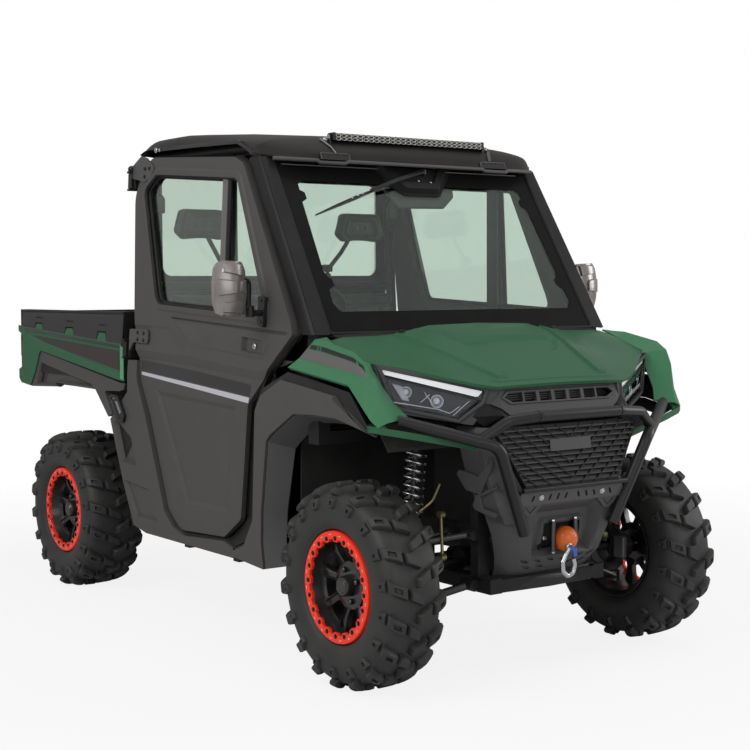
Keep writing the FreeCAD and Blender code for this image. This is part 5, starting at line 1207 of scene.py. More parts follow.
# a black block behind the grille's windows: painted shade seen through them
shade = axleBlock((-0.27, -0.256, 0.925), (0.27, -0.25, 0.99))
makePiece("GrilleBack", shade, "linerBlack", "chassis")
cheek = fromFront([(0.225, -0.29, 0.902), (0.262, -0.286, 0.928), (0.322, -0.25, 0.957), (0.352, -0.236, 0.9),
                   (0.306, -0.262, 0.866), (0.196, -0.286, 0.872), (0.27, -0.312, 0.905)])
bothPieces("GrilleCheek", facing((cheek, [[0, 1, 6], [1, 2, 6], [2, 3, 6], [3, 4, 6], [4, 5, 6], [5, 0, 6]]),
                                 (0, -1, 0)), "mouldedBlack", wall=0.006, smooth=10, bevel=0.001)
under = loftRows([fromFront([(-0.225, -0.2925, 0.902), (0.225, -0.2925, 0.902)]),
                  fromFront([(-0.2, -0.306, 0.88), (0.2, -0.306, 0.88)]),
                  fromFront([(-0.21, -0.29, 0.858), (0.21, -0.29, 0.858)])])
makePiece("GrilleChin", facing(under, (0, -1, 0)), "mouldedBlack", "chassis", wall=0.006, smooth=20)

meshLook = {"rise": 0.1232, "pitch": 0.0178, "lean": 0.84, "strutPitch": 0.062}


# the mesh plane: it leans back in proportion to the height above its foot
def onMesh(lift=0.0):
    return lambda u, v, height: np.stack([u,
                                          frontAxle - 0.356 + (v - 0.655) * meshLook["rise"] - lift - height,
                                          v], -1)


meshEdge = np.array(mirrorLoop([(0, 0.868), (0.3, 0.868), (0.316, 0.848), (0.205, 0.66), (0, 0.66)]))
meshHole = insetLoop(meshEdge, 0.013)
meshFrame = panel(meshEdge, onMesh(), holes=[meshHole])
makePiece("MeshFrame", facing(meshFrame, (0, -1, 0)), "mouldedBlack", "chassis", wall=0.02,
          replaces=["mesh_grille"])


def spanAt(z):
    # half the mesh's width at a height
    return np.interp(z, [0.66, 0.848, 0.868], [0.205, 0.316, 0.3]) - 0.006


bars = []
for z in np.arange(0.682, 0.862, meshLook["pitch"]):
    half = float(spanAt(z))
    line = onMesh(-0.004)(np.array([-half, half]), np.array([z, z]), np.zeros(2))
    bars.append(sweep(line, [(-0.007, 0.0045), (-0.007, 0.001), (0.006, -0.0085), (0.006, -0.0045)],
                      up=(0, 0, 1)))
makePiece("MeshLouvres", joinShapes(bars), "mouldedDark", "chassis", smooth=20)
struts = []
for start in np.arange(-0.62, 0.3, meshLook["strutPitch"]):
    heights = np.linspace(0.664, 0.864, 60)
    across = start + (0.868 - heights) / meshLook["lean"] * 1.15
    inside = (np.abs(across) < spanAt(heights)) & (across < 0.0)
    if inside.sum() > 3:
        z = heights[inside][[0, -1]]
        line = onMesh(0.0015)(start + (0.868 - z) / meshLook["lean"] * 1.15, z, np.zeros(2))
        struts.append(sweep(line, [(-0.0022, -0.006), (0.0022, -0.006), (0.0022, 0.0015), (-0.0022, 0.0015)],
                            up=(0, -1, 0)))
makePiece("MeshStruts", bothSides(joinShapes(struts)), "bezelBlack", "chassis", smooth=30)
radiator = axleBlock((-0.3, -0.262, 0.66), (0.3, -0.254, 0.862))
makePiece("MeshBacking", radiator, "linerBlack", "chassis")
plate = panel(rounded([(-0.092, 0.779), (0.092, 0.779), (0.092, 0.819), (-0.092, 0.819)], 0.003, 3, True),
              onMesh(0.004))
makePiece("MeshPlate", facing(plate, (0, -1, 0)), "plateGrey", "chassis", wall=0.004, bevel=0.001)
print("grille ready")

# bumper and guard

bumperLook = {"levels": [0.345, 0.38, 0.42, 0.5, 0.6, 0.655],
              "front": [-0.215, -0.255, -0.292, -0.321, -0.328, -0.332],
              "frontHalf": [0.168, 0.176, 0.186, 0.2, 0.222, 0.238],
              "sideHalf": [0.206, 0.216, 0.23, 0.252, 0.286, 0.303],
              "sideBack": [-0.17, -0.19, -0.21, -0.22, -0.21, -0.2],
              "window": [(-0.083, 0.44), (0.083, 0.44), (0.083, 0.532), (-0.083, 0.532)]}


def onBumper(lift=0.0):
    # flat in front, a small step back to its corners, then faces that run back along the sides
    def place(u, v, height):
        wide, levels = np.abs(u), bumperLook["levels"]
        front, half = np.interp(v, levels, bumperLook["front"]), np.interp(v, levels, bumperLook["frontHalf"])
        side, end = np.interp(v, levels, bumperLook["sideHalf"]), np.interp(v, levels, bumperLook["sideBack"])
        y = front + 0.01 * np.clip((wide - half + 0.055) / 0.055, 0, 1)
        middle = half + (side - half) * 0.72
        y += (end - front - 0.01) * (0.45 * np.clip((wide - half) / (middle - half), 0, 1)
                                      + 0.55 * np.clip((wide - middle) / (side - middle), 0, 1))
        return np.stack([u, frontAxle + y - lift - height, v], -1)
    return place


cornerLines = [[(sign * half[i], z) for i, z in enumerate(bumperLook["levels"])] for sign in (-1, 1)
               for half in (bumperLook["frontHalf"],
                            [side * 0.72 + front * 0.28
                             for side, front in zip(bumperLook["sideHalf"], bumperLook["frontHalf"])],
                            [front - 0.055 for front in bumperLook["frontHalf"]])]
recess = mirrorLoop([(0, 0.596), (0.128, 0.596), (0.158, 0.566), (0.14, 0.418), (0, 0.418)])
shroud = mirrorLoop([(0, 0.552), (0.086, 0.552), (0.1, 0.538), (0.108, 0.452), (0, 0.452)])
vents = []
for u, v in ((0.032, 0.404), (0.092, 0.404), (0.148, 0.406), (0.062, 0.38), (0.122, 0.381)):
    angle = np.arange(12) * math.pi / 6
    leaf = np.stack([0.021 * np.cos(angle), 0.0055 * np.sin(angle) + 0.0065 * np.cos(angle)], -1) + (u, v)
    vents += [leaf, leaf[::-1] * (-1, 1)]
edge = mirrorLoop([(0, 0.655), (0.238, 0.655), (0.301, 0.655), (0.284, 0.6), (0.25, 0.5), (0.228, 0.42),
                   (0.214, 0.382), (0.205, 0.347), (0.168, 0.35), (0, 0.35)])
shell = panel(edge, onBumper(), holes=[bumperLook["window"]],
              creases=cornerLines + [[(-0.3, z), (0.3, z)] for z in (0.38, 0.42, 0.5, 0.6)],
              reliefs=[(recess, -0.034, 0.026), (shroud, 0.01, 0.01)]
              + [(leaf, -0.007, 0.002) for leaf in vents])
makePiece("BumperShell", facing(shell, (0, -1, 0)), "mouldedDark", "chassis", wall=0.009, smooth=24,
          replaces=["front_bumper"])

side = fromFront([
    [(0.206, -0.326, 0.545), (0.244, -0.29, 0.54), (0.262, -0.232, 0.545)],
    [(0.224, -0.338, 0.6), (0.276, -0.292, 0.6), (0.294, -0.205, 0.6)],
    [(0.208, -0.338, 0.655), (0.292, -0.287, 0.655), (0.304, -0.188, 0.655)],
    [(0.234, -0.334, 0.7), (0.302, -0.276, 0.695), (0.308, -0.165, 0.7)],
    [(0.27, -0.328, 0.762), (0.316, -0.266, 0.76), (0.314, -0.148, 0.765)],
    [(0.32, -0.316, 0.846), (0.34, -0.25, 0.85), (0.326, -0.136, 0.85)],
    [(0.306, -0.31, 0.866), (0.33, -0.24, 0.866), (0.32, -0.13, 0.866)]])
bothPieces("BumperCheek", facing(loftRows(side), (1, -0.4, 0)), "mouldedDark", wall=0.007, smooth=12,
           bevel=0.0015)


def onCheek(lift):
    # the flat side of the bumper, u back from the axle and v up
    return lambda u, v, height: np.stack([0.306 + (v - 0.7) * 0.1 + 0.16 * (u + 0.2) + lift + height,
                                          u + frontAxle, v], -1)


rib = panel([(-0.15, 0.716), (-0.14, 0.7), (-0.176, 0.65), (-0.236, 0.64), (-0.296, 0.734), (-0.3, 0.764),
             (-0.232, 0.7), (-0.18, 0.712)], onCheek(0.014))
bothPieces("BumperRib", facing(rib, (1, 0, 0)), "mouldedDark", wall=0.014, bevel=0.003)
fin = panel([(-0.196, 0.6), (-0.206, 0.586), (-0.286, 0.566), (-0.3, 0.58), (-0.24, 0.592), (-0.232, 0.632),
             (-0.306, 0.664), (-0.312, 0.676), (-0.214, 0.636)], onCheek(0.01))
skidRows = [[(x, y + 0.012 * abs(x) / 0.2, z) for x in np.linspace(-0.235, 0.235, 9)]
            for y, z in ((-0.222, 0.352), (-0.238, 0.338), (-0.243, 0.312), (-0.236, 0.299), (-0.2, 0.2965),
                         (-0.06, 0.2965))]
makePiece("SkidPlate", facing(loftRows([fromFront(row) for row in skidRows]), (0, -1, -0.3)), "satinBlack",
          "chassis", wall=0.004, smooth=40)
bothPieces("BumperFin", facing(fin, (1, 0, 0)), "mouldedDark", wall=0.014, bevel=0.003)


# the plate under the mesh: it comes forward in proportion to how far a point lies below its top
def onBracket(lift=0.0):
    return lambda u, v, height: np.stack([u, frontAxle - 0.3545 + (0.65 - v) * 0.18 - lift - height, v], -1)


slots = []
for x in (0.028, 0.064, 0.1, 0.175):
    for sign in (-1, 1):
        angle = math.radians(90 + sign * 25)
        axis, cross = np.array([math.cos(angle), math.sin(angle)]), np.array([-math.sin(angle),
                math.cos(angle)])
        centre = np.array([sign * x, 0.628])
        slots.append(rounded([centre + axis * a + cross * b
                              for a, b in ((-0.011, -0.0042), (0.011, -0.0042), (0.011, 0.0042),
                                           (-0.011, 0.0042))], 0.004, 3, True))
bracket = panel(rounded(mirrorLoop([(0, 0.65), (0.228, 0.65), (0.236, 0.63), (0.226, 0.606), (0, 0.606)]),
                        0.003, 3, True), onBracket(), holes=slots)
makePiece("GuardPlate", facing(bracket, (0, -1, 0)), "plateGrey", "chassis", wall=0.005, bevel=0.0012,
          smooth=30)
wing = panel(rounded([(0.118, 0.606), (0.224, 0.606), (0.206, 0.584), (0.186, 0.568), (0.162, 0.568),
                      (0.142, 0.59)], 0.004, 3, True), onBracket(-0.006),
             reliefs=[([(0.15, 0.598), (0.176, 0.576), (0.204, 0.598), (0.196, 0.599), (0.176, 0.583),
                        (0.158, 0.599)], -0.0035, 0.0015)])
bothPieces("GuardWing", facing(wing, (0, -1, 0)), "mouldedDark", wall=0.012, bevel=0.0015)
guardBolts = [boltHead(axlePoint((sign * 0.138, -0.3508, 0.629)), (0, -0.98, -0.18), 0.0085, 0.005)
              for sign in (-1, 1)]
makePiece("GuardBolts", joinShapes(guardBolts), "brightSteel", "chassis", smooth=40)
cross = rod(axlePoint((-0.236, -0.37, 0.66)), axlePoint((0.236, -0.37, 0.66)), 0.0085, 20)
makePiece("GuardRod", cross, "satinBlack", "chassis", bevel=0.002, smooth=50)
collars = [sweep(fromFront([(sign * 0.176, -0.3905, 0.9035), (sign * 0.19, -0.3895, 0.9025)]),
                 circle(0.0196, 28)) for sign in (-1, 1)]
makePiece("GuardCollars", joinShapes(collars), "satinBlack", "chassis", bevel=0.001, smooth=50)

# winch

winchLook = {"ball": 0.0425, "ballCentre": (0.002, -0.314, 0.475), "roller": 0.0085, "rollerOut": 0.0505}
inset = np.array(bumperLook["window"])
frameWall = loftRows([onBumper(-0.022)(inset[:, 0], inset[:, 1], np.zeros(4)),
                      onBumper(-0.085)(inset[:, 0], inset[:, 1], np.zeros(4))], True)
makePiece("WinchTunnel", frameWall, "satinBlack", "chassis", wall=0.003, smooth=20)
tunnelBack = axleBlock((-0.084, -0.246, 0.43), (0.084, -0.24, 0.54))
makePiece("WinchBack", tunnelBack, "linerBlack", "chassis", replaces=["winch"])
rollers, rollerBolts = [], []
for sign in (-1, 1):
    foot, head = (sign * winchLook["rollerOut"], -0.31, 0.436), (sign * winchLook["rollerOut"], -0.31, 0.537)
    line = turned([(0.0, 0.0001), (0.0, 0.0072), (0.006, winchLook["roller"]), (0.095, winchLook["roller"]),
                   (0.101, 0.0072), (0.101, 0.0001)], 24, (0, 0, 0))
    turn = turnTo((0, 0, 1))
    rollers.append((line[0] @ turn + axlePoint(foot), line[1]))
    rollerBolts += [boltHead(axlePoint(head), (0, 0, 1), 0.0095, 0.007),
                    boltHead(axlePoint(foot), (0, 0, -1), 0.0095, 0.007)]
makePiece("WinchRollers", joinShapes(rollers), "darkSteel", "chassis", smooth=40)
rollerBolts.append(boltHead(axlePoint((-0.07, -0.29, 0.48)), (0, -1, 0), 0.007, 0.006))
makePiece("WinchBolts", joinShapes(rollerBolts), "brightSteel", "chassis", smooth=40)
arc = np.linspace(-math.pi / 2, math.pi / 2, 25)
groove = 1 - 0.035 * np.exp(-(np.sin(arc) / 0.06) ** 2)
ball = turned(np.stack([winchLook["ball"] * np.sin(arc), winchLook["ball"] * groove * np.cos(arc) + 1e-5],
                       -1), 48, axlePoint(winchLook["ballCentre"]))
makePiece("WinchStopper", ball, "collarOrange", "chassis", smooth=60)
hookLine = fromFront([(-0.018, -0.352, 0.448), (-0.034, -0.353, 0.428), (-0.0475, -0.353, 0.402),
                      (-0.0445, -0.353, 0.372), (-0.022, -0.353, 0.354), (0.001, -0.353, 0.364),
                      (0.0085, -0.353, 0.39), (0.002, -0.353, 0.412)])
hook = sweep(rounded(hookLine, 0.016, 7), circle(0.0085, 14), up=(0, -1, 0))
eyeRing = sweep(np.stack([0.009 * np.cos(np.arange(20) * math.pi / 10), 0 * np.arange(20),
                          0.009 * np.sin(np.arange(20) * math.pi / 10)], -1)
                + axlePoint((-0.014, -0.35, 0.452)), circle(0.0048, 10), True, up=(0, 1, 0))
makePiece("WinchHook", joinShapes([hook, eyeRing]), "brightSteel", "chassis", smooth=50)
latch = sweep(fromFront([(-0.01, -0.357, 0.452), (0.002, -0.358, 0.44), (0.008, -0.357, 0.42)]),
              [(-0.008, -0.003), (0.008, -0.003), (0.008, 0.003), (-0.008, 0.003)], up=(0, -1, 0))
makePiece("WinchLatch", latch, "latchBlue", "chassis", bevel=0.001)
print("nose ready")


# roof and light bar

roofLook = {"top": [(0.5, 1.79), (0.506, 1.806), (0.516, 1.822), (0.54, 1.848), (0.575, 1.87), (0.62, 1.883),
                    (0.68, 1.893), (0.79, 1.905), (0.9, 1.914), (1.06, 1.921), (1.2, 1.9245), (1.33, 1.9248),
                    (1.4, 1.924), (1.44, 1.92), (1.475, 1.91), (1.5, 1.896), (1.515, 1.88), (1.522, 1.86)],
            "under": [(0.5, 1.782), (0.6, 1.806), (0.628, 1.822), (0.69, 1.8585), (1.44, 1.879),
                      (1.524, 1.856)],
            "across": [(0, 0), (0.12, 0.0005), (0.24, 0.002), (0.34, 0.004), (0.4, 0.006), (0.47, 0.01),
                       (0.53, 0.016), (0.58, 0.024), (0.615, 0.033), (0.636, 0.044), (0.649, 0.058),
                       (0.655, 0.076)], "half": 0.655, "pressDepth": 0.005}


def roofShape():
    # rows from the front lip to the back; across, each row falls from its crown and stops at the skirt's
    # lower edge
    top, under = np.array(roofLook["top"]), np.array(roofLook["under"])
    half = np.array(roofLook["across"])
    x = np.concatenate([-half[::-1, 0], half[1:, 0]])
    drop = np.concatenate([half[::-1, 1], half[1:, 1]])
    y, crown = top[:, :1], top[:, 1:]
    corner = np.clip((np.abs(x) - 0.52) / 0.135, 0, 1) ** 2
    front = np.clip((0.62 - y) / 0.12, 0, 1)
    back = np.clip((y - 1.4) / 0.12, 0, 1)
    station = (y + (0.075 * front * corner + 0.03 * front * np.clip((np.abs(x) - 0.4) / 0.25, 0, 1))
               - 0.03 * corner * back)
    low = np.interp(station, under[:, 0], under[:, 1])
    square = np.clip((y - 0.74) / 0.45, 0, 1)
    shallower = 1 - square * np.interp(np.abs(x), [0.6, 0.655], [0.88, 0.3])
    z = np.maximum(crown - drop * (1 - 0.55 * front) * shallower, low)
    pressed = np.clip((0.43 - np.abs(x)) / 0.02, 0, 1) * np.clip((station - 0.76) / 0.04, 0, 1)
    pressed = pressed * np.clip((1.36 - station) / 0.04, 0, 1)
    ribs = np.clip(1 - np.abs(np.abs(x) - 0.24) / 0.06, 0, 1)
    z = z - roofLook["pressDepth"] * pressed * (1 - ribs)
    skirt = np.stack([np.sign(x[[0, -1]]) * roofLook["half"] * np.ones((len(y), 2)), station[:, [0, -1]],
                      low[:, [0, -1]] - 0.002], -1)
    sheet = np.stack([np.broadcast_to(x, z.shape), station, z], -1)
    return loftRows(fromFront(np.concatenate([skirt[:, :1], sheet, skirt[:, 1:]], 1)))


makePiece("RoofSkin", facing(roofShape(), (0, 0, 1)), "roofBlack", "chassis", wall=0.006, smooth=40,
          bevel=0.0012, replaces=["roof"])
# a light grey rod along the roof's front lip: painted highlight on its rounded edge
lipLine = [(-0.61, 0.548, 1.785), (-0.54, 0.516, 1.782), (-0.45, 0.503, 1.781), (-0.44, 0.502, 1.774),
           (-0.33, 0.5, 1.774), (-0.318, 0.5, 1.781), (0.318, 0.5, 1.781), (0.33, 0.5, 1.774),
           (0.44, 0.502, 1.774), (0.45, 0.503, 1.781), (0.54, 0.516, 1.782), (0.61, 0.548, 1.785)]
makePiece("RoofLip", sweep(fromFront(lipLine), circle(0.0075, 12)), "plateGrey", "chassis", smooth=60)
# darker black patches on the roof's front over its two recesses: painted shade
visorShade = [panel([(sign * 0.313, 1.785), (sign * 0.432, 1.785), (sign * 0.432, 1.806), (sign * 0.325, 1.806),
                (sign * 0.313, 1.8)],
               lambda u, v, height: np.stack([u, frontAxle + 0.4975 + (v - 1.79) * 0.42 - height, v], -1))
         for sign in (-1, 1)]
makePiece("RoofRecess", joinShapes([facing(part, (0, -1, 0)) for part in visorShade]), "stripeBlack", "chassis")
# light grey rods round those recesses: painted highlights on their rims
recessRimHighlights = [sweep(fromFront([(sign * 0.311, 0.4965, 1.785), (sign * 0.311, 0.502, 1.804),
                               (sign * 0.322, 0.505, 1.809), (sign * 0.434, 0.505, 1.809),
                               (sign * 0.434, 0.4965, 1.785)]), circle(0.0028, 8), up=(0, -1, 0))
              for sign in (-1, 1)]
makePiece("RoofRecessRim", joinShapes(recessRimHighlights), "plateGrey", "chassis", smooth=60)
# black strips on the roof's front where its grooves run: painted shade
grooveShade = [sweep(fromFront([(sign * 0.362, 0.507, 1.811), (sign * 0.372, 0.526, 1.8345),
                          (sign * 0.384, 0.5435, 1.85), (sign * 0.392, 0.566, 1.8665)]),
               [(-0.007, -0.002), (0.007, -0.002), (0.006, 0.0035), (-0.006, 0.0035)]) for sign in (-1, 1)]
makePiece("RoofGroove", joinShapes(grooveShade), "stripeBlack", "chassis")

barLook = {"half": 0.345, "cells": 28}
barSection = [(0.0, 0.004), (0.0, 0.025), (-0.004, 0.03), (-0.014, 0.0315), (-0.02, 0.0275), (-0.024, 0.0315),
              (-0.029, 0.0275), (-0.033, 0.03), (-0.035, 0.024), (-0.035, 0.009), (-0.03, 0.004)]
housing = sweep(fromFront([(-barLook["half"], 0.537, 1.8575), (barLook["half"], 0.537, 1.8575)]), barSection,
                up=(0, 0, 1))
makePiece("LightBarBody", housing, "satinBlack", "chassis", bevel=0.0008, smooth=30, replaces=["light_bar"])
ends = joinShapes([axleBlock((sign * 0.351 - 0.006, 0.5355, 1.861), (sign * 0.351 + 0.006, 0.572, 1.8895))
                   for sign in (-1, 1)] + [axleBlock((sign * 0.361 - 0.004, 0.548, 1.848),
        (sign * 0.361 + 0.004, 0.566, 1.884)) for sign in (-1, 1)])
makePiece("LightBarEnds", ends, "satinBlack", "chassis", bevel=0.002)
feet = joinShapes([boltHead(axlePoint((sign * 0.3655, 0.556, 1.872)), (sign, 0, 0), 0.008, 0.005)
                   for sign in (-1, 1)] + [boltHead(axlePoint((sign * 0.38, 0.556, 1.866)), (0, -0.5, 0.8),
                                                    0.007, 0.005) for sign in (-1, 1)])
makePiece("LightBarBolts", feet, "brightSteel", "chassis", smooth=40)
cell = turned([(0.0, 0.0001), (0.0, 0.0048), (0.0035, 0.01), (0.0045, 0.01), (0.0, 0.003)], 8, (0, 0, 0))
cellTurn = turnTo((0, -1, 0))
place = np.stack(np.meshgrid(np.linspace(-barLook["half"] + 0.012, barLook["half"] - 0.012, barLook["cells"]),
                             [1.8675, 1.8795], indexing="ij"), -1).reshape(-1, 2)
spots = np.zeros((len(place), 3, 4))
spots[:, :, :3] = np.eye(3)
spots[:, :, 3] = fromFront(np.stack([place[:, 0], np.full(len(place), 0.5405), place[:, 1]], -1))
makePiece("LightBarCells", repeated((cell[0] @ cellTurn * (1.16, 1, 0.62), cell[1]), spots), "barCells",
          "chassis", smooth=30)
chip = block((-0.0045, -0.0006, -0.003), (0.0045, 0.0006, 0.003))
makePiece("LightBarChips", repeated(chip, spots), "ledWhite", "chassis")
print("roof ready")

# windshield, wiper and pillars


def onGlass(lift=0.0):
    # u across, v height on the leaning windshield; height stands out along its normal
    return lambda u, v, height: np.stack([u, frontAxle + 0.192 + (v - 1.164) * 0.62 - 0.85 * (lift + height),
                                          v + 0.527 * (lift + height)], -1)


# points (across, height) on the windshield, moved out along its normal
def glassPath(points, lift):
    points = np.array(points, float)
    return onGlass(lift)(points[:, 0], points[:, 1], np.zeros(len(points)))


shieldEdge = mirrorLoop([(0, 1.783), (0.594, 1.783), (0.61, 1.166), (0, 1.166)])
opening = mirrorLoop([(0, 1.706), (0.5, 1.706), (0.522, 1.694), (0.524, 1.672), (0.506, 1.664), (0.506, 1.64),
                      (0.53, 1.628), (0.545, 1.38), (0.536, 1.362), (0.52, 1.352), (0.52, 1.33),
                      (0.548, 1.316), (0.552, 1.268), (0.53, 1.24), (0, 1.24)])
frit = panel(shieldEdge, onGlass(0.0012), holes=[opening])
makePiece("ShieldBorder", facing(frit, (0, -1, 0)), "fritBlack", "chassis")
shieldSeal = sweep(rounded(glassPath(shieldEdge[1:3] + shieldEdge[3:], 0.001), 0.012, 4, True),
                   circle(0.0065, 8), True, up=(0, -0.85, 0.53))
makePiece("ShieldSeal", shieldSeal, "sealRubber", "chassis", smooth=60)
topClip = sweep(glassPath([(-0.566, 1.765), (0.54, 1.765)], 0.004), circle(0.0022, 6), up=(0, -1, 0))
makePiece("ShieldClip", topClip, "postGrey", "chassis", smooth=60)

cover = panel([(-0.168, 1.775), (-0.112, 1.702), (-0.056, 1.667), (0.112, 1.667), (0.216, 1.775)],
              onGlass(0.002), reliefs=[([(-0.15, 1.777), (-0.098, 1.706), (-0.05, 1.676), (0.106, 1.676),
                                         (0.196, 1.777)], 0.02, 0.009),
        ([(-0.105, 1.777), (-0.066, 1.726), (-0.034, 1.708), (0.09, 1.708), (0.146, 1.777)], -0.008, 0.006)])
makePiece("WiperCover", facing(cover, (0, -1, 0.6)), "mouldedBlack", "chassis", smooth=24, replaces=["wiper"])
inner = panel([(-0.135, 1.7), (-0.098, 1.626), (0.122, 1.63), (0.186, 1.672), (0.2, 1.706)], onGlass(-0.012))
makePiece("ShieldConsole", facing(inner, (0, -1, 0)), "stripeBlack", "chassis", wall=0.01, bevel=0.003)
pivot = joinShapes([turned([(0, 0.0001), (0, 0.015), (0.01, 0.0135), (0.014, 0.008), (0.014, 0.0001)], 24,
                           (0, 0, 0))])
glassTurn = turnTo((0, -0.85, 0.527))
pivot = (pivot[0] @ glassTurn + glassPath([(0.052, 1.748)], 0.02)[0], pivot[1])
armLine = np.concatenate([glassPath([(0.052, 1.748)], 0.036), glassPath([(-0.113, 1.701)], 0.034),
                          glassPath([(-0.225, 1.669)], 0.02)])
arm = sweep(armLine, [(-0.009, -0.002), (-0.006, 0.004), (0.006, 0.004), (0.009, -0.002)],
            scale=[1.15, 0.95, 0.8], up=(0, -0.85, 0.53))
blade = sweep(glassPath([(-0.19, 1.681), (-0.3, 1.646), (-0.395, 1.614), (-0.5, 1.577)], 0.008),
              [(-0.006, -0.006), (-0.004, 0.004), (0.004, 0.004), (0.006, -0.006)],
              scale=[0.8, 1.2, 1.0, 0.45], up=(0, -0.85, 0.53))
makePiece("WiperArm", joinShapes([pivot, arm, blade]), "satinBlack", "chassis", bevel=0.0008, smooth=40)
rivets = joinShapes([boltHead(glassPath([spot], lift)[0], (0, -0.85, 0.53), headRadius, 0.003, False)
                     for spot, lift, headRadius in (((-0.262, 1.659), 0.014, 0.0048),
                                                    ((-0.286, 1.651), 0.014, 0.0048),
                                                    ((-0.315, 1.641), 0.013, 0.004),
                                                    ((0.052, 1.748), 0.038, 0.006),
                                                    ((0.02, 1.716), 0.018, 0.006),
                                                    ((0.076, 1.712), 0.018, 0.006))])
makePiece("WiperRivets", rivets, "brightSteel", "chassis", smooth=40)

# a rounded cover over each front pillar, from the cowl to the roof
pillarLow = [(0.64, 0.196, 1.166), (0.662, 0.188, 1.164), (0.673, 0.2, 1.164), (0.6745, 0.232, 1.164),
             (0.668, 0.278, 1.164), (0.64, 0.282, 1.164)]
pillarHigh = [(0.61, 0.574, 1.792), (0.632, 0.57, 1.792), (0.646, 0.58, 1.792), (0.65, 0.606, 1.792),
              (0.645, 0.648, 1.792), (0.622, 0.652, 1.792)]
share = np.linspace(0, 1, 6)[:, None, None]
pillar = loftRows(fromFront(np.array(pillarLow) * (1 - share) + np.array(pillarHigh) * share))
bothPieces("PillarCover", facing(pillar, (1, -0.5, 0)), "mouldedBlack", wall=0.004, smooth=50)
rail = sweep(fromFront([(0.65, 1.345, 1.8735), (0.652, 1.0, 1.864), (0.652, 0.72, 1.8535),
                        (0.65, 0.68, 1.838), (0.646, 0.64, 1.816), (0.628, 0.592, 1.796)]),
             [(-0.004, -0.007), (0.005, -0.007), (0.0065, 0.002), (0.004, 0.007), (-0.004, 0.007)])
bothPieces("DripRail", rail, "bandGrey", bevel=0.0015, smooth=40)
railEnd = joinShapes([boltHead(axlePoint((0.657, 1.352, 1.872)), (1, 0, 0), 0.009, 0.004),
                      boltHead(axlePoint((0.657, 1.322, 1.87)), (1, 0, 0), 0.006, 0.003)])
bothPieces("RailBolts", railEnd, "brightSteel", smooth=40)

# mirrors

mirrorLook = {"edge": [(0.772, 1.3), (0.778, 1.385), (0.791, 1.414), (0.872, 1.418), (0.892, 1.396),
                       (0.8985, 1.34), (0.897, 1.272), (0.882, 1.229), (0.796, 1.227), (0.779, 1.25)],
              "radii": [0.01, 0.02, 0.012, 0.016, 0.014, 0.03, 0.03, 0.016, 0.016, 0.014]}


def onMirror(lift=0.0):
    # the shell's front: crowned, so it falls away towards its edge
    def place(u, v, height):
        y = frontAxle + 0.44 + 5.5 * (u - 0.836) ** 2 + 1.6 * (v - 1.322) ** 2 - lift - height
        return np.stack([u, y, v], -1)
    return place


mirrorLoopHead = rounded(mirrorLook["edge"], mirrorLook["radii"], 5, True)
head = panel(mirrorLoopHead, onMirror(), creases=netLines((0.76, 1.22), (0.91, 1.43), 0.016), reliefs=[
    ([(0.792, 1.408), (0.868, 1.41), (0.877, 1.378), (0.797, 1.362)], 0.009, 0.004),
    ([(0.893, 1.356), (0.832, 1.35), (0.824, 1.338), (0.826, 1.304), (0.892, 1.296)], 0.009, 0.004),
    ([(0.87, 1.276), (0.792, 1.28), (0.797, 1.236), (0.876, 1.238)], 0.009, 0.004),
    ([(0.804, 1.348), (0.779, 1.354), (0.779, 1.296), (0.806, 1.312)], 0.008, 0.004)])
rim = onMirror()(mirrorLoopHead[:, 0], mirrorLoopHead[:, 1], np.zeros(len(mirrorLoopHead)))
centre = np.array([0.836, 0, 1.322])
rimBack = centre + (rim - centre) * (0.95, 0, 0.97)
rimBack[:, 1] = frontAxle + 0.494
rimMiddle = np.stack([rim[:, 0], np.full(len(rim), frontAxle + 0.474), rim[:, 2]], -1)
body = joinShapes([head, loftRows([rim, rimMiddle, rimBack], True), (rimBack, [list(range(len(rimBack)))])])
bothPieces("MirrorHead", body, "mirrorShell", "%s_door", bevel=0.002, smooth=30, replaces=["%s_mirror"])
faceLoop = insetLoop(np.stack([rimBack[:, 0], rimBack[:, 2]], -1), 0.006)
glassFace = panel(faceLoop, lambda u, v, height: np.stack([u, np.full(len(u), frontAxle + 0.4955), v], -1))
bothPieces("MirrorGlass", facing(glassFace, (0, 1, 0)), "reflector", "%s_door")
mirrorArm = tubeAlong(fromFront([(0.706, 0.484, 1.236), (0.744, 0.484, 1.236), (0.76, 0.478, 1.262),
                                 (0.764, 0.468, 1.345), (0.79, 0.466, 1.352)]), 0.0115, 0.016, 18, 5)
knuckleA = rod(axlePoint((0.752, 0.48, 1.222)), axlePoint((0.752, 0.48, 1.262)), 0.0165, 20)
bothPieces("MirrorArm", joinShapes([mirrorArm, knuckleA]), "satinBlack", "%s_door", bevel=0.0012, smooth=50)
mount = panel(rounded([(0.462, 1.292), (0.506, 1.296), (0.512, 1.2), (0.47, 1.182)], 0.008, 3, True),
              onSide(0.0165))
bothPieces("MirrorMount", facing(mount, (1, 0, 0)), "satinBlack", "%s_door", wall=0.014, bevel=0.002)
mountBolts = joinShapes([boltHead(sidePath([spot], 0.0165)[0], (1, 0, 0), 0.006, 0.004, False)
                         for spot in ((0.488, 1.28), (0.488, 1.205))])
bothPieces("MirrorBolts", mountBolts, "darkSteel", "%s_door", smooth=40)
print("glass and mirrors ready")


# seats

seatLook = {"voxel": 0.011, "cushionCap": 0.022, "backCap": 0.022, "pressure": 4.0, "frames": 20,
            "channelDepth": 0.009, "channelWidth": 0.007, "channelsAcross": [0.175, 0.315, 0.455],
            "inset": 0.011, "quality": 4, "stretch": 8, "shear": 4, "bending": 0.6}
headrestLook = {"centre": (0.397, 1.452, 1.587), "half": (0.135, 0.07), "voxel": 0.0055, "cap": 0.007}


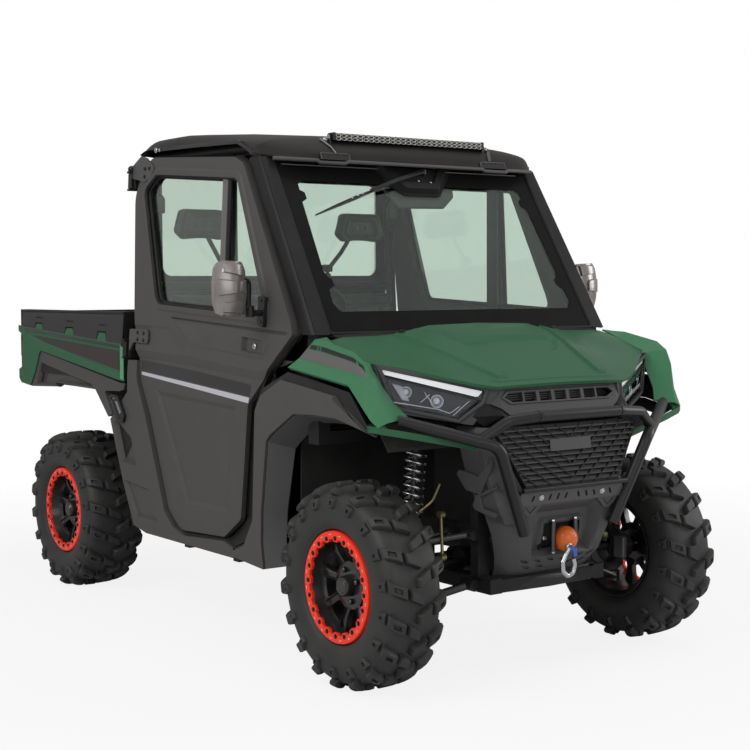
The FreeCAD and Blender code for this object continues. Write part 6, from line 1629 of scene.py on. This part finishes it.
def swollen(shape, voxel, cap):
    # remeshes a closed form, lets cloth under pressure swell it, and holds every point within the cap
    verts, faces = shape
    mesh = bpy.data.meshes.new("padForm")
    mesh.from_pydata(np.asarray(verts).tolist(), [], [list(face) for face in faces])
    form = bpy.data.objects.new("padForm", mesh)
    bpy.context.scene.collection.objects.link(form)
    remesh = form.modifiers.new("Remesh", "REMESH")
    remesh.mode, remesh.voxel_size, remesh.use_smooth_shade = "VOXEL", voxel, True

    def baked():
        # the mesh that the modifiers give, as a new one
        return bpy.data.meshes.new_from_object(form.evaluated_get(bpy.context.evaluated_depsgraph_get()))

    def places(source):
        # every vertex as one row
        out = np.empty(len(source.vertices) * 3)
        source.vertices.foreach_get("co", out)
        return out.reshape(-1, 3)

    fine = baked()
    form.modifiers.clear()
    form.data = fine
    rest = places(fine)
    cloth = form.modifiers.new("Cloth", "CLOTH")
    cloth.settings.quality = seatLook["quality"]
    cloth.settings.use_pressure = True
    cloth.settings.uniform_pressure_force = seatLook["pressure"]
    cloth.settings.effector_weights.gravity = 0.0
    cloth.settings.tension_stiffness = cloth.settings.compression_stiffness = seatLook["stretch"]
    cloth.settings.shear_stiffness = seatLook["shear"]
    cloth.settings.bending_stiffness = seatLook["bending"]
    cloth.point_cache.frame_start, cloth.point_cache.frame_end = 1, seatLook["frames"]
    for count in range(1, seatLook["frames"] + 1):
        bpy.context.scene.frame_set(count)
    moved = places(baked())
    form.modifiers.clear()
    bpy.context.scene.frame_set(1)
    way = moved - rest
    length = np.linalg.norm(way, axis=1, keepdims=True)
    way *= np.minimum(1.0, cap / np.maximum(length, 1e-9))
    rest = rest + way
    fine.vertices.foreach_set("co", rest.ravel())
    fine.update()
    finer = form.modifiers.new("Subdivision", "SUBSURF")
    finer.levels = finer.render_levels = 1
    soft = baked()
    points = places(soft)
    loops = np.empty(len(soft.loops), int)
    soft.loops.foreach_get("vertex_index", loops)
    starts = np.empty(len(soft.polygons), int)
    soft.polygons.foreach_get("loop_start", starts)
    bpy.data.objects.remove(form)
    return points, [part.tolist() for part in np.split(loops, starts[1:])]


def roundedPrism(outline, radii, low, high, axis):
    # a prism along one axis whose two end rims are drawn in, so it starts soft
    loop = rounded(outline, radii, 4, True)
    rings = []
    for share, inset in ((0, 0.016), (0, 0.005), (0.02, 0), (0.98, 0), (1, 0.005), (1, 0.016)):
        ring = insetLoop(loop, inset) if inset else loop
        step = {0.016: 0, 0.005: 0.004, 0: 0.016}[inset]
        at = low + step if share < 0.5 else high - step
        rings.append(np.insert(np.asarray(ring, float), axis, at, axis=1))
    count = len(rings[0])
    wallRows = loftRows([np.array(ring) for ring in rings], True)
    return joinShapes([wallRows, (rings[0], [list(range(count))]), (rings[-1], [list(range(count))])])


def channel(distance):
    # how far a sewn channel pulls the cover in at this distance from its line
    return seatLook["channelDepth"] * np.exp(-(distance / seatLook["channelWidth"]) ** 2)


# a padded piece
def padPiece(name, shape, replaced, material="seatVinyl"):
    piece = makePiece(name, shape, material, "chassis", smooth=180, replaces=replaced)
    return piece


inset = seatLook["inset"]
cushionForm = roundedPrism([(0.055 + inset, 0.83 + inset), (0.575 - inset, 0.83 + inset),
                            (0.575 - inset, 1.44), (0.055 + inset, 1.44)], [0.05, 0.05, 0.02, 0.02], 0.702,
                           0.798, 2)
cushion, cushionFaces = swollen((fromFront(cushionForm[0]), cushionForm[1]), seatLook["voxel"],
                                seatLook["cushionCap"])
station = cushion[:, 1] - frontAxle
onTop = np.clip((cushion[:, 2] - 0.765) / 0.02, 0, 1)
for line in seatLook["channelsAcross"]:
    inside = np.clip((station - 0.9) / 0.02, 0, 1)
    cushion[:, 2] -= channel(np.abs(cushion[:, 0] - line)) * onTop * inside
cushion[:, 2] -= channel(np.abs(station - 0.905)) * onTop
cushion[:, 2] = np.clip(cushion[:, 2], 0.7005, 0.8185)
cushion[:, 0] = np.clip(cushion[:, 0], 0.05, 0.581)
cushion[:, 1] = np.clip(cushion[:, 1], frontAxle + 0.824, frontAxle + 1.452)
backForm = roundedPrism([(1.434, 0.824), (1.4655, 1.296), (1.43, 1.32), (1.4, 1.302), (1.322, 0.904),
                         (1.318, 0.824)], [0.008, 0.016, 0.022, 0.022, 0.02, 0.01], 0.055 + inset,
                        0.575 - inset, 0)
back, backFaces = swollen((fromFront(backForm[0]), backForm[1]), seatLook["voxel"], seatLook["backCap"])
behind = frontAxle + np.interp(back[:, 2], [0.81, 1.3, 1.33], [1.44, 1.4765, 1.4765])
front = np.clip((behind - back[:, 1] - 0.045) / 0.02, 0, 1)
for line in seatLook["channelsAcross"]:
    inside = np.clip((1.245 - back[:, 2]) / 0.02, 0, 1)
    back[:, 1] += channel(np.abs(back[:, 0] - line)) * front * inside
back[:, 1] += channel(np.abs(back[:, 2] - 1.245)) * front
back[:, 1] = np.minimum(back[:, 1], behind)
back[:, 0] = np.clip(back[:, 0], 0.05, 0.581)
back[:, 2] = np.maximum(back[:, 2], 0.812)
for side, sign in sides:
    for name, verts, faces, owner in (("SeatCushion", cushion, cushionFaces, "seat_cushions"),
                                      ("SeatBack", back, backFaces, "seat_backs")):
        pad = (verts, faces) if sign > 0 else mirrored((verts, faces))
        padPiece(side.capitalize() + name, pad, [owner])
print("cushions ready")

centreX, centreY, centreZ = headrestLook["centre"]
halfX, halfZ = headrestLook["half"]
padLoop = [(centreX - halfX + 0.006, centreZ - 0.03), (centreX - halfX + 0.034, centreZ + halfZ - 0.006),
           (centreX + halfX - 0.034, centreZ + halfZ - 0.006), (centreX + halfX - 0.006, centreZ - 0.03),
           (centreX + halfX - 0.04, centreZ - halfZ + 0.006),
           (centreX - halfX + 0.04, centreZ - halfZ + 0.006)]
loop = rounded(padLoop, 0.022, 4, True)
rings = [np.insert(insetLoop(loop, take), 1, centreY + at, axis=1)
         for take, at in ((0.02, -0.0255), (0.007, -0.0235), (0.001, -0.015), (0.0005, 0.012),
                          (0.006, 0.0215), (0.018, 0.0245))]
padForm = joinShapes([loftRows(rings, True), (rings[0], [list(range(len(loop)))]),
                      (rings[-1], [list(range(len(loop)))])])
pad, padFaces = swollen((fromFront(padForm[0]), padForm[1]), headrestLook["voxel"], headrestLook["cap"])
tray = [(centreX - 0.088, centreZ - 0.024), (centreX - 0.066, centreZ + 0.038),
        (centreX + 0.066, centreZ + 0.038), (centreX + 0.088, centreZ - 0.024),
        (centreX + 0.064, centreZ - 0.042), (centreX - 0.064, centreZ - 0.042)]
within = loopDistance(np.stack([pad[:, 0], pad[:, 2]], -1), np.array(tray))
within = np.where(inLoop(np.stack([pad[:, 0], pad[:, 2]], -1), np.array(tray)), within, -within)
facingFront = np.clip((frontAxle + centreY - 0.008 - pad[:, 1]) / 0.008, 0, 1)
dish = 0.014 * np.clip(within / 0.012, 0, 1) + 0.004 * np.exp(-((within + 0.012) / 0.006) ** 2)
pad[:, 1] += dish * facingFront
pad[:, 0] = np.clip(pad[:, 0], centreX - halfX - 0.004, centreX + halfX + 0.004)
plateLoop = rounded([(centreX - 0.05, centreZ - 0.02), (centreX - 0.05, centreZ + 0.016),
                     (centreX + 0.05, centreZ + 0.016), (centreX + 0.05, centreZ - 0.02)], 0.012, 4, True)
plate = panel(plateLoop, lambda u, v, height: np.stack([u, np.full(len(u), frontAxle + centreY - 0.0165), v],
        -1))
for side, sign in sides:
    shape = (pad, padFaces) if sign > 0 else mirrored((pad, padFaces))
    padPiece(side.capitalize() + "HeadrestPad", shape, ["headrests"], "headrestVinyl")
bothPieces("HeadrestPlate", facing(plate, (0, -1, 0)), "headrestVinyl", wall=0.004, bevel=0.0015)
bothPieces("HeadrestBolts", joinShapes([boltHead(axlePoint((centreX + step, centreY - 0.0205,
        centreZ - 0.002)), (0, -1, 0), 0.0095, 0.005) for step in (-0.027, 0.027)]), "darkSteel", smooth=40)
stalk = tubeAlong(fromFront([(0.257, 1.5, 1.352), (0.258, 1.5, 1.398), (0.318, 1.478, 1.478),
                             (0.372, 1.47, 1.56)]), 0.0095, 0.03, 14, 5)
foot = joinShapes([rod(axlePoint((0.257, 1.5, 1.35)), axlePoint((0.257, 1.5, 1.385)), 0.017, 20),
                   axleBlock((0.236, 1.486, 1.392), (0.28, 1.516, 1.424))])
bothPieces("HeadrestStalk", stalk, "satinBlack", smooth=60)
bothPieces("HeadrestFoot", foot, "mouldedBlack", bevel=0.005, smooth=40)

# belts: webbing down the post, its upper guide and the reel cover
band = [(0.5885, 1.4835, 0.895), (0.588, 1.4815, 1.05), (0.588, 1.4805, 1.25), (0.5885, 1.4815, 1.45),
        (0.5895, 1.4835, 1.63), (0.5895, 1.4905, 1.672), (0.5895, 1.4985, 1.66)]
strap = sweep(rounded(fromFront(band), 0.04, 5),
              [(-0.0215, -0.0006), (-0.0195, 0.0006), (0.0195, 0.0006), (0.0215, -0.0006)], up=(0, -1, 0))
bothPieces("BeltWeb", strap, "beltWeb", smooth=60, replaces=["seat_belts"])
guide = rounded([(0.56, 1.628), (0.56, 1.688), (0.576, 1.708), (0.602, 1.708), (0.613, 1.688),
                 (0.613, 1.628)], [0.008, 0.02, 0.014, 0.014, 0.02, 0.008], 4, True)
guideShape = panel(guide, lambda u, v, height: np.stack([u, frontAxle + 1.47 - height, v], -1), reliefs=[
    (insetLoop(guide, 0.008), 0.006, 0.005)])
bothPieces("BeltGuide", facing(guideShape, (0, -1, 0)), "mouldedGrey", wall=0.012, bevel=0.002, smooth=35)
reel = axleBlock((0.562, 1.462, 0.85), (0.606, 1.512, 0.905))
bothPieces("BeltReel", reel, "mouldedBlack", bevel=0.008, smooth=40)
tongue = axleBlock((0.566, 1.474, 1.02), (0.611, 1.479, 1.062))
bothPieces("BeltTongue", tongue, "brightSteel", bevel=0.0015)

# steering wheel

steerLook = {"centre": (-0.325, 0.79, 1.19), "rim": 0.166, "grip": 0.0135, "spokes": [90, 205, 335],
             "spokeLine": ((0.045, -0.02), (0.09, -0.016), (0.13, -0.008), (0.16, 0.0))}
away = np.array([0.0, 0.8, 0.6])
rise = np.array([0.0, -0.6, 0.8])
hub = axlePoint(steerLook["centre"])


def onWheel(angle, radius, lift=0.0):
    # a place on the wheel's leaning plane; lift goes towards the driver
    angle = np.radians(angle)
    return hub + radius * (np.cos(angle)[..., None] * np.array([1.0, 0, 0])
                           + np.sin(angle)[..., None] * rise) + lift * away


turnSteps = np.linspace(0, 360, 97)[:-1]
grip = 1 + 0.1 * np.exp(-(np.abs(np.abs((turnSteps - 90 + 180) % 360 - 180) - 62) / 14.0) ** 2)
rimShape = sweep(onWheel(turnSteps, steerLook["rim"]), circle(steerLook["grip"], 14), True, scale=grip)
makePiece("SteeringRim", rimShape, "gripRubber", "steering_wheel", smooth=80, replaces=["steering_wheel"])
spokeShapes = []
for angle in steerLook["spokes"]:
    line = np.array([onWheel(np.array(float(angle)), radius, lift)
                     for radius, lift in steerLook["spokeLine"]])
    spokeShapes.append(sweep(line, [(-0.019, -0.004), (-0.012, 0.005), (0.012, 0.005), (0.019, -0.004)],
                             scale=[1.3, 1.0, 0.9, 1.15], up=away))
bossTurn = turnTo(away)
boss = turned([(-0.052, 0.0001), (-0.052, 0.03), (-0.03, 0.04), (-0.012, 0.058), (0.0, 0.056), (0.006, 0.046),
               (0.008, 0.0001)], 40, (0, 0, 0))
makePiece("SteeringBoss", joinShapes(spokeShapes + [(boss[0] @ bossTurn + hub - 0.004 * away, boss[1])]),
          "mouldedBlack", "steering_wheel", bevel=0.003, smooth=35)
print("seats and steering ready")


# cargo bed

bedLook = {"face": 0.699, "lower": 0.6925,
           "tabs": [[(2.507, 1.138), (2.486, 1.164), (2.43, 1.163), (2.41, 1.132)],
                    [(2.176, 1.12), (2.151, 1.149), (2.094, 1.15), (2.072, 1.114)],
                    [(1.842, 1.102), (1.82, 1.138), (1.76, 1.137), (1.746, 1.096)]]}


def onBed(x, lift=0.0):
    # the left side of the bed: u is the station from the front axle, v the height; both ends turn inwards
    return lambda u, v, height: np.stack([x + lift + height - 0.012 * np.clip((1.616 - u) / 0.022, 0,
            1) ** 2 - 0.01 * np.clip((u - 2.688) / 0.023, 0, 1) ** 2, frontAxle + u, v], -1)


def onRail(lift=0.0):
    # the moulded rail above it leans in towards its top, and rounds over at the rear corner
    def place(u, v, height):
        x = (0.6985 + lift + height - (v - 1.09) * 0.075 - 0.02 * np.clip((u - 2.64) / 0.06, 0, 1) ** 2
             - 0.03 * np.clip((v - 1.212) / 0.014, 0, 1) ** 2 * 0.4)
        return np.stack([x, frontAxle + u, v], -1)
    return place


bedEdge = [(1.597, 0.94), (1.597, 1.094), (2.676, 1.152), (2.7, 1.154), (2.71, 1.14), (2.69, 1.126),
           (2.664, 1.116), (2.642, 1.096), (2.655, 1.06), (2.652, 0.985), (2.662, 0.958), (2.698, 0.946),
           (2.71, 0.93), (2.706, 0.915), (2.668, 0.884), (2.562, 0.875), (2.5, 0.95), (2.456, 1.028),
           (2.436, 1.041)]
bedStations = [[(u, 0.86), (u, 1.16)] for u in (1.6, 1.605, 1.611, 1.618, 2.69, 2.696, 2.702)]
bedSkin = panel(bedEdge, onBed(bedLook["face"]), creases=bedStations, reliefs=[
    ([(1.62, 1.083), (2.6, 1.136), (2.6, 1.106), (1.62, 0.955)], -0.0025, 0.006)])
bothPieces("BedSkin", facing(bedSkin, (1, 0, 0)), "paintGreen", "cargo_bed", wall=0.006, bevel=0.0012,
           smooth=20, replaces=["bed_sides"])
# a light green strip along the rounded front edge of the bed side: painted highlight
edgeHighlight = panel([(1.598, 1.09), (1.611, 1.091), (1.614, 0.95), (1.598, 0.946)],
                  onBed(bedLook["face"], 0.0016))
bothPieces("BedEdge", facing(edgeHighlight, (1, 0, 0)), "paintLight", "cargo_bed", smooth=60)


def bandAt(u, low, high):
    # heights at both ends of a sloping band
    return np.interp(u, [1.607, 2.628], [low, high])


stripes = []
for first, last in ((1.624, 2.35), (2.366, 2.376), (2.39, 2.394), (2.404, 2.628)):
    stripes.append(panel([(first, bandAt(first, 1.0765, 1.129)), (first, bandAt(first, 1.088, 1.144)),
                          (last, bandAt(last, 1.088, 1.144)), (last, bandAt(last, 1.0765, 1.129))],
                         onBed(bedLook["face"], 0.001)))
bothPieces("BedStripe", joinShapes([facing(part, (1, 0, 0)) for part in stripes]), "stripeBlack", "cargo_bed")
wedge = panel([(2.525, 1.11), (2.4, 1.082), (1.626, 0.984), (1.626, 1.066)], onBed(bedLook["face"], -0.0008))
bothPieces("BedWedge", facing(wedge, (1, 0, 0)), "wedgeBrown", "cargo_bed")

railEdge = [(1.598, 1.084), (1.598, 1.2235), (2.612, 1.2255), (2.654, 1.216), (2.682, 1.19), (2.694, 1.165),
            (2.695, 1.142)]
pockets = [insetLoop(np.array([(tab[0][0] + 0.014, tab[0][1] - 0.03), (tab[1][0] + 0.02, tab[1][1] + 0.007),
                               (tab[2][0] - 0.006, tab[2][1] + 0.007),
                               (tab[3][0] - 0.006, tab[3][1] - 0.03)]), 0.001) for tab in bedLook["tabs"]]
marks = [[(at + 0.036, high + 0.004), (at - 0.036, high + 0.003), (at - 0.036, high - 0.004),
          (at + 0.036, high - 0.003)] for at, high in ((2.46, 1.192), (2.122, 1.18), (1.786, 1.169))]
railSkin = panel(railEdge, onRail(), creases=[[(1.59, v), (2.71, v)] for v in (1.205, 1.212, 1.218)]
                 + [[(u, 1.08), (u, 1.23)] for u in (2.655, 2.67, 2.685)],
                 reliefs=[(pocket, -0.009, 0.004) for pocket in pockets]
                 + [(mark, -0.005, 0.0022) for mark in marks])
bothPieces("BedRail", facing(railSkin, (1, 0, 0)), "mouldedRail", "cargo_bed", wall=0.005, bevel=0.001,
           smooth=25)
tabParts = [facing(panel(tab, onRail(0.0012)), (1, 0, 0)) for tab in bedLook["tabs"]]
bothPieces("BedTabs", joinShapes(tabParts), "paintGreen", "cargo_bed", wall=0.01, bevel=0.001)
railTop = loftRows([fromFront([(x, y, z) for y in np.linspace(1.598, 2.655, 12)]) for x, z in
                    ((0.6905, 1.219), (0.688, 1.2272), (0.664, 1.2276), (0.64, 1.2272), (0.637, 1.219))])
bothPieces("BedRailTop", facing(railTop, (0, 0, 1)), "mouldedBlack", "cargo_bed", wall=0.002, smooth=60)

lowerEdge = [(1.606, 0.905), (1.6, 0.933), (1.622, 0.932), (2.436, 1.037), (2.47, 1.04), (2.54, 0.948),
             (2.6, 0.878), (2.558, 0.872), (2.278, 0.884), (2.278, 0.898), (1.872, 0.893), (1.749, 0.784),
             (1.708, 0.8), (1.779, 0.884), (1.77, 0.892), (1.64, 0.897)]
lowerSkin = panel(lowerEdge, onBed(bedLook["lower"]),
                  reliefs=[([(2.45, 0.988), (2.385, 0.978), (1.9, 0.912), (1.89, 0.9), (2.27, 0.906),
                             (2.29, 0.89), (2.505, 0.884)], -0.018, 0.01)])
bothPieces("BedLower", facing(lowerSkin, (1, 0, 0)), "mouldedGrey", "cargo_bed", wall=0.022, bevel=0.0015,
           smooth=20, replaces=["bed_lower_sides"])
# a black sheet at the rear of the lower panel's recess: painted shade
shade = panel([(2.449, 0.984), (2.388, 0.975), (2.44, 0.897), (2.5, 0.888)], onBed(bedLook["lower"], -0.0165))
bothPieces("BedRecess", facing(shade, (1, 0, 0)), "stripeBlack", "cargo_bed")

lampEdge = rounded([(0.64, 1.006), (0.64, 1.114), (0.684, 1.114), (0.684, 1.006)], 0.006, 4, True)
lamp = panel(lampEdge, lambda u, v, height: np.stack([u, frontAxle + 2.7025 + height, v], -1), reliefs=[
    (insetLoop(lampEdge, 0.006), 0.005, 0.003)])
bothPieces("TailLens", facing(lamp, (0, 1, 0)), "lensRed", "cargo_bed", wall=0.006, smooth=30,
           replaces=["tail_lights"])
white = panel(rounded([(0.647, 1.018), (0.647, 1.04), (0.677, 1.04), (0.677, 1.018)], 0.003, 3, True),
              lambda u, v, height: np.stack([u, np.full(len(u), frontAxle + 2.7085), v], -1))
bothPieces("TailReverse", facing(white, (0, 1, 0)), "lensClear", "cargo_bed")


def onGate(lift=0.0):
    # the outside of the tailgate
    return lambda u, v, height: np.stack([u, np.full(len(u), frontAxle + 2.7085) + lift + height, v], -1)


gateEdge = rounded([(-0.628, 0.962), (-0.628, 1.214), (0.628, 1.214), (0.628, 0.962)], 0.012, 3, True)
gate = panel(gateEdge, onGate(), reliefs=[([(sign * 0.59, 1.0), (sign * 0.59, 1.15), (sign * 0.19, 1.15),
                                            (sign * 0.15, 1.0)], -0.006, 0.008) for sign in (-1, 1)]
             + [([(-0.1, 1.12), (-0.115, 1.185), (0.115, 1.185), (0.1, 1.12)], -0.012, 0.006)])
makePiece("GateSkin", facing(gate, (0, 1, 0)), "mouldedBlack", "tailgate", wall=0.004, bevel=0.001, smooth=25)
handle = axleBlock((-0.072, 2.6975, 1.128), (0.072, 2.7095, 1.16))
makePiece("GateHandle", handle, "satinBlack", "tailgate", bevel=0.004, smooth=40)

# a catch and the dark closing panel between the cab and the bed
closing = panel([(1.88, 0.9), (1.575, 0.93), (1.56, 0.64), (1.64, 0.69), (1.8, 0.79)],
                lambda u, v, height: np.stack([np.full(len(u), 0.64) + height, frontAxle + u, v], -1))
bothPieces("SideClosing", facing(closing, (1, 0, 0)), "linerBlack", wall=0.006)
catchEdge = rounded([(1.722, 0.866), (1.69, 0.884), (1.63, 0.878), (1.572, 0.8), (1.59, 0.77), (1.64, 0.768)],
                    0.012, 3, True)
catch = panel(catchEdge, lambda u, v, height: np.stack([0.706 + height, frontAxle + u, v], -1), reliefs=[
    (insetLoop(catchEdge, 0.012), -0.006, 0.005)])
bothPieces("SideCatch", facing(catch, (1, 0, 0)), "satinBlack", wall=0.028, bevel=0.0025, smooth=30)
chromes = [panel(outline, lambda u, v, height: np.stack([np.full(len(u), 0.7025), frontAxle + u, v], -1))
           for outline in ([(1.69, 0.874), (1.652, 0.876), (1.652, 0.866), (1.68, 0.862)],
                           [(1.664, 0.856), (1.64, 0.856), (1.606, 0.812), (1.622, 0.804)])]
bothPieces("CatchPlate", joinShapes([facing(part, (1, 0, 0)) for part in chromes]), "reflector", wall=0.002)
print("cargo bed ready")

# springs, brakes and the underside

shockLook = {"front": ((0.415, 0.03, 0.305), (0.372, 0.016, 0.838)),
             "rear": ((0.415, 2.12, 0.305), (0.34, 2.04, 0.8)), "coils": 8.5, "coilRadius": 0.0335,
             "wire": 0.0058}


def coilOver(foot, top):
    # a damper body, its rod, a spring wound round them, a preload collar and an eye at each end
    foot, top = axlePoint(foot), axlePoint(top)
    line = top - foot
    length = np.linalg.norm(line)
    turn = turnTo(line)
    share = np.linspace(0, 1, int(shockLook["coils"] * 20) + 1)
    angle = share * shockLook["coils"] * 2 * np.pi
    helix = np.stack([length * (0.46 + 0.44 * share), shockLook["coilRadius"] * np.cos(angle),
                      shockLook["coilRadius"] * np.sin(angle)], -1)
    spring = sweep(helix, circle(shockLook["wire"], 8), up=(1, 0, 0))
    tube = turned([(0, 0.0001), (0, 0.013), (0.1, 0.013), (0.1, 0.021), (0.42 * length, 0.021),
                   (0.42 * length, 0.0001)], 24, (0, 0, 0))
    plunger = turned([(0.4 * length, 0.0001), (0.4 * length, 0.0085), (0.93 * length, 0.0085),
                      (0.93 * length, 0.0001)], 16, (0, 0, 0))
    collar = turned([(0.398 * length, 0.0001), (0.398 * length, 0.03), (0.408 * length, 0.034),
                     (0.432 * length, 0.034), (0.442 * length, 0.03), (0.442 * length, 0.0001)], 28,
                    (0, 0, 0))
    seats = [turned([(at * length, 0.0001), (at * length, 0.038), ((at + 0.014) * length, 0.04),
                     ((at + 0.026) * length, 0.03), ((at + 0.026) * length, 0.0001)], 28, (0, 0, 0))
             for at in (0.446, 0.905)]
    eyes = [rod(place + np.array([0, -0.016, 0]), place + np.array([0, 0.016, 0]), 0.0175, 20)
            for place in (foot, top)]

    def turnAll(shape):
        # from the X line to the line between foot and top
        return np.asarray(shape[0]) @ turn + foot, shape[1]

    damper, seat = turnAll(joinShapes([tube, plunger])), joinShapes([turnAll(part) for part in seats] + eyes)
    return turnAll(spring), damper, turnAll(collar), seat


for end in ("front", "rear"):
    spring, damper, collar, seat = coilOver(*shockLook[end])
    bothPieces(end.capitalize() + "Spring", spring, "brightSteel", smooth=80, replaces=["shocks"])
    bothPieces(end.capitalize() + "Damper", damper, "darkSteel", smooth=40)
    bothPieces(end.capitalize() + "Collar", collar, "collarOrange", smooth=40, bevel=0.0015)
    bothPieces(end.capitalize() + "SpringSeat", seat, "satinBlack", smooth=40)
tower = joinShapes([axleBlock((0.33, -0.012, 0.8), (0.352, 0.044, 0.862)),
                    axleBlock((0.33, -0.012, 0.856), (0.4, 0.044, 0.864))])
bothPieces("ShockTower", tower, "frameBlack", bevel=0.003)

# brake disc and calliper inside each front wheel, on the steered knuckle
disc = turned([(0.506, 0.055), (0.506, 0.09), (0.51, 0.09), (0.51, 0.055)], 48, axlePoint((0, 0, 0.345)))
bothPieces("BrakeDisc", disc, "darkSteel", "%s_knuckle", smooth=30)
caliper = axleBlock((0.486, -0.105, 0.32), (0.506, -0.055, 0.4))
bothPieces("BrakeCaliper", caliper, "castMetal", "%s_knuckle", bevel=0.006, smooth=40)
brakePipe = tubeAlong(fromFront([(0.4, 0.02, 0.44), (0.404, 0.016, 0.5), (0.39, -0.01, 0.56),
                                 (0.352, -0.04, 0.6), (0.335, -0.06, 0.66)]), 0.0042, 0.05, 8, 6)
bothPieces("BrakePipe", brakePipe, "brassTube", smooth=60)
dropLink = joinShapes([rod(axlePoint((0.372, -0.118, 0.43)), axlePoint((0.372, -0.112, 0.56)), 0.0055, 12),
                       rod(axlePoint((0.362, -0.118, 0.424)), axlePoint((0.382, -0.118, 0.424)), 0.013, 16),
                       rod(axlePoint((0.362, -0.112, 0.566)), axlePoint((0.382, -0.112, 0.566)), 0.012, 16)])
bothPieces("DropLink", dropLink, "brassTube", smooth=50)
print("running gear ready")


# studio and camera

studio = {"keyPower": 150, "fillPower": 62, "topPower": 52, "rimPower": 85, "worldLight": 0.27,
          "floorSize": 60.0}


# a rectangular lamp that looks at a target
def areaLamp(name, place, target, power, width, height):
    lamp = bpy.data.lights.new(name, "AREA")
    lamp.shape, lamp.size, lamp.size_y, lamp.energy = "RECTANGLE", width, height, power
    holder = bpy.data.objects.new(name, lamp)
    bpy.context.scene.collection.objects.link(holder)
    holder.location = place
    holder.rotation_euler = (Vector(target) - Vector(place)).to_track_quat("-Z", "Y").to_euler()


areaLamp("keyLamp", (-5.5, -1.5, 4.2), (0, -0.2, 0.9), studio["keyPower"], 4.0, 3.0)
areaLamp("topLamp", (0.4, -1.0, 6.0), (0, -0.3, 0.8), studio["topPower"], 5.0, 4.0)
areaLamp("fillLamp", (-1.0, -7.5, 2.6), (0, -0.5, 0.8), studio["fillPower"], 4.5, 3.0)
areaLamp("rimLamp", (5.0, -3.5, 2.6), (0.3, -1.0, 0.7), studio["rimPower"], 2.0, 3.0)

world = bpy.data.worlds.new("studioWorld")
bpy.context.scene.world = world
world.use_nodes = True
sky = world.node_tree
background = sky.nodes["Background"]
path = node(sky, "LightPath")
seen = calc(sky, "MAXIMUM", path.outputs["Is Camera Ray"], path.outputs["Is Transmission Ray"])
seen = calc(sky, "MAXIMUM", seen, calc(sky, "MULTIPLY", path.outputs["Is Glossy Ray"], 0.24))
strength = node(sky, "MapRange", (("Value", seen), ("To Min", studio["worldLight"]), ("To Max", 1.0)))
background.inputs["Color"].default_value = (1, 1, 1, 1)
sky.links.new(strength.outputs[0], background.inputs["Strength"])

floorMesh = bpy.data.meshes.new("studioFloor")
reach = studio["floorSize"] / 2
floorMesh.from_pydata([(-reach, -reach, 0), (reach, -reach, 0), (reach, reach, 0), (-reach, reach, 0)], [],
                      [(0, 1, 2, 3)])
floor = bpy.data.objects.new("studioFloor", floorMesh)
bpy.context.scene.collection.objects.link(floor)
floorMaterial = bpy.data.materials.new("studioFloor")
floorMaterial.use_nodes = True
ground = floorMaterial.node_tree
shader = ground.nodes["Principled BSDF"]
shader.inputs["Base Color"].default_value = (0.86, 0.86, 0.86, 1)
shader.inputs["Roughness"].default_value = 0.9
shader.inputs["Specular IOR Level"].default_value = 0.0
white = node(ground, "Emission", (("Color", (1, 1, 1, 1)), ("Strength", 1.0)))
rays = node(ground, "LightPath")
mixed = node(ground, "MixShader")
looked = calc(ground, "MAXIMUM", rays.outputs["Is Camera Ray"], rays.outputs["Is Transmission Ray"])
spot = node(ground, "TexCoord").outputs["Object"]
away = node(ground, "VectorMath", ((0, spot),), operation="LENGTH").outputs["Value"]
share = node(ground, "MapRange", (("Value", away), ("From Min", 2.0), ("From Max", 4.6), ("To Min", 0.86),
                                  ("To Max", 1.0)))
ground.links.new(calc(ground, "MULTIPLY", looked, share.outputs[0]), mixed.inputs[0])
ground.links.new(shader.outputs[0], mixed.inputs[1])
ground.links.new(white.outputs[0], mixed.inputs[2])
ground.links.new(mixed.outputs[0], ground.nodes["Material Output"].inputs["Surface"])
floorMesh.materials.append(floorMaterial)

cameraView = {"fromAxle": (-3.4047, -3.9626, 1.3254), "heading": 0.62189, "down": 0.057738, "lean": -0.00501,
              "lens": 70.96, "shiftX": 0.0015, "shiftY": -0.0036}
camera = bpy.data.cameras.new("studioCamera")
camera.sensor_width, camera.lens = 36.0, cameraView["lens"]
camera.shift_x, camera.shift_y = cameraView["shiftX"], cameraView["shiftY"]
holder = bpy.data.objects.new("studioCamera", camera)
bpy.context.scene.collection.objects.link(holder)
heading, down, lean = cameraView["heading"], cameraView["down"], cameraView["lean"]
ahead = Vector((math.sin(heading) * math.cos(down), math.cos(heading) * math.cos(down), -math.sin(down)))
right = Vector((math.cos(heading), -math.sin(heading), 0))
above = right.cross(ahead)
leanRight = right * math.cos(lean) + above * math.sin(lean)
leanUp = above * math.cos(lean) - right * math.sin(lean)
turn = Matrix((leanRight, leanUp, -ahead)).transposed()
holder.matrix_world = Matrix.Translation(axlePoint(cameraView["fromAxle"])) @ turn.to_4x4()
bpy.context.scene.camera = holder
bpy.context.scene.view_settings.view_transform = "Standard"
print("studio ready")
